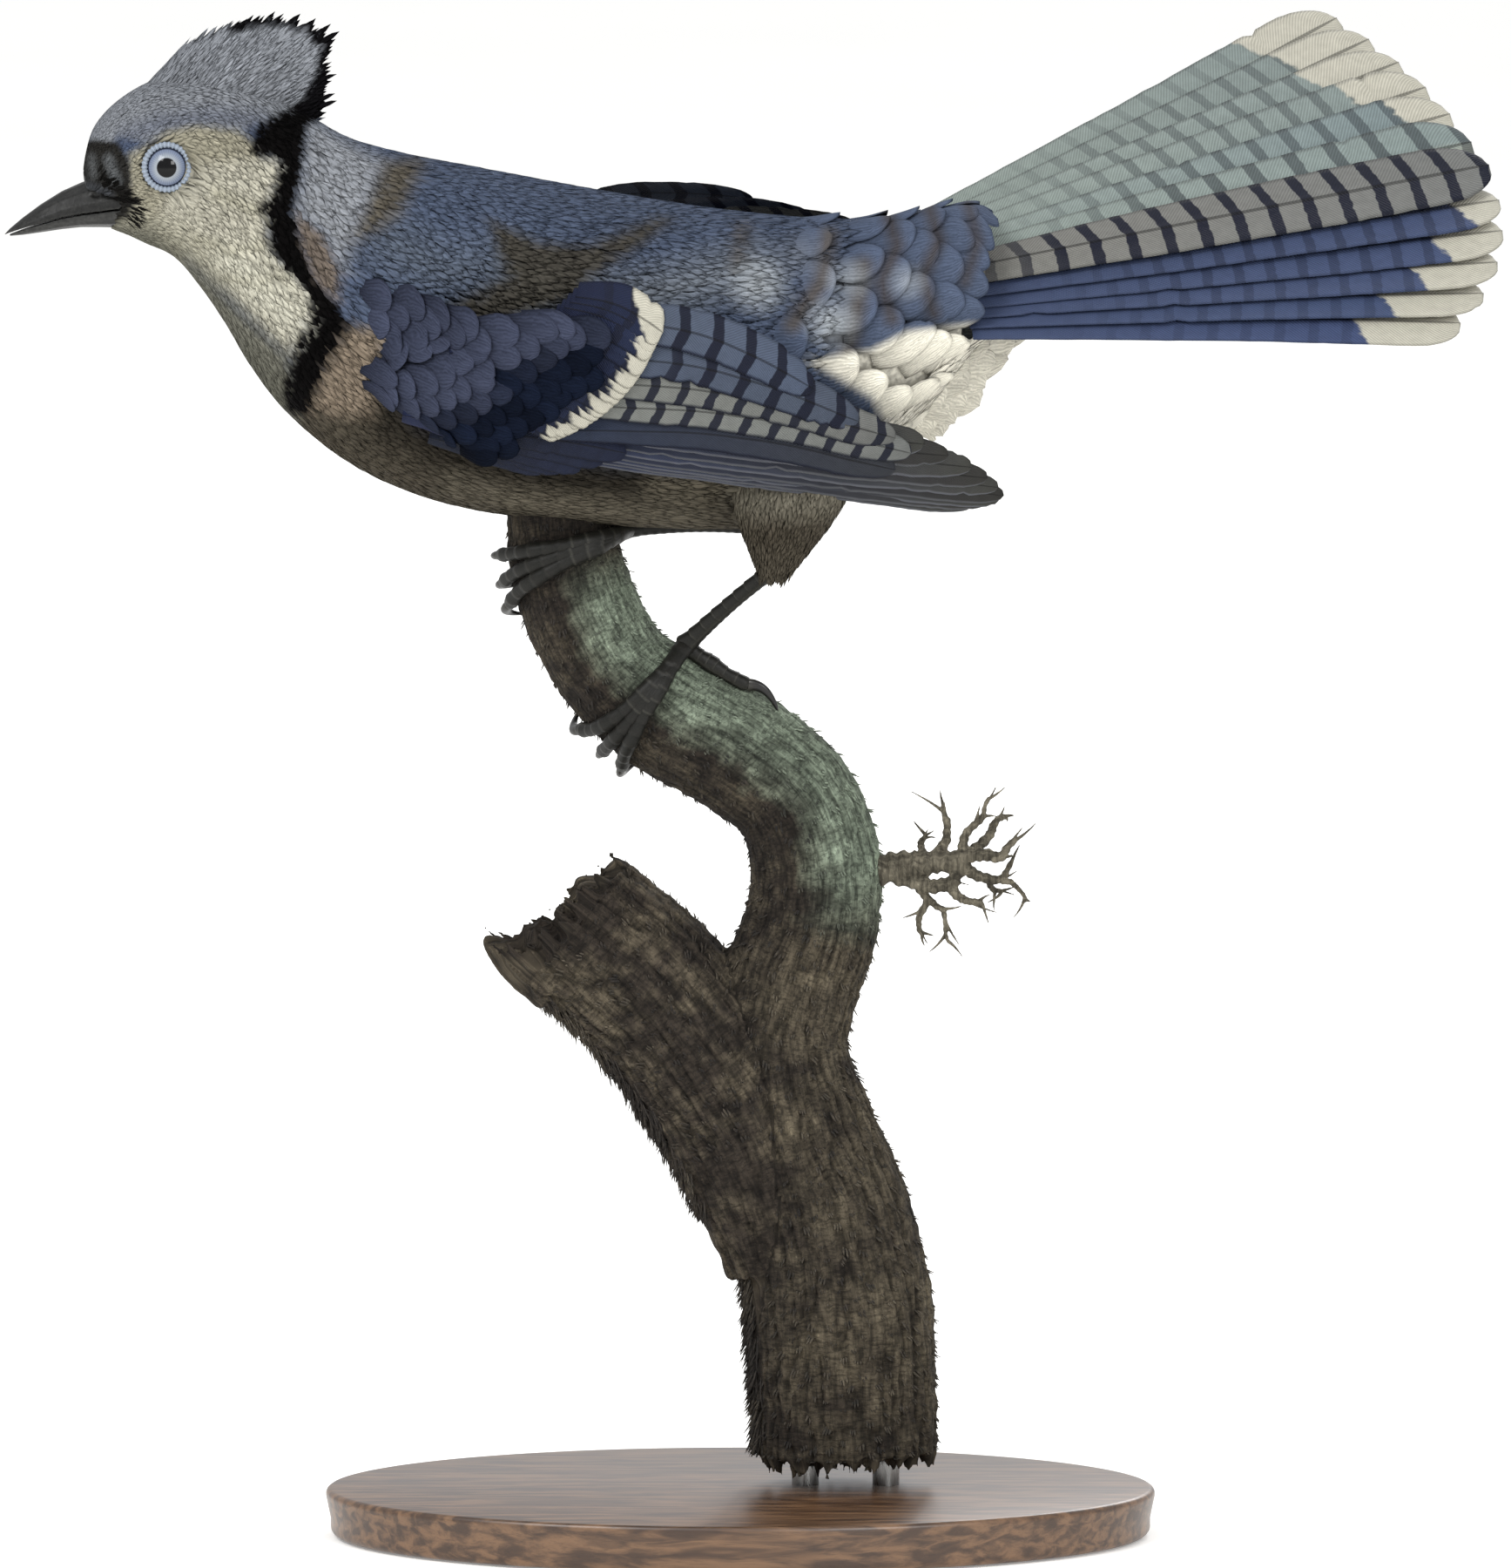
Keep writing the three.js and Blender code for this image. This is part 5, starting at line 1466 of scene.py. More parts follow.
@dataclass
class Face:
    """Eyes with their bare rings, and the bill."""

    eye: Point = (-108.8, 10.1, 264.6)
    radius: float = 4.8
    cornea_from: float = 0.82
    cornea_swell: float = 1.035
    ring_radius: float = 4.25
    ring_thick: float = 0.55
    ring_y: float = 12.95
    beads: int = 34
    ring_tint: str = "7d8794"
    bill_voxel: float = 0.2
    bill_tint: str = "1c1c1b"
    gape_flare: float = 0.62

    def eyes(self) -> None:
        """Make both eyes with a swollen cornea and a beaded ring of bare skin."""
        ring_skin = Tinted("eye_ring", roughness=0.5, grain=5.0, grain_tint=0.18, deep=0.08).material()
        for side in Side:
            x, y, z = self.eye[0], self.eye[1] * side.value, self.eye[2]
            name = f"eye_{side.word}"
            deselect()
            bpy.ops.mesh.primitive_uv_sphere_add(segments=64, ring_count=48, radius=self.radius * MM)
            ball = choose(bpy.context.object)
            with edit_mode():
                bpy.ops.mesh.select_all(action="DESELECT")
            for vertex in ball.data.vertices:
                vertex.select = vertex.co.z > self.radius * MM * self.cornea_from
            with edit_mode():
                bpy.ops.transform.resize(value=(1.0, 1.0, self.cornea_swell))
            ball.rotation_euler = (-side.value * math.pi / 2, 0, 0)
            ball.location = (x * MM, y * MM, z * MM)
            settle(ball, f"{name}_ball")
            bpy.ops.object.shade_smooth()
            hand_in(ball, EyeGlass(f"{name}_glass", (x, y, z)).material(), Slot.EYE, name)
            self.ring(side, ring_skin)

    def ring(self, side: Side, skin: bpy.types.Material) -> None:
        """Lay the ring of bare skin round one eye.

        Args:
            side: Which eye.
            skin: Its material.
        """
        deselect()
        bpy.ops.mesh.primitive_torus_add(
            location=(self.eye[0] * MM, side.value * self.ring_y * MM, self.eye[2] * MM),
            rotation=(math.pi / 2, 0, 0), major_radius=self.ring_radius * MM,
            minor_radius=self.ring_thick * MM, major_segments=self.beads * 6, minor_segments=16)
        ring = settle(bpy.context.object, f"eye_ring_{side.word}")
        places, normals = places_of(ring)
        away = places[:, [0, 2]] - np.array([self.eye[0], self.eye[2]])
        turn = np.arctan2(away[:, 1], away[:, 0])
        swell = 0.09 * np.cos(turn * self.beads)
        move_to(ring, places + normals * swell[:, None])
        tint = linear(self.ring_tint) * (1.0 + 0.16 * np.cos(turn * self.beads))[:, None]
        colour_points(ring, "Tint", tint)
        bpy.ops.object.shade_smooth()
        hand_in(ring, skin, Slot.EYE)

    def bill(self) -> None:
        """Round the two halves of the bill and give them horn."""
        horn = Tinted("horn", roughness=0.42, grain=1.6, grain_tint=0.35, deep=0.06, shine=0.25).material()
        for half in ("bill_upper", "bill_lower"):
            piece = merged_copy(f"{half}_horn", half)
            refine(piece, self.bill_voxel, 6)
            places, _ = places_of(piece)
            flare = np.clip((places[:, 0] + 130) / 12, 0, 1) ** 1.4
            places[:, 1] *= 1 + self.gape_flare * flare
            move_to(piece, places)
            back = np.clip((places[:, 0] + 139) / 22, 0, 1)
            # ridge lightens the top of the bill: a painted highlight
            ridge = np.clip((places[:, 2] - (254.5 + 5.5 * back)) / 3.0, 0, 1)
            streak = smooth_noise(places * np.array([0.12, 1.2, 1.2]), 8)
            edge = np.exp(-((places[:, 2] - (250.9 + 4.4 * back)) / 0.8) ** 2)
            light = 1 + 0.3 * streak + 1.2 * edge + 0.35 * ridge
            tint = linear(self.bill_tint) * light[:, None]
            colour_points(piece, "Tint", np.clip(tint, 0, 1))
            hand_in(piece, horn, Slot.BILL, half)


# Studio

@dataclass
class Studio:
    """Camera, lights and floor."""

    distance: float = 3.333
    lens: float = 400.0
    sensor: float = 36.0
    aim: Point = (0.0029, 0.0, 0.14508)
    floor_size: float = 60.0
    sky: str = "f4f5f7"
    sky_strength: float = 0.9
    # Each light's place and the length of its side in metres, and its power in watts
    lights: tuple[tuple[str, Point, float, float], ...] = (
        ("key", (-1.1, -1.5, 1.7), 0.9, 30.0),
        ("fill", (0.78, -1.64, 0.9), 0.55, 13.0),
        ("rim", (0.6, 1.7, 1.3), 0.9, 16.0),
    )

    def stand(self, name: str, data: bpy.types.ID, place: Sequence[float]) -> bpy.types.Object:
        """Stand a camera or a light where it faces the model.

        Args:
            name: Its name.
            data: What it is.
            place: Where it stands, in metres.

        Returns:
            The object.
        """
        thing = bpy.data.objects.new(name, data)
        bpy.context.collection.objects.link(thing)
        thing.location = place
        thing.rotation_euler = (Vector(self.aim) - Vector(place)).to_track_quat("-Z", "Y").to_euler()
        return thing

    def camera(self) -> None:
        """Stand the camera where the picture is seen from."""
        data = bpy.data.cameras.new("camera")
        data.lens = self.lens
        data.sensor_width = self.sensor
        data.clip_start = 0.1
        data.clip_end = 200.0
        back = Vector((0.0, -math.cos(VIEW_PITCH), math.sin(VIEW_PITCH)))
        bpy.context.scene.camera = self.stand("camera", data, Vector(self.aim) + back * self.distance)

    def build(self) -> None:
        """Set up the camera, the lights, the sky and the floor."""
        self.camera()
        for name, place, size, power in self.lights:
            data = bpy.data.lights.new(name, "AREA")
            data.shape = "SQUARE"
            data.size = size
            data.energy = power
            self.stand(name, data, place)
        world = bpy.data.worlds.new("studio")
        world.use_nodes = True
        sky = world.node_tree.nodes["Background"].inputs
        sky["Color"].default_value = rgba(self.sky)
        sky["Strength"].default_value = self.sky_strength
        bpy.context.scene.world = world
        bpy.context.scene.view_settings.view_transform = "Standard"
        deselect()
        bpy.ops.mesh.primitive_plane_add(size=self.floor_size, location=(0, 0, -0.0004))
        floor = settle(bpy.context.object, "floor")
        floor.data.materials.append(PaleFloor().material())


# Long feathers

LONG_VANE = ((0.0, 0.5), (0.32, 0.86), (0.66, 1.0), (0.86, 0.97), (1.0, 0.9))
SHORT_VANE = ((0.0, 0.6), (0.5, 1.0), (0.8, 0.98), (1.0, 0.9))
TAIL_VANE = ((0.0, 0.5), (0.4, 0.84), (0.7, 0.98), (0.88, 1.0), (1.0, 0.96))


@dataclass(frozen=True)
class Paint:
    """How one long feather is coloured, from root to tip and from its outer to its inner vane."""

    root: str
    tip: str
    inner: str | None = None
    edge: str | None = None
    bars: float = 0.0
    period: float = 6.0
    phase: float = 0.0
    white: float = 0.0
    barred_from: float = 0.12

    def tint(self, t: Array, c: Array, outer: float) -> Array:
        """Read the colour at shares along and across the feather.

        Args:
            t: From 0 at the root to 1 at the tip.
            c: From -1 to 1 across.
            outer: On which side of the shaft the outer vane lies.

        Returns:
            Colours in linear light.
        """
        t, c = t[..., None], c[..., None] * outer
        tint = linear(self.root) * (1 - t) + linear(self.tip) * t
        if self.inner:
            share = np.clip(0.5 - c / 0.3, 0, 1)
            tint = tint * (1 - share) + linear(self.inner) * share
        if self.edge:
            share = np.clip((c - 0.8) / 0.1, 0, 1)
            tint = tint * (1 - share) + linear(self.edge) * share
        return tint


@dataclass(frozen=True)
class Vane:
    """How a long feather is built: a thin cambered blade with a raised shaft, split here and there."""

    profile: tuple[Pair, ...]
    step: float = 1.5
    columns: int = 11
    round_from: float = 0.8
    round_power: float = 2.3
    thick: float = 0.28
    camber: float = 0.35
    shaft: float = 0.3
    ragged: float = 0.02
    splits: float = 0.05


def grow_vane(sheet: Sheet, vane: Vane, root: Array, tip: Array, bow: float, width: float, height: float,
              tilt: float, paint: Paint, outer: float, cell: tuple[int, int], rng: np.random.Generator,
              rise: float = 0.0) -> Bundle:
    """Grow one long feather on a sheet.

    Args:
        sheet: Turns two flat measures and a height into places.
        vane: How it is built.
        root: Its root on the sheet.
        tip: Its tip on the sheet.
        bow: How far it bends to its left.
        width: Its full width.
        height: Its height over the sheet.
        tilt: How much its left edge is raised for each millimetre out.
        paint: Its colours.
        outer: On which side its outer vane lies.
        cell: Its number on the baking map and how many cells a side has.
        rng: The random draw.
        rise: How much higher its tip lies than its root.

    Returns:
        The feather as a closed blade.
    """
    run = tip - root
    long = float(np.linalg.norm(run))
    run = run / long
    rows = max(8, int(long / vane.step))
    t = 1 - (1 - np.linspace(0, 1, rows)) ** 1.35
    c = np.linspace(-1, 1, vane.columns)
    share = np.interp(t, *zip(*vane.profile))
    end = np.clip((t - vane.round_from) / (1 - vane.round_from), 0, 1)
    share = share * np.maximum(1 - end ** vane.round_power, 0.0) ** (1 / vane.round_power) + 0.02
    edges = share[:, None] * (1 + rng.normal(0, vane.ragged, (rows, 2)))
    split = rng.uniform(size=(rows, 2)) < vane.splits
    split[:3] = False
    edges = edges * np.where(split, rng.uniform(0.8, 0.92, (rows, 2)), 1.0)
    reach = np.where(c[None, :] < 0, edges[:, :1], edges[:, 1:]) * c[None, :] * width / 2
    tt = np.broadcast_to(t[:, None], reach.shape)
    cc = np.broadcast_to(c[None, :], reach.shape)
    bend = bow * np.sin(math.pi * tt)
    a = root[0] + run[0] * long * tt - run[1] * (bend + reach)
    b = root[1] + run[1] * long * tt + run[0] * (bend + reach)
    ridge = vane.shaft * np.exp(-(cc / 0.07) ** 2) * (1 - 0.7 * tt)
    ripple = rng.normal(0, 0.04) * reach + 0.05 * np.sin(tt * 9 + rng.uniform(0, 6))
    level = height + rise * tt + tilt * reach + vane.camber * (1 - cc ** 2) + ripple
    thin = vane.thick * (1 - 0.65 * np.abs(cc)) * (1 - 0.4 * tt)
    top = sheet(a.ravel(), b.ravel(), (level + ridge).ravel())
    low = sheet(a.ravel(), b.ravel(), (level - thin).ravel())
    faces = grid_tris(rows, vane.columns)
    rim = np.concatenate([
        np.arange(vane.columns), np.arange(2, rows + 1) * vane.columns - 1,
        (rows - 1) * vane.columns + np.arange(vane.columns - 2, -1, -1),
        np.arange(rows - 2, 0, -1) * vane.columns,
    ])
    after = np.roll(rim, -1)
    under = rows * vane.columns
    wall = np.vstack([np.stack([rim, rim + under, after + under], 1),
                      np.stack([rim, after + under, after], 1)])
    verts = np.vstack([top, low])
    tris = np.vstack([faces, faces[:, ::-1] + under, wall])
    x, y, z = (verts[tris[:, i]] for i in range(3))
    middle = verts.mean(0)
    if np.einsum("ij,ij->i", x - middle, np.cross(y - middle, z - middle)).sum() < 0:
        tris = tris[:, ::-1]

    tint = paint.tint(tt, cc, outer) * rng.normal(1.0, 0.05)
    strength = paint.bars * np.clip((tt - paint.barred_from) / 0.3, 0, 1)
    white = long - paint.white if paint.white else 999.0
    bars = np.stack([strength, np.full_like(tt, paint.period), np.full_like(tt, paint.phase),
                     np.full_like(tt, white)], -1)
    number, side = cell
    corner = np.array([number % side, number // side]) / side
    flat = np.stack([(cc + 1) / 2, tt], -1).reshape(-1, 2)
    halves = [corner + (0.04 + 0.92 * flat * np.array([0.48, 1.0]) + np.array([shift, 0])) / side
              for shift in (0.0, 0.5)]
    across = np.stack([cc, tt * long], -1).reshape(-1, 2)
    return Bundle(
        verts=verts, tris=tris, smooth=np.arange(len(tris)) < len(faces),
        tint=np.tile(np.clip(tint, 0, 1).reshape(-1, 3), (2, 1)),
        vane=np.tile(across, (2, 1)), patch=np.vstack(halves), bars=np.tile(bars.reshape(-1, 4), (2, 1)),
    )


# Large coverts

def lay_rows(rows: Sequence[Pair], spans: Sequence[Pair], gap: float) -> Array:
    """Lay spots in rows, every other one shifted by half a gap.

    Args:
        rows: Each row's first surface number and its feathers' length.
        spans: The ranges of the second number.
        gap: The step of it.

    Returns:
        The spots' two surface numbers and lengths.
    """
    return np.array([(at, t + gap / 2 * (row % 2), long) for row, (at, long) in enumerate(rows)
                     for span in spans for t in np.arange(*span, gap)])


@dataclass
class Lobes:
    """Large rounded coverts that overlap on a shape; each spot is a root's two numbers and a length.

    colour is one row for each spot, or the pattern that is read at its places.
    """

    name: str
    form: Surface
    colour: Array | Pattern
    spots: Array
    width: Pair
    slot: Slot
    height: float = -1.5
    rise: float = 2.2
    # Painted shade and light on each lobe: dark at its root, bright at its tip, rim how much its edge is
    # darkened
    dark: float = 0.55
    bright: float = 1.3
    rim: float = 0.4
    seed: int = 29
    blade: Vane = Vane(SHORT_VANE, step=1.0, columns=15, round_from=0.55, round_power=2.0, thick=0.2,
                       camber=0.5, shaft=0.06, ragged=0.012, splits=0.03)

    def sheet(self, s: float, t: float) -> Sheet:
        """Lay a sheet of millimetres over the shape round one root.

        Args:
            s: The root's first surface number.
            t: Its second one.

        Returns:
            What turns two flat measures and a height into places.
        """
        _, long, slide, wide, _ = self.form.basis(np.array([s]), np.array([t]))

        def place(a: Array, b: Array, height: Array) -> Array:
            """Give the places over the shape."""
            step = b / wide[0]
            return self.form.place(s + (a - step * slide[0]) / long[0], t + step, height)

        return place

    def build(self, soft: bpy.types.Material) -> None:
        """Grow the rows, each lobe lighter toward its tip as painted light and darker at its root and rim as
        painted shade.

        Args:
            soft: The material of small feathers.
        """
        rng = np.random.default_rng(self.seed)
        side = math.ceil(math.sqrt(len(self.spots)))
        parts = []
        for i, (at, t, long) in enumerate(self.spots):
            long = long * rng.uniform(0.93, 1.07)
            width = rng.uniform(*self.width)
            at = at + rng.normal(0, 0.04)
            tip = np.array([long, rng.normal(0, 0.4)])
            lobe = grow_vane(self.sheet(at, t), self.blade, np.zeros(2), tip, 0.0, width, self.height, 0.0,
                             Paint("ffffff", "ffffff"), 1.0, (i, side), rng, self.rise)
            share = np.clip(lobe.vane[:, 1] / long, 0, 1)
            rim = np.clip((np.abs(lobe.vane[:, 0]) - 0.8) / 0.2, 0, 1) + np.clip((share - 0.93) / 0.07, 0, 1)
            # Painted shade at the root and the rim, painted light toward the tip
            light = self.dark + (self.bright - self.dark) * share
            light = light * (1 - self.rim * np.clip(rim, 0, 1)) * rng.normal(1, 0.05)
            ground = self.colour(lobe.verts) if callable(self.colour) else self.colour[i]
            lobe.tint = np.clip(ground * light[:, None], 0, 1)
            lobe.vane[:, 0] *= width / 2
            parts.append(lobe)
        hand_in(Bundle.join(parts).to_object(self.name), soft, self.slot)


# Wings

@dataclass(frozen=True)
class Tier:
    """One tier of a wing: its roots and tips on the flank, front to back, and how its feathers lie."""

    vane: Vane
    count: int
    width: Pair
    height: float
    tilt: float
    bow: Pair
    roots: tuple[Pair, ...]
    tips: tuple[Pair, ...]
    paints: tuple[Paint, ...]


class Flank(Surface):
    """The sheet on which one folded wing lies, with the swell of the arm on it."""

    first = (-71.0, -27.0)
    second = (-8.0, 22.0)
    roll = math.radians(24)
    middle_height = 229.1
    shoulder = (-48.0, 14.0)
    width = ((-90, 17), (-68, 22.4), (-50, 26.6), (-20, 28.4), (0, 27.6), (20, 24.2), (35, 19.6), (50, 14.5),
             (60, 11))
    centre = ((-75, 4.4), (-45, 0.2), (-15, -1.6), (60, -1.6))
    flank_height = 40.0
    arm_x = (-70.5, -66.0, -57.0, -47.0, -36.0, -28.0)
    arm_middle = (3.5, 4.8, 5.6, 6.5, 8.0, 9.5)
    arm_half = (3.0, 8.0, 11.5, 12.5, 11.0, 6.0)
    arm_out = (1.6, 4.6, 6.6, 6.0, 4.2, 2.4)
    floor = ((-62, 0), (-53, 5.6), (-36, 6.0))
    # How the far wing is turned and shifted along and up
    far = (math.radians(27.5), -7.0, -20.0)

    def __init__(self, side: Side) -> None:
        """Choose the wing; the right one is held higher over the back."""
        self.side = side
        self.pitch, self.slide, self.raised = self.far if side is Side.RIGHT else (0.0, 0.0, 0.0)

    def sheet(self, a: Array, b: Array, height: Array) -> Array:
        """Give the places over the flank: a runs back along the body and b up its side."""
        dx, dz = a - self.shoulder[0], b - self.shoulder[1]
        x = self.shoulder[0] + self.slide + dx * math.cos(self.pitch) - dz * math.sin(self.pitch)
        z = self.shoulder[1] + self.raised + dx * math.sin(self.pitch) + dz * math.cos(self.pitch)
        bulge = np.sqrt(np.maximum(0.1, 1 - (z / self.flank_height) ** 2))
        reach = np.interp(x, *zip(*self.width)) * bulge + height
        y = np.interp(x, *zip(*self.centre)) + self.side.value * reach
        return np.stack([x, y * math.cos(self.roll) - z * math.sin(self.roll),
                         self.middle_height + z * math.cos(self.roll) + y * math.sin(self.roll)], 1)

    def swell(self, a: Array, b: Array) -> Array:
        """Give how far the arm swells over the sheet."""
        middle = np.interp(a, self.arm_x, self.arm_middle)
        half = np.interp(a, self.arm_x, self.arm_half)
        out = np.interp(a, self.arm_x, self.arm_out)
        swell = out * np.sqrt(np.maximum(1 - ((b - middle) / half) ** 2, 0.0))
        return np.maximum(swell, np.interp(a, *zip(*self.floor)))

    def place(self, s: Array, t: Array, lift: Array) -> Array:
        """Give the places on the arm."""
        return self.sheet(s, t, self.swell(s, t) + lift)

    def view_share(self, mark: Mark, s: Array, t: Array) -> Array:
        """Say how much of a marking shows at some places of the arm."""
        return mark.share(view_places(self.place(s, t, np.zeros(len(s)))))


@dataclass
class Wing:
    """A folded wing: tiers of long feathers and the small coverts over its arm."""

    side: Side
    tiers: tuple[Tier, ...] = (
        Tier(Vane(LONG_VANE, step=1.8, camber=0.2, round_from=0.86), 9, (5.6, 6.8), 1.3, -0.3, (5, 2.5),
             ((-46, -5.5), (-40, -2), (-34, 3)), ((44, -26.2), (50.2, -25), (46.4, -18.4), (35, -8.6)),
             (Paint("252e49", "3a3a36", edge="6d6f77"), Paint("1f273e", "302f2c", edge="696b70"))),
        Tier(Vane(LONG_VANE, step=1.5, camber=0.3, round_from=0.82), 5, (7.4, 7.8), 3.6, -0.2, (6, 5.6),
             ((-38, -0.5), (-38, 5), (-38, 10), (-37, 15), (-34, 21)),
             ((29.5, -12.2), (32.5, -8.8), (29.5, -4.8), (22.5, 0.2), (14, 8)),
             (Paint("1e2638", "2c2e33", edge="12172a"),
              Paint("656763", "606260", edge="151a2a", bars=0.95, period=5.6, phase=1.2, barred_from=-0.3),
              Paint("656763", "5b5c5a", edge="151a2a", bars=0.95, period=5.6, phase=2.2, barred_from=-0.3),
              Paint("40495a", "3f4653", edge="12182e", bars=0.97, period=6.6, phase=3.4),
              Paint("3f4653", "40495a", edge="12182e", bars=0.97, period=6.6, phase=5.0))),
        Tier(Vane(SHORT_VANE, step=1.0), 5, (5.2, 6.2), 3.4, -0.25, (1, 1),
             ((-59, -5), (-55, -3.5), (-51, -2)), ((-37, -9.6), (-30, -8.4), (-21.5, -4.4)),
             (Paint("0f1524", "151b2f", bars=0.3, period=4.0),)),
        Tier(Vane(SHORT_VANE, step=1.0, round_from=0.9, ragged=0.006), 22, (6.6, 6.8), 4.5, -0.2, (1, 1.5),
             ((-51.5, 7), (-46.5, 10), (-41.5, 15), (-36.5, 21), (-31, 26)),
             ((-33.5, 0.2), (-28.5, 3.0), (-23.5, 7.0), (-18.5, 13.0), (-14.5, 20.5)),
             (Paint("0f152a", "192138", bars=0.8, period=5.2, phase=1.0, white=5.6),
              Paint("0f152a", "151d34", bars=0.8, period=5.2, phase=0.4, white=5.2))),
        Tier(Vane(SHORT_VANE, step=1.0), 8, (6.0, 7.0), 4.4, -0.16, (0.5, 1),
             ((-64, -0.5), (-61, 7), (-55, 14)), ((-46, -2.5), (-37, 3), (-31, 10), (-30, 17)),
             (Paint("151c36", "1b233c", edge="1a2144", bars=0.35, period=4.4),
              Paint("111831", "171e37", edge="161d3c", bars=0.35, period=4.0, phase=2.0))),
    )
    pale: Mark = Mark("303443", ((-76, 206), (-66, 209.5), (-55.6, 214.2), (-49.1, 216.8), (-43.9, 222.0),
                                 (-37.5, 226.0), (-29.7, 228.8), (-20.7, 231.8), (-20, 245), (-76, 245)),
                      soft=1.2)
    dark: str = "0b101c"
    covert_length: Point = (7.0, 9.5, 11.0)
    covert_step: float = 2.7
    covert_gap: float = 4.6
    # The coverts end before the tips of the tier with the white bar
    barred_tier: int = 3
    covert_clear: float = 6.0
    covert_width: Pair = (6.2, 7.4)
    # Behind the shoulder they reach up onto the back as far as this on the flank
    scapulars: Pair = (12.0, 21.5)
    seed: int = 41
    covert_seed: int = 51
    # The far wing's tints are darkened by this factor: painted shade on the wing behind the body
    far_light: float = 0.7
    core_depth: float = 9.0
    core_rings: int = 30
    core_sides: int = 28
    core_tint: str = "11172d"

    def feathers(self, stiff: bpy.types.Material) -> None:
        """Grow the tiers over a dark core.

        Args:
            stiff: The material of long feathers.
        """
        flank = Flank(self.side)
        rng = np.random.default_rng(self.seed + self.side.value)
        side = math.ceil(math.sqrt(sum(tier.count for tier in self.tiers)))
        parts = []
        for tier in self.tiers:
            roots, tips = Curve(tier.roots), Curve(tier.tips)
            for i in range(tier.count):
                at = i / (tier.count - 1)
                bow, width = (pair[0] + (pair[1] - pair[0]) * at for pair in (tier.bow, tier.width))
                paint = tier.paints[i % len(tier.paints)]
                parts.append(grow_vane(flank.sheet, tier.vane, roots.share(at), tips.share(at), bow, width,
                                       tier.height, tier.tilt, paint, -1.0, (len(parts), side), rng))
        whole = Bundle.join(parts)
        # Painted shade: the far wing is darkened
        whole.tint *= 1.0 if self.side is Side.LEFT else self.far_light
        name = f"wing_{self.side.word}"
        hand_in(whole.to_object(f"{name}_feathers"), stiff, Slot.NAVY, name)
        self.core(flank, f"{name}_core")

    def core(self, flank: Flank, name: str) -> None:
        """Make the arm under the coverts.

        Args:
            flank: The wing's sheet.
            name: The piece's name.
        """
        a = np.linspace(flank.arm_x[0] + 0.5, flank.arm_x[-1], self.core_rings)
        turn = np.linspace(0, 2 * math.pi, self.core_sides, endpoint=False)
        aa, angle = (grid.ravel() for grid in np.meshgrid(a, turn, indexing="ij"))
        out = np.interp(aa, flank.arm_x, flank.arm_out) - 0.9
        height = (out - self.core_depth) / 2 + (out + self.core_depth) / 2 * np.sin(angle)
        b = np.interp(aa, flank.arm_x, flank.arm_half) * 0.95 * np.cos(angle)
        b = b + np.interp(aa, flank.arm_x, flank.arm_middle)
        verts, tris = tube_mesh(flank.sheet(aa, b, height).reshape(len(a), self.core_sides, 3))
        core = new_object(name, verts, tris)
        colour_points(core, "Tint", np.broadcast_to(linear(self.core_tint), (len(verts), 3)))
        hand_in(core, Tinted(name, roughness=0.85, grain=0.8).material(), Slot.NAVY)

    def coverts(self, soft: bpy.types.Material) -> None:
        """Grow the small coverts of the arm, pale over the wrist and dark behind it.

        Args:
            soft: The material of small feathers.
        """
        flank, left = Flank(self.side), Flank(Side.LEFT)
        rng = np.random.default_rng(self.covert_seed + self.side.value)
        steps = np.arange(-72, -26, self.covert_step)
        rows = [(at, np.interp(at, (-71, -60, -40), self.covert_length)) for at in steps]
        spots = lay_rows(rows, ((-8.0, 22.0),), self.covert_gap)
        spots[:, :2] += rng.normal(0, 0.35, (len(spots), 2))
        s, t, length = spots.T
        middle = np.interp(s, flank.arm_x, flank.arm_middle)
        half = np.interp(s, flank.arm_x, flank.arm_half)
        low, high = self.scapulars
        scapular = (t > low) & (t < high) & (left.view_share(self.pale, s, t) > 0.5)
        back, up = zip(*self.tiers[self.barred_tier].tips)
        edge = np.interp(t, up, back) - self.covert_clear
        keep = ((np.abs(t - middle) < half * 0.99) | scapular) & (s + length < edge)
        s, t, length = s[keep], t[keep], length[keep]
        share = left.view_share(self.pale, s + 0.75 * length, t)[:, None]
        bars = 1 + 0.3 * np.sin(2 * math.pi * (s - 0.7 * t) / 5.4)[:, None]
        tint = linear(self.pale.tint) * share + linear(self.dark) * bars * (1 - share)
        tint = tint * rng.normal(1, 0.07, (len(s), 1))
        Lobes(f"coat_wing_{self.side.word}", flank, tint, spots[keep], self.covert_width, Slot.BLUE,
              height=-0.9, rise=1.5, dark=0.5, rim=0.3).build(soft)


# Tail

TAIL_ROOT = np.array([31.8, -2.3, 241.7])
TAIL_AXIS = np.array([0.9378, 0.2981, 0.1765])
TAIL_ACROSS = np.array([-0.345, 0.7561, 0.5563])
TAIL_UP = unit(np.cross(TAIL_AXIS, TAIL_ACROSS))


class UndertailForm(WedgeForm):
    """The tuft of coverts that hangs below the tail's root."""

    def world(self, flat: Array, level: Array) -> Array:
        """Turn places in its plane and distances off it into places."""
        return TAIL_ROOT + flat[:, :1] * TAIL_AXIS + flat[:, 1:] * TAIL_UP + level[:, None] * TAIL_ACROSS


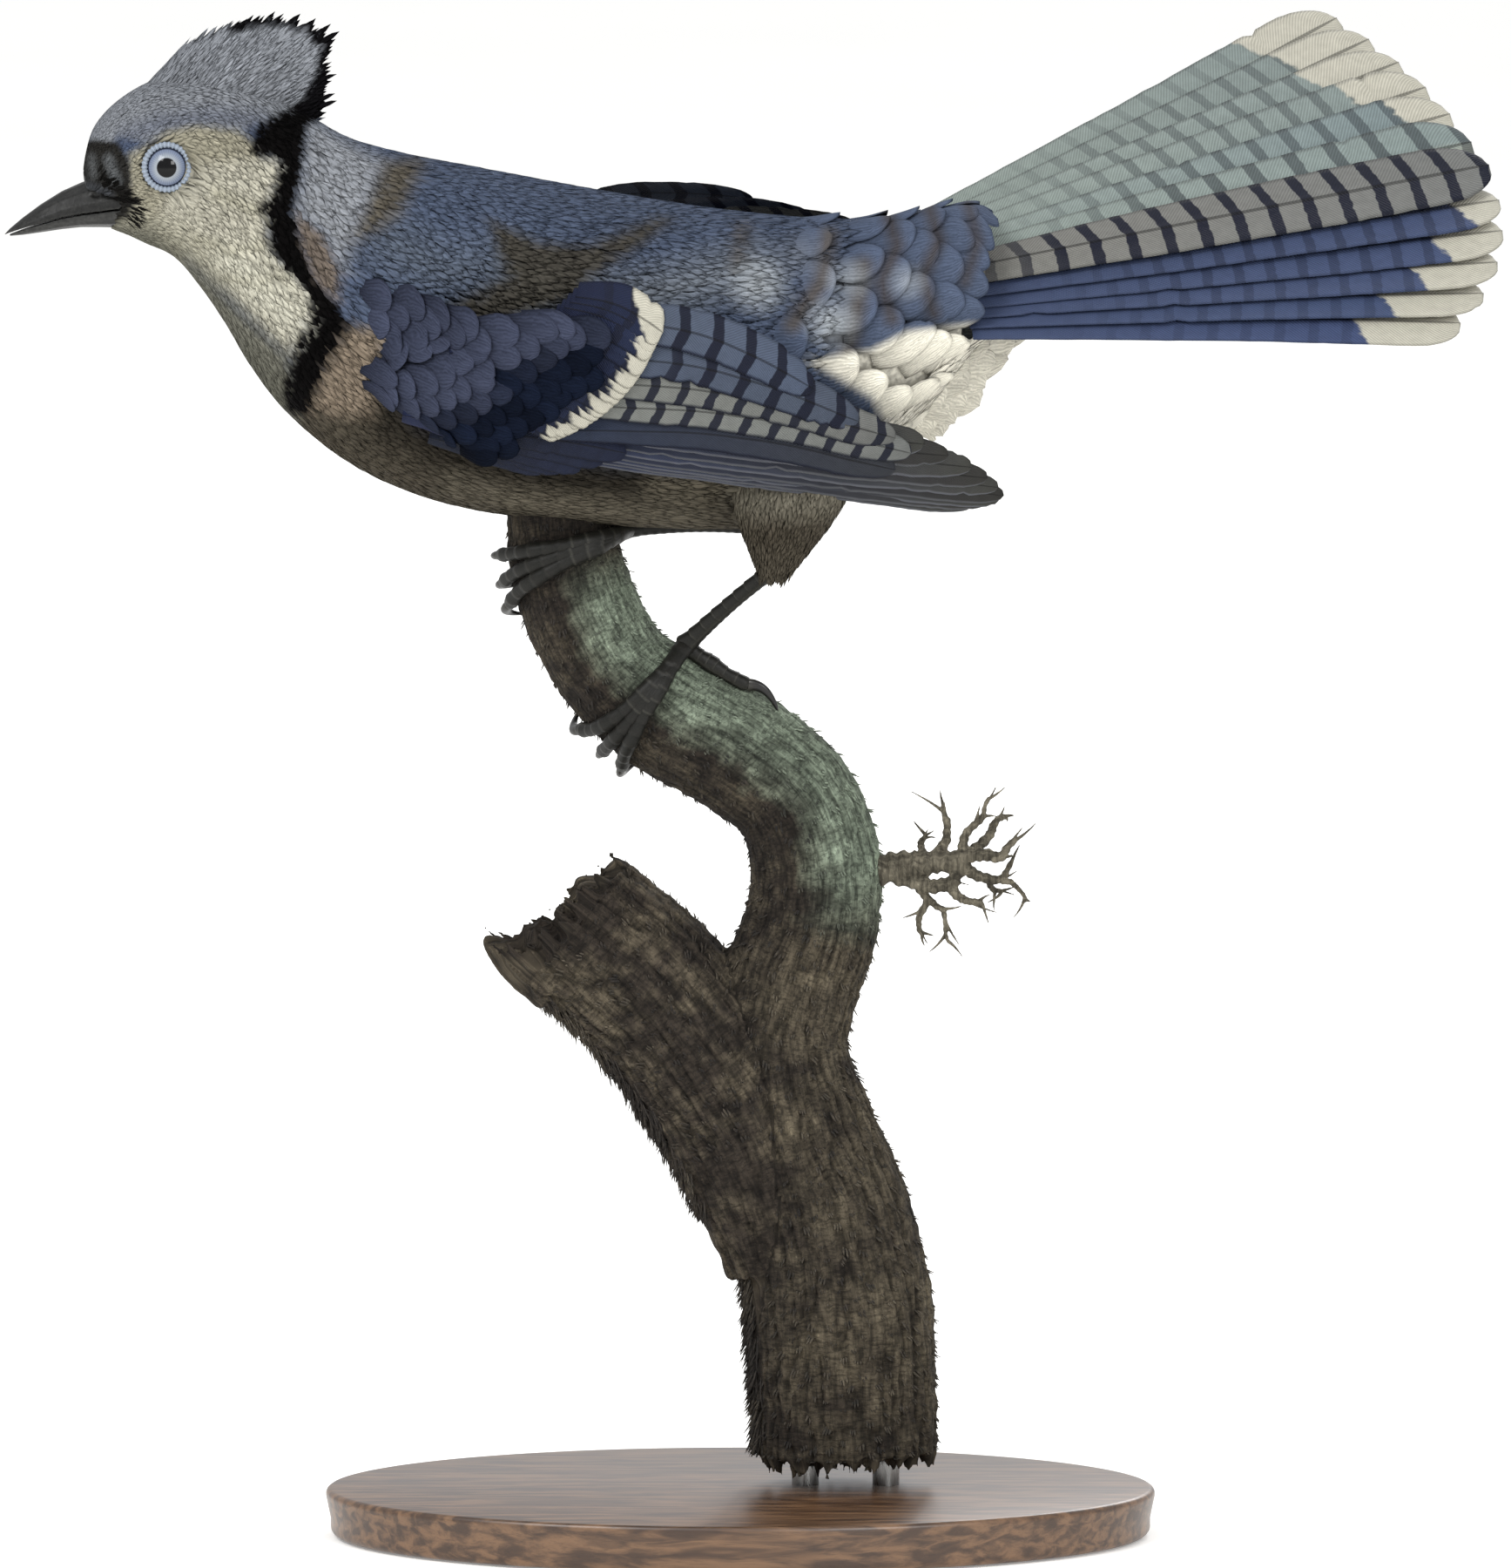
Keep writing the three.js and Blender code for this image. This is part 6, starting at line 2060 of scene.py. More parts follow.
@dataclass
class Tail:
    """A half open fan of twelve feathers, from the near side to the far one."""

    top: int = 5
    spread: Pair = (-16.8, 19.2)
    half_root: float = 12.4
    start: float = 8.0
    middle_length: float = 118.0
    outer_length: Pair = (101.5, 114.5)
    width: Pair = (14.5, 17.0)
    step: float = 0.28
    tilt: float = 0.13
    raised: float = 1.3
    bow: float = 1.5
    camber: float = 0.0005
    rounding: float = 2.2
    seed: int = 61
    blade: Vane = Vane(TAIL_VANE, step=1.9, columns=13, round_from=0.9, round_power=2.1, camber=0.3,
                       shaft=0.45, ragged=0.007, splits=0.02)
    paints: tuple[Paint, ...] = (
        Paint("38425c", "374261", inner="313b5a", bars=0.25, period=6.4, white=20.5),
        Paint("38425c", "394562", inner="323d5b", bars=0.3, period=6.4, phase=1.0, white=20.0),
        Paint("38425c", "3c4764", inner="343f5c", bars=0.36, period=6.2, phase=2.0, white=17.0),
        Paint("38425c", "3c4764", inner="343f5c", bars=0.42, period=6.2, phase=2.6, white=14.0),
        Paint("38425c", "3c4764", inner="343f5c", bars=0.46, period=6.0, phase=3.4, white=9.0),
        Paint("6e6d68", "666765", bars=0.98, period=7.2, phase=1.0, barred_from=-0.1),
        Paint("7d8680", "727d7b", inner="888d84", bars=0.6, period=8.4, phase=2.0),
        Paint("7d8680", "697577", inner="858a82", bars=0.5, period=7.2, phase=3.0, white=8.5),
        Paint("7d8680", "727c7a", inner="858a82", bars=0.42, period=7.0, phase=4.0, white=14.0),
        Paint("7d8680", "727c7a", inner="858a82", bars=0.4, period=7.0, phase=5.0, white=17.0),
        Paint("7d8680", "727c7a", inner="858a82", bars=0.36, period=6.8, white=17.0),
        Paint("7d8680", "727c7a", inner="858a82", bars=0.2, period=6.6, white=19.0),
    )

    def sheet(self, a: Array, b: Array, height: Array) -> Array:
        """Give the places over the tail's tilted sheet."""
        rise = (height - self.camber * b * b)[:, None]
        return TAIL_ROOT + a[:, None] * TAIL_AXIS + b[:, None] * TAIL_ACROSS + rise * TAIL_UP

    def build(self, stiff: bpy.types.Material) -> None:
        """Grow the fan.

        Args:
            stiff: The material of long feathers.
        """
        rng = np.random.default_rng(self.seed)
        parts = []
        count = len(self.paints)
        side = math.ceil(math.sqrt(count))
        for i, paint in enumerate(self.paints):
            out = 2 * i / (count - 1) - 1
            far = int(out > 0)
            angle = math.radians(abs(out) * self.spread[far])
            shorter = self.middle_length - self.outer_length[far]
            long = self.middle_length - shorter * abs(out) ** self.rounding
            ends = [np.array([reach * math.cos(angle), out * self.half_root + reach * math.sin(angle)])
                    for reach in (self.start, long)]
            width = self.width[1] - (self.width[1] - self.width[0]) * abs(out)
            below = i - self.top
            height = -self.step * abs(below) if below else self.raised
            parts.append(grow_vane(self.sheet, self.blade, *ends, -out * self.bow, width, height,
                                   self.tilt * np.sign(below), paint, np.sign(out), (i, side), rng))
        hand_in(Bundle.join(parts).to_object("tail_feathers"), stiff, Slot.BLUE, "tail")

    def undertail(self) -> UndertailForm:
        """Give the shape of the coverts that hang below the tail's root."""
        return UndertailForm(((6, -12), (-2, -21), (-8, -30)),
                             ((22, -12), (13.5, -20), (5.5, -28.5), (0.5, -36)), (8.6, 6.6))


# Crest

@dataclass
class Crest:
    """The raised crest, black along its rear edge and at its tips."""

    roots: tuple[Pair, ...] = ((-119.5, 272.6), (-113.5, 273.5), (-105, 274.5), (-97, 274.8), (-88, 269.5))
    tips: tuple[Pair, ...] = ((-105.5, 287.4), (-99.5, 290.0), (-95.5, 291.2), (-90.8, 291.8), (-85.8, 291.6),
                              (-81.0, 290.0), (-78.9, 287.0), (-78.9, 280.0), (-80.0, 272.4))
    halves: Pair = (9.0, 2.4)
    tufts: int = 30
    tuft_from: float = 0.3
    highest: float = 293.6
    gap: float = 0.85
    seed: int = 71

    def form(self) -> WedgeForm:
        """Give the shape of the crest."""
        return WedgeForm(self.roots, self.tips, self.halves)

    def build(self, soft: bpy.types.Material, markings: Markings) -> None:
        """Grow narrow feathers from the crown to the crest's edge, and pointed tufts beyond it.

        Args:
            soft: The material of small feathers.
            markings: The bird's pattern.
        """
        form = self.form()
        rng = np.random.default_rng(self.seed)
        s, t = scatter(form, self.gap, self.seed, 90000, (-0.2, 0.7))
        at = 0.5 - 0.5 * np.cos(t)
        root, tip = form.roots.share(at), form.tips.share(at)
        long = np.linalg.norm(tip - root, axis=1)
        length = np.minimum(rng.uniform(6.0, 10.0, len(s)), (1.02 - s) * long)
        streak = np.clip(0.5 + 1.1 * smooth_noise(np.stack([at * 22, s * 1.5], 1), 4), 0, 1)[:, None]
        light = (1.12 - 0.3 * streak) * rng.normal(1, 0.05, (len(s), 1))
        roots = Roots(s, t, length, length * 0.1 + 0.7, 0.4, light, rng.normal(0, 0.04, len(s)),
                      rng.uniform(-0.1, 0.15, len(s)))
        fine = grow(form, roots, Fan(locks=3, spread=9), self.seed, markings.tint)
        at = np.linspace(self.tuft_from, 0.99, self.tufts) + rng.normal(0, 0.006, self.tufts)
        t = np.arccos(1 - 2 * np.clip(at, 0, 1)) * rng.choice((-1, 1), self.tufts)
        length = rng.uniform(9.0, 12.0, self.tufts)
        root, tip = form.roots.share(at), form.tips.share(at)
        room = np.maximum(self.highest - tip[:, 1], 0.6) * 1.25
        long = np.linalg.norm(tip - root, axis=1)
        s = 1 + np.minimum(rng.uniform(1.6, 4.6, self.tufts), room) / long - length / long
        roots = Roots(s, t, length, 1.5, 0.2, np.ones((self.tufts, 1)), rng.normal(0, 0.06, self.tufts))
        tufts = grow(form, roots, Fan(locks=2, spread=3, rows=(0.0, 0.5, 0.82)), self.seed + 1, markings.tint)
        hand_in(Bundle.join([fine, tufts]).to_object("crest_feathers"), soft, Slot.BLUE, "crest")


# Branch

FRONT = np.array([0.0, -1.0, 0.0])


class Limb(Surface):
    """A length of branch: s counts its rows and t turns from its front toward its right."""

    middle_y = 3.0
    flat = 0.82
    step = 0.06

    def __init__(self, rows: Sequence[Point]) -> None:
        """Lay curves through rows of x, z and half width."""
        self.line = Curve([(x, self.middle_y, z) for x, z, _ in rows])
        self.halves = Curve([(i, half) for i, (_, _, half) in enumerate(rows)])
        self.first = (0.0, len(rows) - 1.0)

    def tangent(self, s: Array) -> Array:
        """Give the direction along the branch."""
        ahead = self.line.at(np.minimum(s + self.step, self.first[1]))
        return unit(ahead - self.line.at(np.maximum(s - self.step, 0.0)))

    def out(self, s: Array, t: Array) -> Array:
        """Give the direction straight out of the bark."""
        right = unit(np.cross(FRONT, self.tangent(s)))
        return np.cos(t)[:, None] * FRONT + np.sin(t)[:, None] * right

    def place(self, s: Array, t: Array, lift: Array) -> Array:
        """Give the places round the branch."""
        inside = np.clip(s, *self.first)
        half = self.halves.at(inside)[:, 1]
        right = unit(np.cross(FRONT, self.tangent(inside)))
        here = self.line.at(inside) + FRONT * (np.cos(t) * (half * self.flat + lift))[:, None]
        return here + right * (np.sin(t) * (half + lift))[:, None]


def rope(path: Array, out: Array, high: Array, wide: Array) -> tuple[Array, Array]:
    """Skin a tube whose rings are as high and wide as given at each of their points.

    Args:
        path: Its middle line.
        out: The direction of the rings' top at each place of the line.
        high: How far each ring point lies from the middle along out, rings by points.
        wide: The same across.

    Returns:
        The places and the triangles; the two last places close the ends.
    """
    tangent = unit(np.gradient(path, axis=0))
    up = unit(out - np.einsum("ij,ij->i", out, tangent)[:, None] * tangent)
    across = np.cross(tangent, up)
    turn = np.linspace(0, 2 * math.pi, high.shape[1], endpoint=False)
    rings = path[:, None, :] + up[:, None, :] * (high * np.cos(turn))[:, :, None]
    return tube_mesh(rings + across[:, None, :] * (wide * np.sin(turn))[:, :, None])


# Legs

@dataclass(frozen=True)
class Grip:
    """How one toe holds the branch: its shift along it, the angles where it starts and ends, and its bow."""

    shift: float
    start: float
    end: float
    bow: float = 1.5


@dataclass
class Leg:
    """One bare leg: a shank and four toes in plates of horn, and four claws."""

    side: Side
    heel: Point
    station: float
    angle: float
    grips: tuple[Grip, ...]
    limb: Limb
    branch_spacing: float = 11.6
    pad: float = 2.5
    pad_rest: float = 0.75
    shank: Pair = (1.75, 1.5)
    toe: Pair = (1.75, 1.35)
    toe_rest: float = 0.72
    # How many plates and knuckles a front toe and the hind toe have
    front: tuple[int, int] = (13, 3)
    hind: tuple[int, int] = (7, 2)
    sides: int = 24
    tints: tuple[str, str, str] = ("141411", "1b1a17", "41403a")
    claw_length: float = 7.0
    claw_half: Pair = (1.05, 0.16)
    claw_arch: float = 1.5
    claw_sides: int = 18
    claw_tints: tuple[str, str] = ("121110", "34322c")

    def plates(self, at: Array, count: float, relief: float) -> tuple[Array, Array]:
        """Work out the plates of horn along a shank or toe, which step at their ends and face up.

        Args:
            at: The share along of each ring.
            count: How many plates there are.
            relief: How high their ends rise, in millimetres.

        Returns:
            How much each ring point is raised, and its tint.
        """
        turn = np.linspace(0, 2 * math.pi, self.sides, endpoint=False)
        up = np.clip(1.6 * np.cos(turn) + 0.5, 0, 1)[None]
        part = ((at * count) % 1.0)[:, None]
        pads = 0.5 + 0.5 * np.sin(2 * math.pi * at * count * 1.7)[:, None]
        under = np.clip(-np.cos(turn), 0, 1)[None] * pads
        seam = np.exp(-((np.abs(np.mod(turn + math.pi, 2 * math.pi) - math.pi) - 1.75) / 0.14) ** 2)[None]
        raised = relief * (part ** 1.4 - 0.4) * up + relief * 0.5 * under - relief * 0.5 * seam
        edge = np.clip((part - 0.88) / 0.1, 0, 1) * up * 0.45 + seam * 0.5
        deep, mid, pale = (linear(code) for code in self.tints)
        ground = deep + (mid - deep) * part[..., None]
        return raised, ground + (pale - ground) * np.clip(edge, 0, 1)[..., None]

    def limb_part(self, path: Array, out: Array, half: Array, count: float, relief: float,
                  lean: float = 1.0) -> tuple[Array, Array, Array]:
        """Skin one shank or toe.

        Args:
            path: Its middle line.
            out: Where its top faces.
            half: Its half thickness along the line.
            count: How many plates it has.
            relief: How high they rise.
            lean: How much wider it is than high.

        Returns:
            The places, the triangles and the tints.
        """
        raised, tint = self.plates(np.linspace(0, 1, len(path)), count, relief)
        size = half[:, None] + raised
        verts, tris = rope(path, out, size, size * lean)
        ends = np.stack([tint[0].mean(0), tint[-1].mean(0)])
        return verts, tris, np.vstack([tint.reshape(-1, 3), ends])

    def toe_path(self, grip: Grip, at: Array, above: Array) -> tuple[Array, Array]:
        """Give the middle line of a toe and the direction out of the bark along it."""
        s = self.station + grip.shift / self.branch_spacing * at ** grip.bow
        t = np.radians(grip.start + (grip.end - grip.start) * at)
        return self.limb.place(s, t, above), self.limb.out(s, t)

    def build(self, horn: bpy.types.Material, claw_horn: bpy.types.Material) -> None:
        """Make the shank, the toes and the claws.

        Args:
            horn: The finish of the plates.
            claw_horn: The finish of the claws.
        """
        name = self.side.word
        root = (np.array([self.station]), np.radians([self.angle]))
        pad = self.limb.place(*root, np.array([self.pad * self.pad_rest]))[0]
        at = np.linspace(0, 1, 90)
        heel = np.array(self.heel)
        path = heel + (pad - heel) * at[:, None]
        path[:, 2] += 0.5 * np.sin(math.pi * at)
        half = self.shank[0] + (self.shank[1] - self.shank[0]) * np.sin(math.pi * np.clip(at * 1.1, 0, 1))
        half = half + 0.5 * np.clip((at - 0.86) / 0.14, 0, 1) ** 2
        ahead = np.broadcast_to(np.array([-1.0, 0.35 * self.side.value, 0.5]), path.shape)
        parts = [self.limb_part(path, ahead, half, 9, 0.2, 0.86)]
        for grip in self.grips:
            plates, knuckles = self.hind if grip is self.grips[-1] else self.front
            size = self.toe[0] + (self.toe[1] - self.toe[0]) * at
            size = size * (1 + 0.09 * np.cos(2 * math.pi * at * knuckles))
            path, out = self.toe_path(grip, at, size * self.toe_rest)
            blend = np.clip(1 - at / 0.14, 0, 1)[:, None] ** 1.5
            path = path * (1 - blend) + pad * blend
            last = np.clip((at - 0.93) / 0.07, 0, 1)
            parts.append(self.limb_part(path, out, size * (1 - 0.35 * last ** 2), plates, 0.17))
        skin = new_object(f"leg_{name}", *join_meshes([part[:2] for part in parts]))
        colour_points(skin, "Tint", np.vstack([part[2] for part in parts]))
        hand_in(skin, horn, Slot.LEG, f"tarsus_{name}", f"foot_{name}")
        for i, grip in enumerate(self.grips):
            self.claw(f"{name}_{i + 1}", grip, claw_horn)

    def claw(self, name: str, grip: Grip, horn: bpy.types.Material) -> None:
        """Make one curved claw that goes on round the bark from its toe's end.

        Args:
            name: The foot and the toe's number.
            grip: How the toe holds the branch.
            horn: Its finish.
        """
        at = np.linspace(0, 1, 26)
        ends, _ = self.toe_path(grip, np.array([0.98, 1.0]), np.full(2, self.toe[1] * self.toe_rest))
        step = 0.02 / float(np.linalg.norm(ends[1] - ends[0]))
        lift = self.toe[1] * self.toe_rest * (1 - at) + self.claw_arch * np.sin(math.pi * at ** 0.8)
        path, out = self.toe_path(grip, 0.985 + at * self.claw_length * step, lift)
        half = self.claw_half[0] * (1 - at) ** 0.75 + self.claw_half[1]
        sizes = np.broadcast_to(half[:, None], (len(at), self.claw_sides))
        piece = new_object(f"claw_{name}_horn", *rope(path, out, sizes * 1.1, sizes * 0.8))
        dark, pale = (linear(code) for code in self.claw_tints)
        tint = dark + (pale - dark) * np.clip(1 - at / 0.3, 0, 1)[:, None] ** 2
        tint = np.repeat(tint, self.claw_sides, axis=0)
        colour_points(piece, "Tint", np.vstack([tint, tint[:1], tint[-1:]]))
        hand_in(piece, horn, Slot.LEG, f"claw_{name}")


# Perch

@dataclass
class Perch:
    """The cut length of branch: bark, the broken stub, the twig, flakes and hanging fibres."""

    # The branch from its upper end down, and the stub from the trunk out: x, z and half width
    limb_rows: tuple[Point, ...] = (
        (-34.9, 199.5, 10.2), (-33.2, 187.1, 11.2), (-30.0, 177.3, 11.5), (-24.2, 167.2, 11.5),
        (-14.0, 158.6, 12.5), (0.3, 150.5, 12.5), (10.0, 142.1, 12.3), (14.3, 130.8, 12.8),
        (13.7, 118.2, 13.2), (9.7, 106.5, 13.6), (7.4, 94.7, 13.6), (10.6, 77.9, 15.6),
        (16.3, 61.1, 16.8), (19.0, 44.3, 18.2), (20.0, 27.5, 18.0), (20.3, 15.5, 17.9))
    stub_rows: tuple[Point, ...] = (
        (10.0, 52.0, 13.0), (6.0, 66.0, 15.0), (-2.0, 84.0, 16.4), (-16.8, 104.6, 16.2), (-32.2, 117.8, 15.8))
    # The big splinters of the break: place across it, reach and half width
    splinters: tuple[Point, ...] = (
        (-12.8, 2.5, 3.6), (-7.0, 5.0, 4.6), (-0.5, 4.5, 4.8), (6.5, 7.0, 4.5), (13.0, 11.5, 4.2))
    slivers: int = 150
    fibres: int = 190
    # The twig's shoots: half width at both ends, and the places they pass
    shoots: tuple[tuple[Pair, tuple[Point, ...]], ...] = (
        ((3.4, 1.9), ((24, 3, 128), (34, 2.4, 129.2), (42.5, 2, 130.2))),
        ((1.9, 0.7), ((41, 2, 130.2), (45.5, 1, 131.4), (49.5, -0.6, 131), (52.5, -1.6, 134.6))),
        ((1.0, 0.5), ((35, 2.4, 129.5), (34.8, 3.5, 133.6), (35.6, 4, 134.8))),
        ((1.3, 0.5), ((37.5, 2.2, 130), (39.6, 3.4, 135.5), (38.8, 4.6, 140.2))),
        ((1.2, 0.45), ((42.5, 2, 130.5), (43.4, 1, 135.4), (46.2, 0, 138.5), (47.2, -0.6, 142.5))),
        ((1.3, 0.5), ((43, 2, 131), (47.5, 3.6, 134.4), (49.3, 4.6, 137.4), (50.8, 5.2, 138.2))),
        ((1.5, 0.6), ((42, 2, 130), (45, 2.6, 127.4), (49.5, 3, 126.2), (52, 2.2, 129.8))),
        ((0.9, 0.45), ((47.4, 2.8, 126.8), (48.2, 4.4, 124.4), (50.2, 5.4, 123.6))),
        ((0.8, 0.45), ((49.4, 3, 126.3), (52.6, 1.6, 125.4), (54.8, 0.8, 122.6))),
        ((1.7, 1.2), ((30, 2.8, 127), (36.8, 1.4, 125.2), (40.6, 1.2, 126), (42, 1.8, 128.8))),
        ((1.3, 0.6), ((39.4, 1.2, 125.6), (42.4, 0.4, 123), (46.6, -0.4, 122.2))),
        ((1.1, 0.5), ((33.6, 2, 126), (35.6, 3, 122.6), (34, 3.8, 117.6), (34.8, 4.2, 115.6))),
        ((0.9, 0.45), ((35.4, 3, 122.8), (38.6, 2.2, 120.4), (39.6, 1.6, 114.4))),
    )
    shoot_rings: int = 30
    bark_sides: int = 72
    voxel: float = 0.62
    twig_voxel: float = 0.22
    brown: str = "26211c"
    pale: str = "5d5546"
    green: str = "727c6c"
    twig_tint: str = "5d584c"
    bark_seed: int = 81
    twig_seed: int = 83
    flake_seed: int = 91

    def __post_init__(self) -> None:
        """Lay the branch and the stub."""
        self.limb = Limb(self.limb_rows)
        self.stub = Limb(self.stub_rows)

    def spike(self, foot: Array, run: Array, reach: float, half: float,
              deep: float = 1.0) -> tuple[Array, Array]:
        """Make one tapered splinter that starts below the break."""
        at = np.linspace(0, 1, 9)
        path = foot + run * (reach * at)[:, None]
        size = half * np.interp(at, (0, 0.55, 0.85, 1), (1, 0.9, 0.55, 0.12))
        sizes = np.broadcast_to(size[:, None], (9, 10))
        side = np.cross(run, [0.0, 1.0, 0.0])
        return rope(path, np.broadcast_to(side, path.shape), sizes, sizes * deep)

    def broken_end(self, rng: np.random.Generator) -> list[tuple[Array, Array]]:
        """Make the stub's break: five big splinters and many small ones between them."""
        end = self.stub.line.at(np.array([self.stub.first[1]]))[0]
        run = self.stub.tangent(np.array([self.stub.first[1]]))[0]
        side = np.cross(run, [0.0, 1.0, 0.0])
        parts = []
        for across, reach, half in self.splinters:
            deep = math.sqrt(1 - (across / 17.0) ** 2) * 2.2
            parts.append(self.spike(end + side * across - run * 6, run, reach + 6, half, deep))
        lanes, reaches, _ = zip(*self.splinters)
        for _ in range(self.slivers):
            across, deep = rng.uniform(-15, 15), rng.uniform(-1, 1)
            deep = deep * 12.2 * math.sqrt(1 - (across / 15.6) ** 2)
            reach = np.interp(across, lanes, reaches) * rng.uniform(0.35, 1.05) + rng.uniform(0, 1.2)
            lean = unit(run + rng.normal(0, 0.05, 3))
            foot = end + side * across + np.array([0, deep, 0]) - lean * 5
            parts.append(self.spike(foot, lean, reach + 5, rng.uniform(0.7, 1.6)))
        return parts

    def frayed_foot(self, rng: np.random.Generator) -> list[tuple[Array, Array]]:
        """Make the torn fibres under the trunk."""
        last = self.limb.first[1]
        parts = []
        for _ in range(self.fibres):
            turn, inward = rng.uniform(-math.pi, math.pi), rng.uniform(0, 1) ** 2 * 11
            foot = self.limb.place(np.array([last]), np.array([turn]), np.array([-1.0 - inward]))[0]
            run = unit(np.array([rng.normal(0, 0.06), rng.normal(0, 0.06), -1.0]))
            parts.append(self.spike(foot - run * 4, run, 4 + rng.uniform(0.8, 4.6), rng.uniform(0.6, 1.5)))
        return parts

    def read_grain(self, places: Array) -> tuple[Array, Array, Array, Array]:
        """Find where places lie on the trunk or the stub, whichever is nearer.

        Args:
            places: Places on the bark.

        Returns:
            Whether each is on the stub, its row, its angle, and how far along it is in millimetres.
        """
        found = []
        for limb in (self.limb, self.stub):
            s = np.linspace(*limb.first, 400)
            line = limb.line.at(s)
            along = np.concatenate([[0], np.cumsum(np.linalg.norm(np.diff(line, axis=0), axis=1))])
            near = ((places[:, None, [0, 2]] - line[None][:, :, [0, 2]]) ** 2).sum(2).argmin(1)
            away = places - line[near]
            right = np.cross(FRONT, limb.tangent(s[near]))
            half = limb.halves.at(s[near])[:, 1]
            x, y = np.einsum("ij,ij->i", away, right), away @ FRONT / limb.flat
            found.append((np.hypot(x, y) / half, s[near], np.arctan2(x, y), along[near]))
        on_stub = found[1][0] < found[0][0] - 0.02
        picked = [np.where(on_stub, found[1][i], found[0][i]) for i in (1, 2, 3)]
        return (on_stub, *picked)

    def bark_tint(self, on_stub: Array, row: Array, turn: Array, places: Array) -> Array:
        """Colour the bark: brown, with painted light making its right side paler, green on top of the upper
        bend.
        """
        light = smooth_noise(places / 9.0, 12) * 0.35 + smooth_noise(places / 2.4, 13) * 0.3
        # Painted light: the side toward the lamps is paler
        painted_light_side = np.clip(np.cos(turn - math.radians(40)), 0, 1)
        pale = np.clip(0.12 + light + 0.3 * painted_light_side * (row > 8), 0, 1)[:, None]
        tint = linear(self.brown) * (1 - pale) + linear(self.pale) * pale
        tint = tint * np.where(on_stub, 1.35, 1.0)[:, None]
        upper = np.clip(np.minimum(row - 0.8, 8.2 - row) / 1.0, 0, 1) * ~on_stub
        green = np.clip(np.cos(turn - math.radians(60)) * 1.5 - 0.3 + light * 0.8, 0, 1) * upper
        return tint * (1 - green[:, None]) + linear(self.green) * (0.8 + light[:, None]) * green[:, None]

    def bark(self, finish: bpy.types.Material) -> None:
        """Fuse the trunk, the stub and their torn ends, then cut furrows and cracks into them.

        Args:
            finish: The bark's material.
        """
        rng = np.random.default_rng(self.bark_seed)
        parts = []
        for limb, rows in ((self.limb, 240), (self.stub, 90)):
            s = np.repeat(np.linspace(*limb.first, rows), self.bark_sides)
            t = np.tile(np.linspace(-math.pi, math.pi, self.bark_sides, endpoint=False), rows)
            rings = limb.place(s, t, np.full(len(s), -0.2)).reshape(rows, self.bark_sides, 3)
            parts.append(tube_mesh(rings))
        parts += self.broken_end(rng) + self.frayed_foot(rng)
        thing = new_object("perch_bark", *join_meshes(parts))
        refine(thing, self.voxel, 2)
        places, normals = places_of(thing)
        on_stub, row, turn, along = self.read_grain(places)
        around = turn * 15.0
        rough = np.where(on_stub, 1.0, np.clip((row - 6.5) / 2.5, 0.3, 1.0))
        seam = np.stack([along / 13.0, around / 2.3], 1)
        warp = smooth_noise(np.stack([along / 6, around / 5], 1), 21) * 0.5
        furrow = 1 - np.abs(smooth_noise(seam + warp[:, None] * np.array([0, 1]), 22)) * 2.4
        wrinkle = smooth_noise(np.stack([along / 1.3, around / 4.5], 1), 23)
        pit = smooth_noise(places / 1.5, 24)
        height = -0.85 * np.clip(furrow, 0, 1) ** 2 * rough + 0.2 * wrinkle + 0.2 * pit - 0.1
        move_to(thing, places + normals * np.clip(height, -1.4, 0.3)[:, None])
        colour_points(thing, "Grain", np.stack([along, around, on_stub.astype(float)], 1))
        tint = self.bark_tint(on_stub, row, turn, places) * (1 - 0.45 * np.clip(furrow, 0, 1) ** 2)[:, None]
        colour_points(thing, "Tint", np.clip(tint, 0, 1))
        hand_in(thing, finish, Slot.BARK, "perch_branch", "perch_middle", "perch_trunk", "perch_stub")

    def twig(self, finish: bpy.types.Material) -> None:
        """Fork the twig into its shoots and set finer ones on them.

        Args:
            finish: The bark's material.
        """
        rng = np.random.default_rng(self.twig_seed)
        ring = np.arange(self.shoot_rings)
        parts = []
        for i, (halves, rows) in enumerate(self.shoots):
            path = Curve(rows).at(np.linspace(0, len(rows) - 1, len(ring)))
            path += np.stack([smooth_noise(np.stack([ring / 5, np.full(len(ring), 3.0 * j + i)], 1), 25)
                              for j in range(3)], 1) * 0.25
            half = np.linspace(*halves, len(ring)) * (1 + 0.14 * np.sin(ring * 1.9)) - 0.1
            parts.append(self.stick(path, half))
            for at in () if halves[0] > 3 else (14, 20, 26, 29):
                run = unit(path[at] - path[at - 2] + rng.normal(0, 0.32, 3))
                step = np.linspace(0, 1, 10)[:, None]
                bend = rng.normal(0, 1.0, 3) * np.array([1, 0.6, 1])
                fine = path[at] + run * step * rng.uniform(2.4, 5.2) + bend * step ** 2
                parts.append(self.stick(fine, np.linspace(0.4, 0.14, 10)))
        thing = new_object("perch_twig_bark", *join_meshes(parts))
        refine(thing, self.twig_voxel, 1)
        places, _ = places_of(thing)
        grain = np.stack([places[:, 0], places[:, 2] * 0.6 + places[:, 1], np.zeros(len(places))], 1)
        colour_points(thing, "Grain", grain)
        light = 1 + 0.3 * smooth_noise(places / 1.6, 26)
        colour_points(thing, "Tint", linear(self.twig_tint) * light[:, None])
        hand_in(thing, finish, Slot.BARK, "perch_twig")

    @staticmethod
    def stick(path: Array, half: Array) -> tuple[Array, Array]:
        """Skin one round shoot."""
        sizes = np.broadcast_to(half[:, None], (len(half), 12))
        return rope(path, np.broadcast_to(FRONT, path.shape) + 0.01, sizes, sizes)

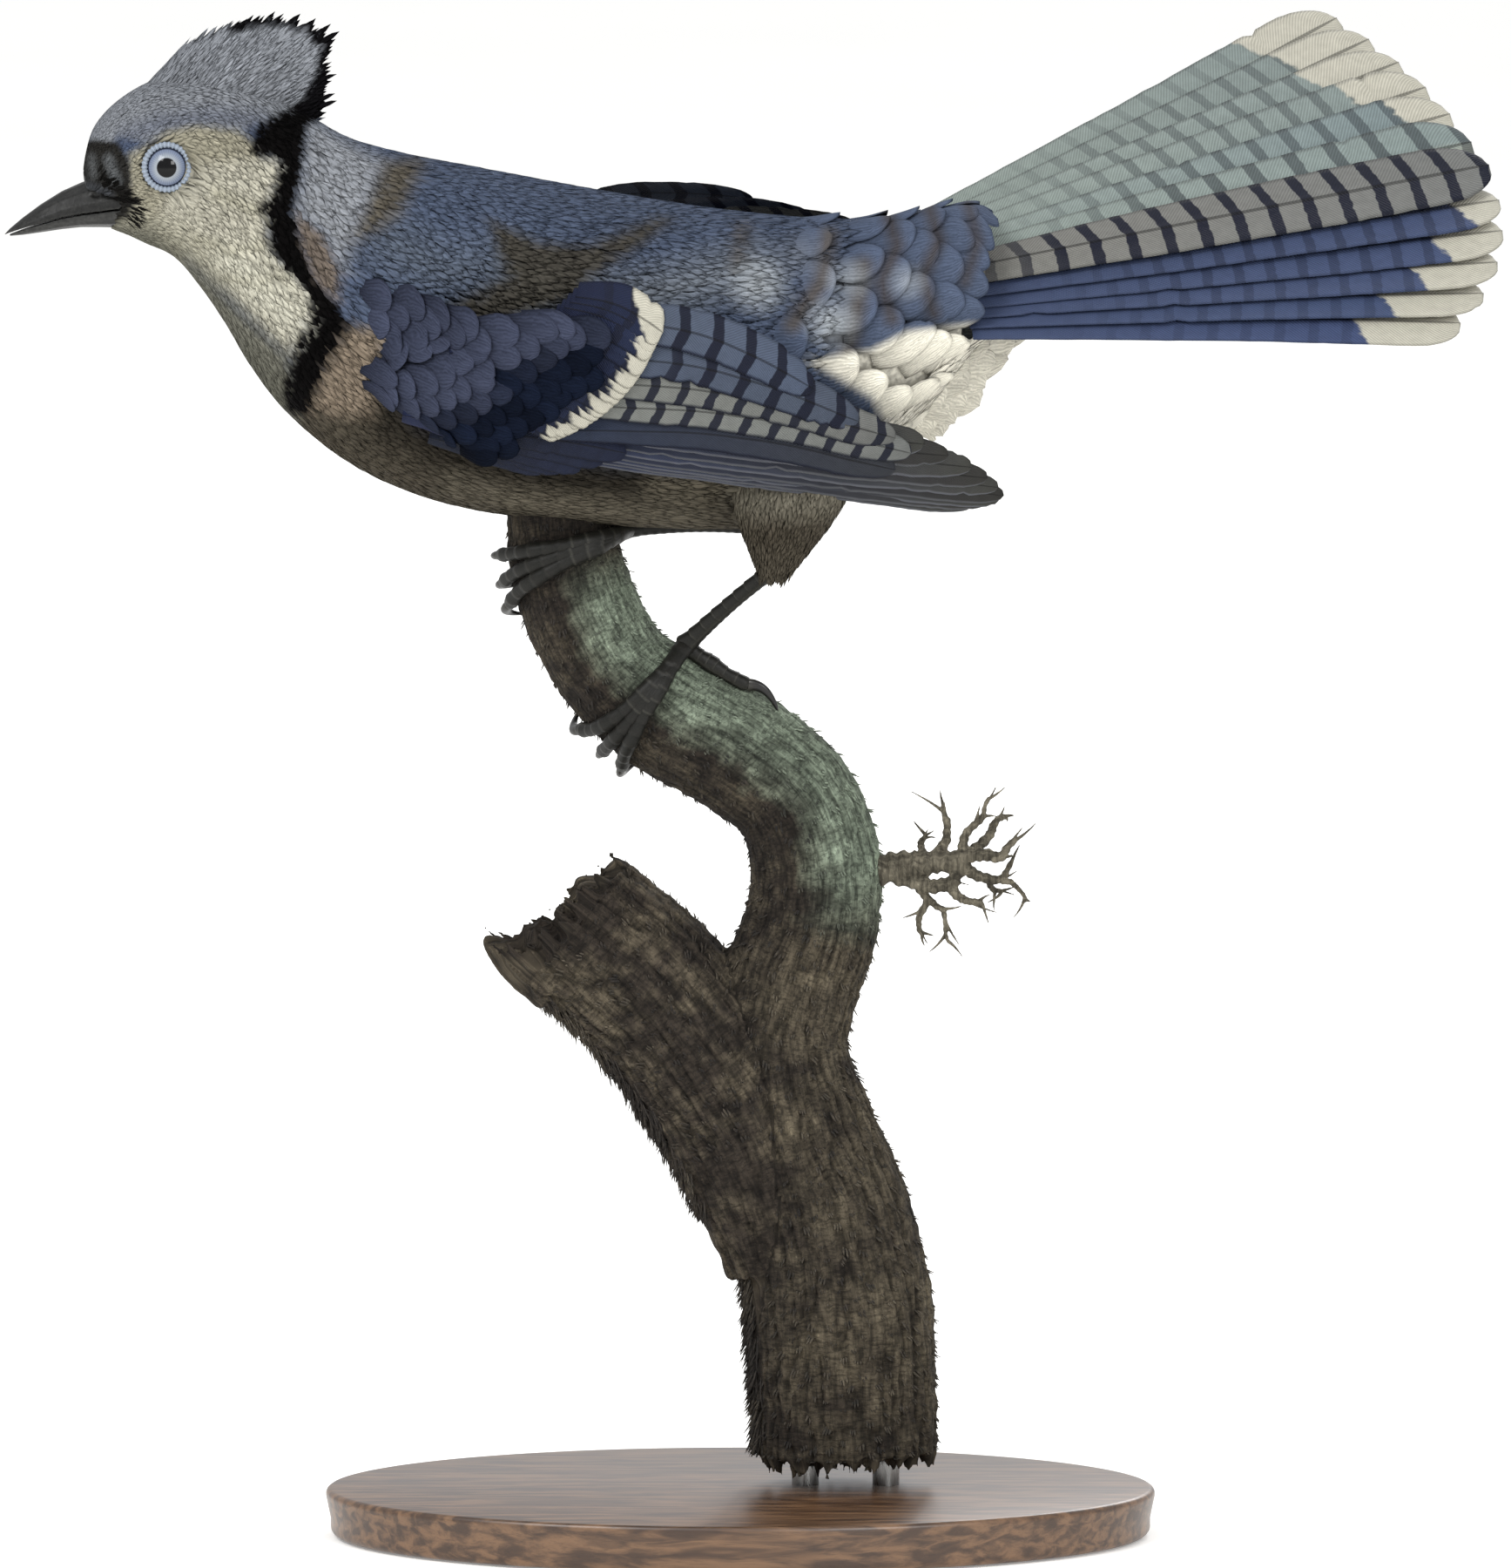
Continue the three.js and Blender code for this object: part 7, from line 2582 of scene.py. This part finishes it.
    def flakes(self, finish: bpy.types.Material) -> None:
        """Lay small flakes over the bark and let long fibres hang along the left edges.

        Args:
            finish: Their material.
        """
        left = math.radians(-90)
        under = math.radians(90)
        around = (-math.pi, math.pi)
        sets = (
            ("flakes", self.limb, (0.2, 15.0), around, 2.5, (1.4, 3.0), 0.9, 0.0, 0.5),
            ("stub_flakes", self.stub, (1.5, 4.0), around, 2.5, (1.4, 3.0), 0.9, 0.0, 0.5),
            ("fibres", self.limb, (11.2, 14.6), (left - 0.5, left + 0.35), 1.1, (5.0, 10.0), 0.35, 0.0, 2.0),
            ("stub_fibres", self.stub, (1.2, 3.9), (under - 0.5, under + 0.5), 1.1, (3.5, 8.0), 0.35, math.pi,
             1.6),
        )
        fan = Fan(locks=3, spread=22, width_share=0.8, ragged=0.5, thick=0.3, sunk=1.2, shadow=0.3)
        for i, (name, limb, first, second, gap, lengths, width, turn, stand) in enumerate(sets):
            seed = self.flake_seed + i
            rng = np.random.default_rng(seed)
            s, t = scatter(limb, gap, seed, 30000, first, second)
            length = rng.uniform(*lengths, len(s))
            here, *_ = limb.basis(s, t)
            tint = self.bark_tint(np.full(len(s), limb is self.stub), s, t, here)
            tint = tint * rng.uniform(0.5, 1.15, (len(s), 1))
            roots = Roots(s, t, length, width * length ** 0.5, 0.5, tint,
                          turn + rng.normal(0, 0.22, len(s)), rng.uniform(0, stand, len(s)))
            hand_in(grow(limb, roots, fan, seed).to_object(f"perch_{name}"), finish, Slot.BARK)


# Stand

@dataclass
class Stand:
    """The display stand: an oval wooden base with a stepped edge and two steel rods."""

    long: float = 160.0
    wide: float = 96.0
    thick: float = 9.0
    edge: float = 2.5
    # Shares of the thickness: the bead's two edges and the top of the foot, which is drawn in
    bead: Pair = (0.22, 0.36)
    foot: float = 0.25
    foot_size: float = 0.985
    rod: float = 2.6
    rods: Pair = (12.5, 28.0)
    let_in: float = 0.5
    rod_y: float = 3.0
    top: float = 15.0

    def base(self) -> None:
        """Turn an oval base with a rounded top edge, a bead below it and a small foot."""
        deselect()
        bpy.ops.mesh.primitive_cylinder_add(vertices=180, radius=self.long / 2 * MM, depth=self.thick * MM,
                                            location=(0, 0, self.thick / 2 * MM))
        base = choose(bpy.context.object)
        bpy.ops.object.transform_apply(location=True, rotation=False, scale=False)
        with edit_mode():
            for height in self.bead:
                bpy.ops.mesh.select_all(action="SELECT")
                bpy.ops.mesh.bisect(plane_co=(0, 0, self.thick * height * MM), plane_no=(0, 0, 1))
        for vertex in base.data.vertices:
            vertex.select = vertex.co.z < self.thick * self.foot * MM
        with edit_mode():
            bpy.ops.transform.resize(value=(self.foot_size, self.foot_size, 1.0))
        finish_modifier(base, "BEVEL", width=self.edge * 0.6 * MM, segments=4, limit_method="ANGLE",
                        angle_limit=math.radians(50))
        places, _ = places_of(base)
        move_to(base, places * np.array([1.0, self.wide / self.long, 1.0]))
        settle(base, "stand_plinth")
        bpy.ops.object.shade_smooth_by_angle(angle=math.radians(35))
        hand_in(base, WaxedWood().material(), Slot.STAND, "stand_base")

    def posts(self) -> None:
        """Turn both rods, each let a little into the base."""
        steel = Steel().material()
        tall = self.top - self.thick + 2 * self.let_in
        middle = self.thick + tall / 2 - self.let_in
        for i, x in enumerate(self.rods):
            deselect()
            bpy.ops.mesh.primitive_cylinder_add(vertices=64, radius=self.rod * MM, depth=tall * MM,
                                                location=(x * MM, self.rod_y * MM, middle * MM))
            rod = settle(bpy.context.object, f"stand_post_{i + 1}")
            finish_modifier(rod, "BEVEL", width=0.25 * MM, segments=2, limit_method="ANGLE")
            bpy.ops.object.shade_smooth_by_angle(angle=math.radians(35))
            hand_in(rod, steel, Slot.ROD, f"stand_rod_{i + 1}")

    def build(self) -> None:
        """Make the base and the rods."""
        self.base()
        self.posts()


def main() -> None:
    """Build every piece in order."""
    logging.basicConfig(level=logging.INFO, format="%(message)s")
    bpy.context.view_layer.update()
    Studio().build()
    soft = SoftPlumage().material()
    stiff = StiffPlumage().material()
    plumage = Plumage(BodyForm(), Markings())
    thighs = {
        Side.LEFT: ThighForm(((10.5, -9.5, 209), (9.2, -12, 200), (6.8, -14, 187.8)),
                             ((12, 6), (10.6, 6.6), (3.9, 3))),
        Side.RIGHT: ThighForm(((7.5, 13, 209), (6.2, 14.5, 202), (4.6, 14.4, 192.6)),
                              ((9.4, 7), (7.6, 6.2), (3.0, 2.8))),
    }
    tail = Tail()
    crest = Crest()
    plumage.skin(list(thighs.values()), [tail.undertail(), crest.form()])
    plumage.coat(soft)
    plumage.bristles(soft)
    pattern = plumage.markings.tint
    upper = ((11.5, 15.5), (12.15, 15.0), (12.75, 15.0), (13.4, 14.0), (14.1, 13.5), (14.7, 13.5))
    Lobes("coat_uppertail", plumage.form, pattern, lay_rows(upper, ((-2.3, 2.3),), 0.44), (10.0, 11.5),
          Slot.BLUE).build(soft)
    under = ((-0.35, 14.0), (-0.1, 13.5), (0.15, 13.0), (0.4, 12.0), (0.65, 10.5))
    Lobes("coat_undertail", tail.undertail(), pattern, lay_rows(under, ((0.3, 3.0), (-3.0, -0.3)), 0.62),
          (6.5, 8.0), Slot.WHITE, height=-1.0, rise=1.4, dark=0.6, bright=0.9, rim=0.12).build(soft)
    plumage.thigh_coat(thighs, soft)
    tail.build(stiff)
    crest.build(soft, plumage.markings)
    for side in Side:
        wing = Wing(side)
        wing.feathers(stiff)
        wing.coverts(soft)
    face = Face()
    face.eyes()
    face.bill()
    perch = Perch()
    plates = Tinted("leg_plates", roughness=0.45, grain=4.0, grain_tint=0.2, deep=0.05, shine=0.2).material()
    horn = Tinted("claw_horn", roughness=0.35, grain=2.5, grain_tint=0.2, deep=0.03, shine=0.4).material()
    Leg(Side.LEFT, (7.8, -14, 189.2), 3.6, 67, (
        Grip(-4.0, 58, -84), Grip(0.2, 60, -88), Grip(3.8, 60, -80), Grip(12.5, 72, 66, 1.0)),
        perch.limb).build(plates, horn)
    Leg(Side.RIGHT, (5, 14.4, 193), 0.58, 104, (
        Grip(1.4, 88, -84), Grip(5.6, 88, -88), Grip(9.6, 84, -82), Grip(8.0, 122, 150, 1.0)),
        perch.limb).build(plates, horn)
    bark = Bark().material()
    perch.bark(bark)
    perch.twig(bark)
    perch.flakes(Tinted("bark_flake", roughness=0.95, grain=1.4, grain_tint=0.5, deep=0.2).material())
    Stand().build()


if __name__ == "__main__":
    main()
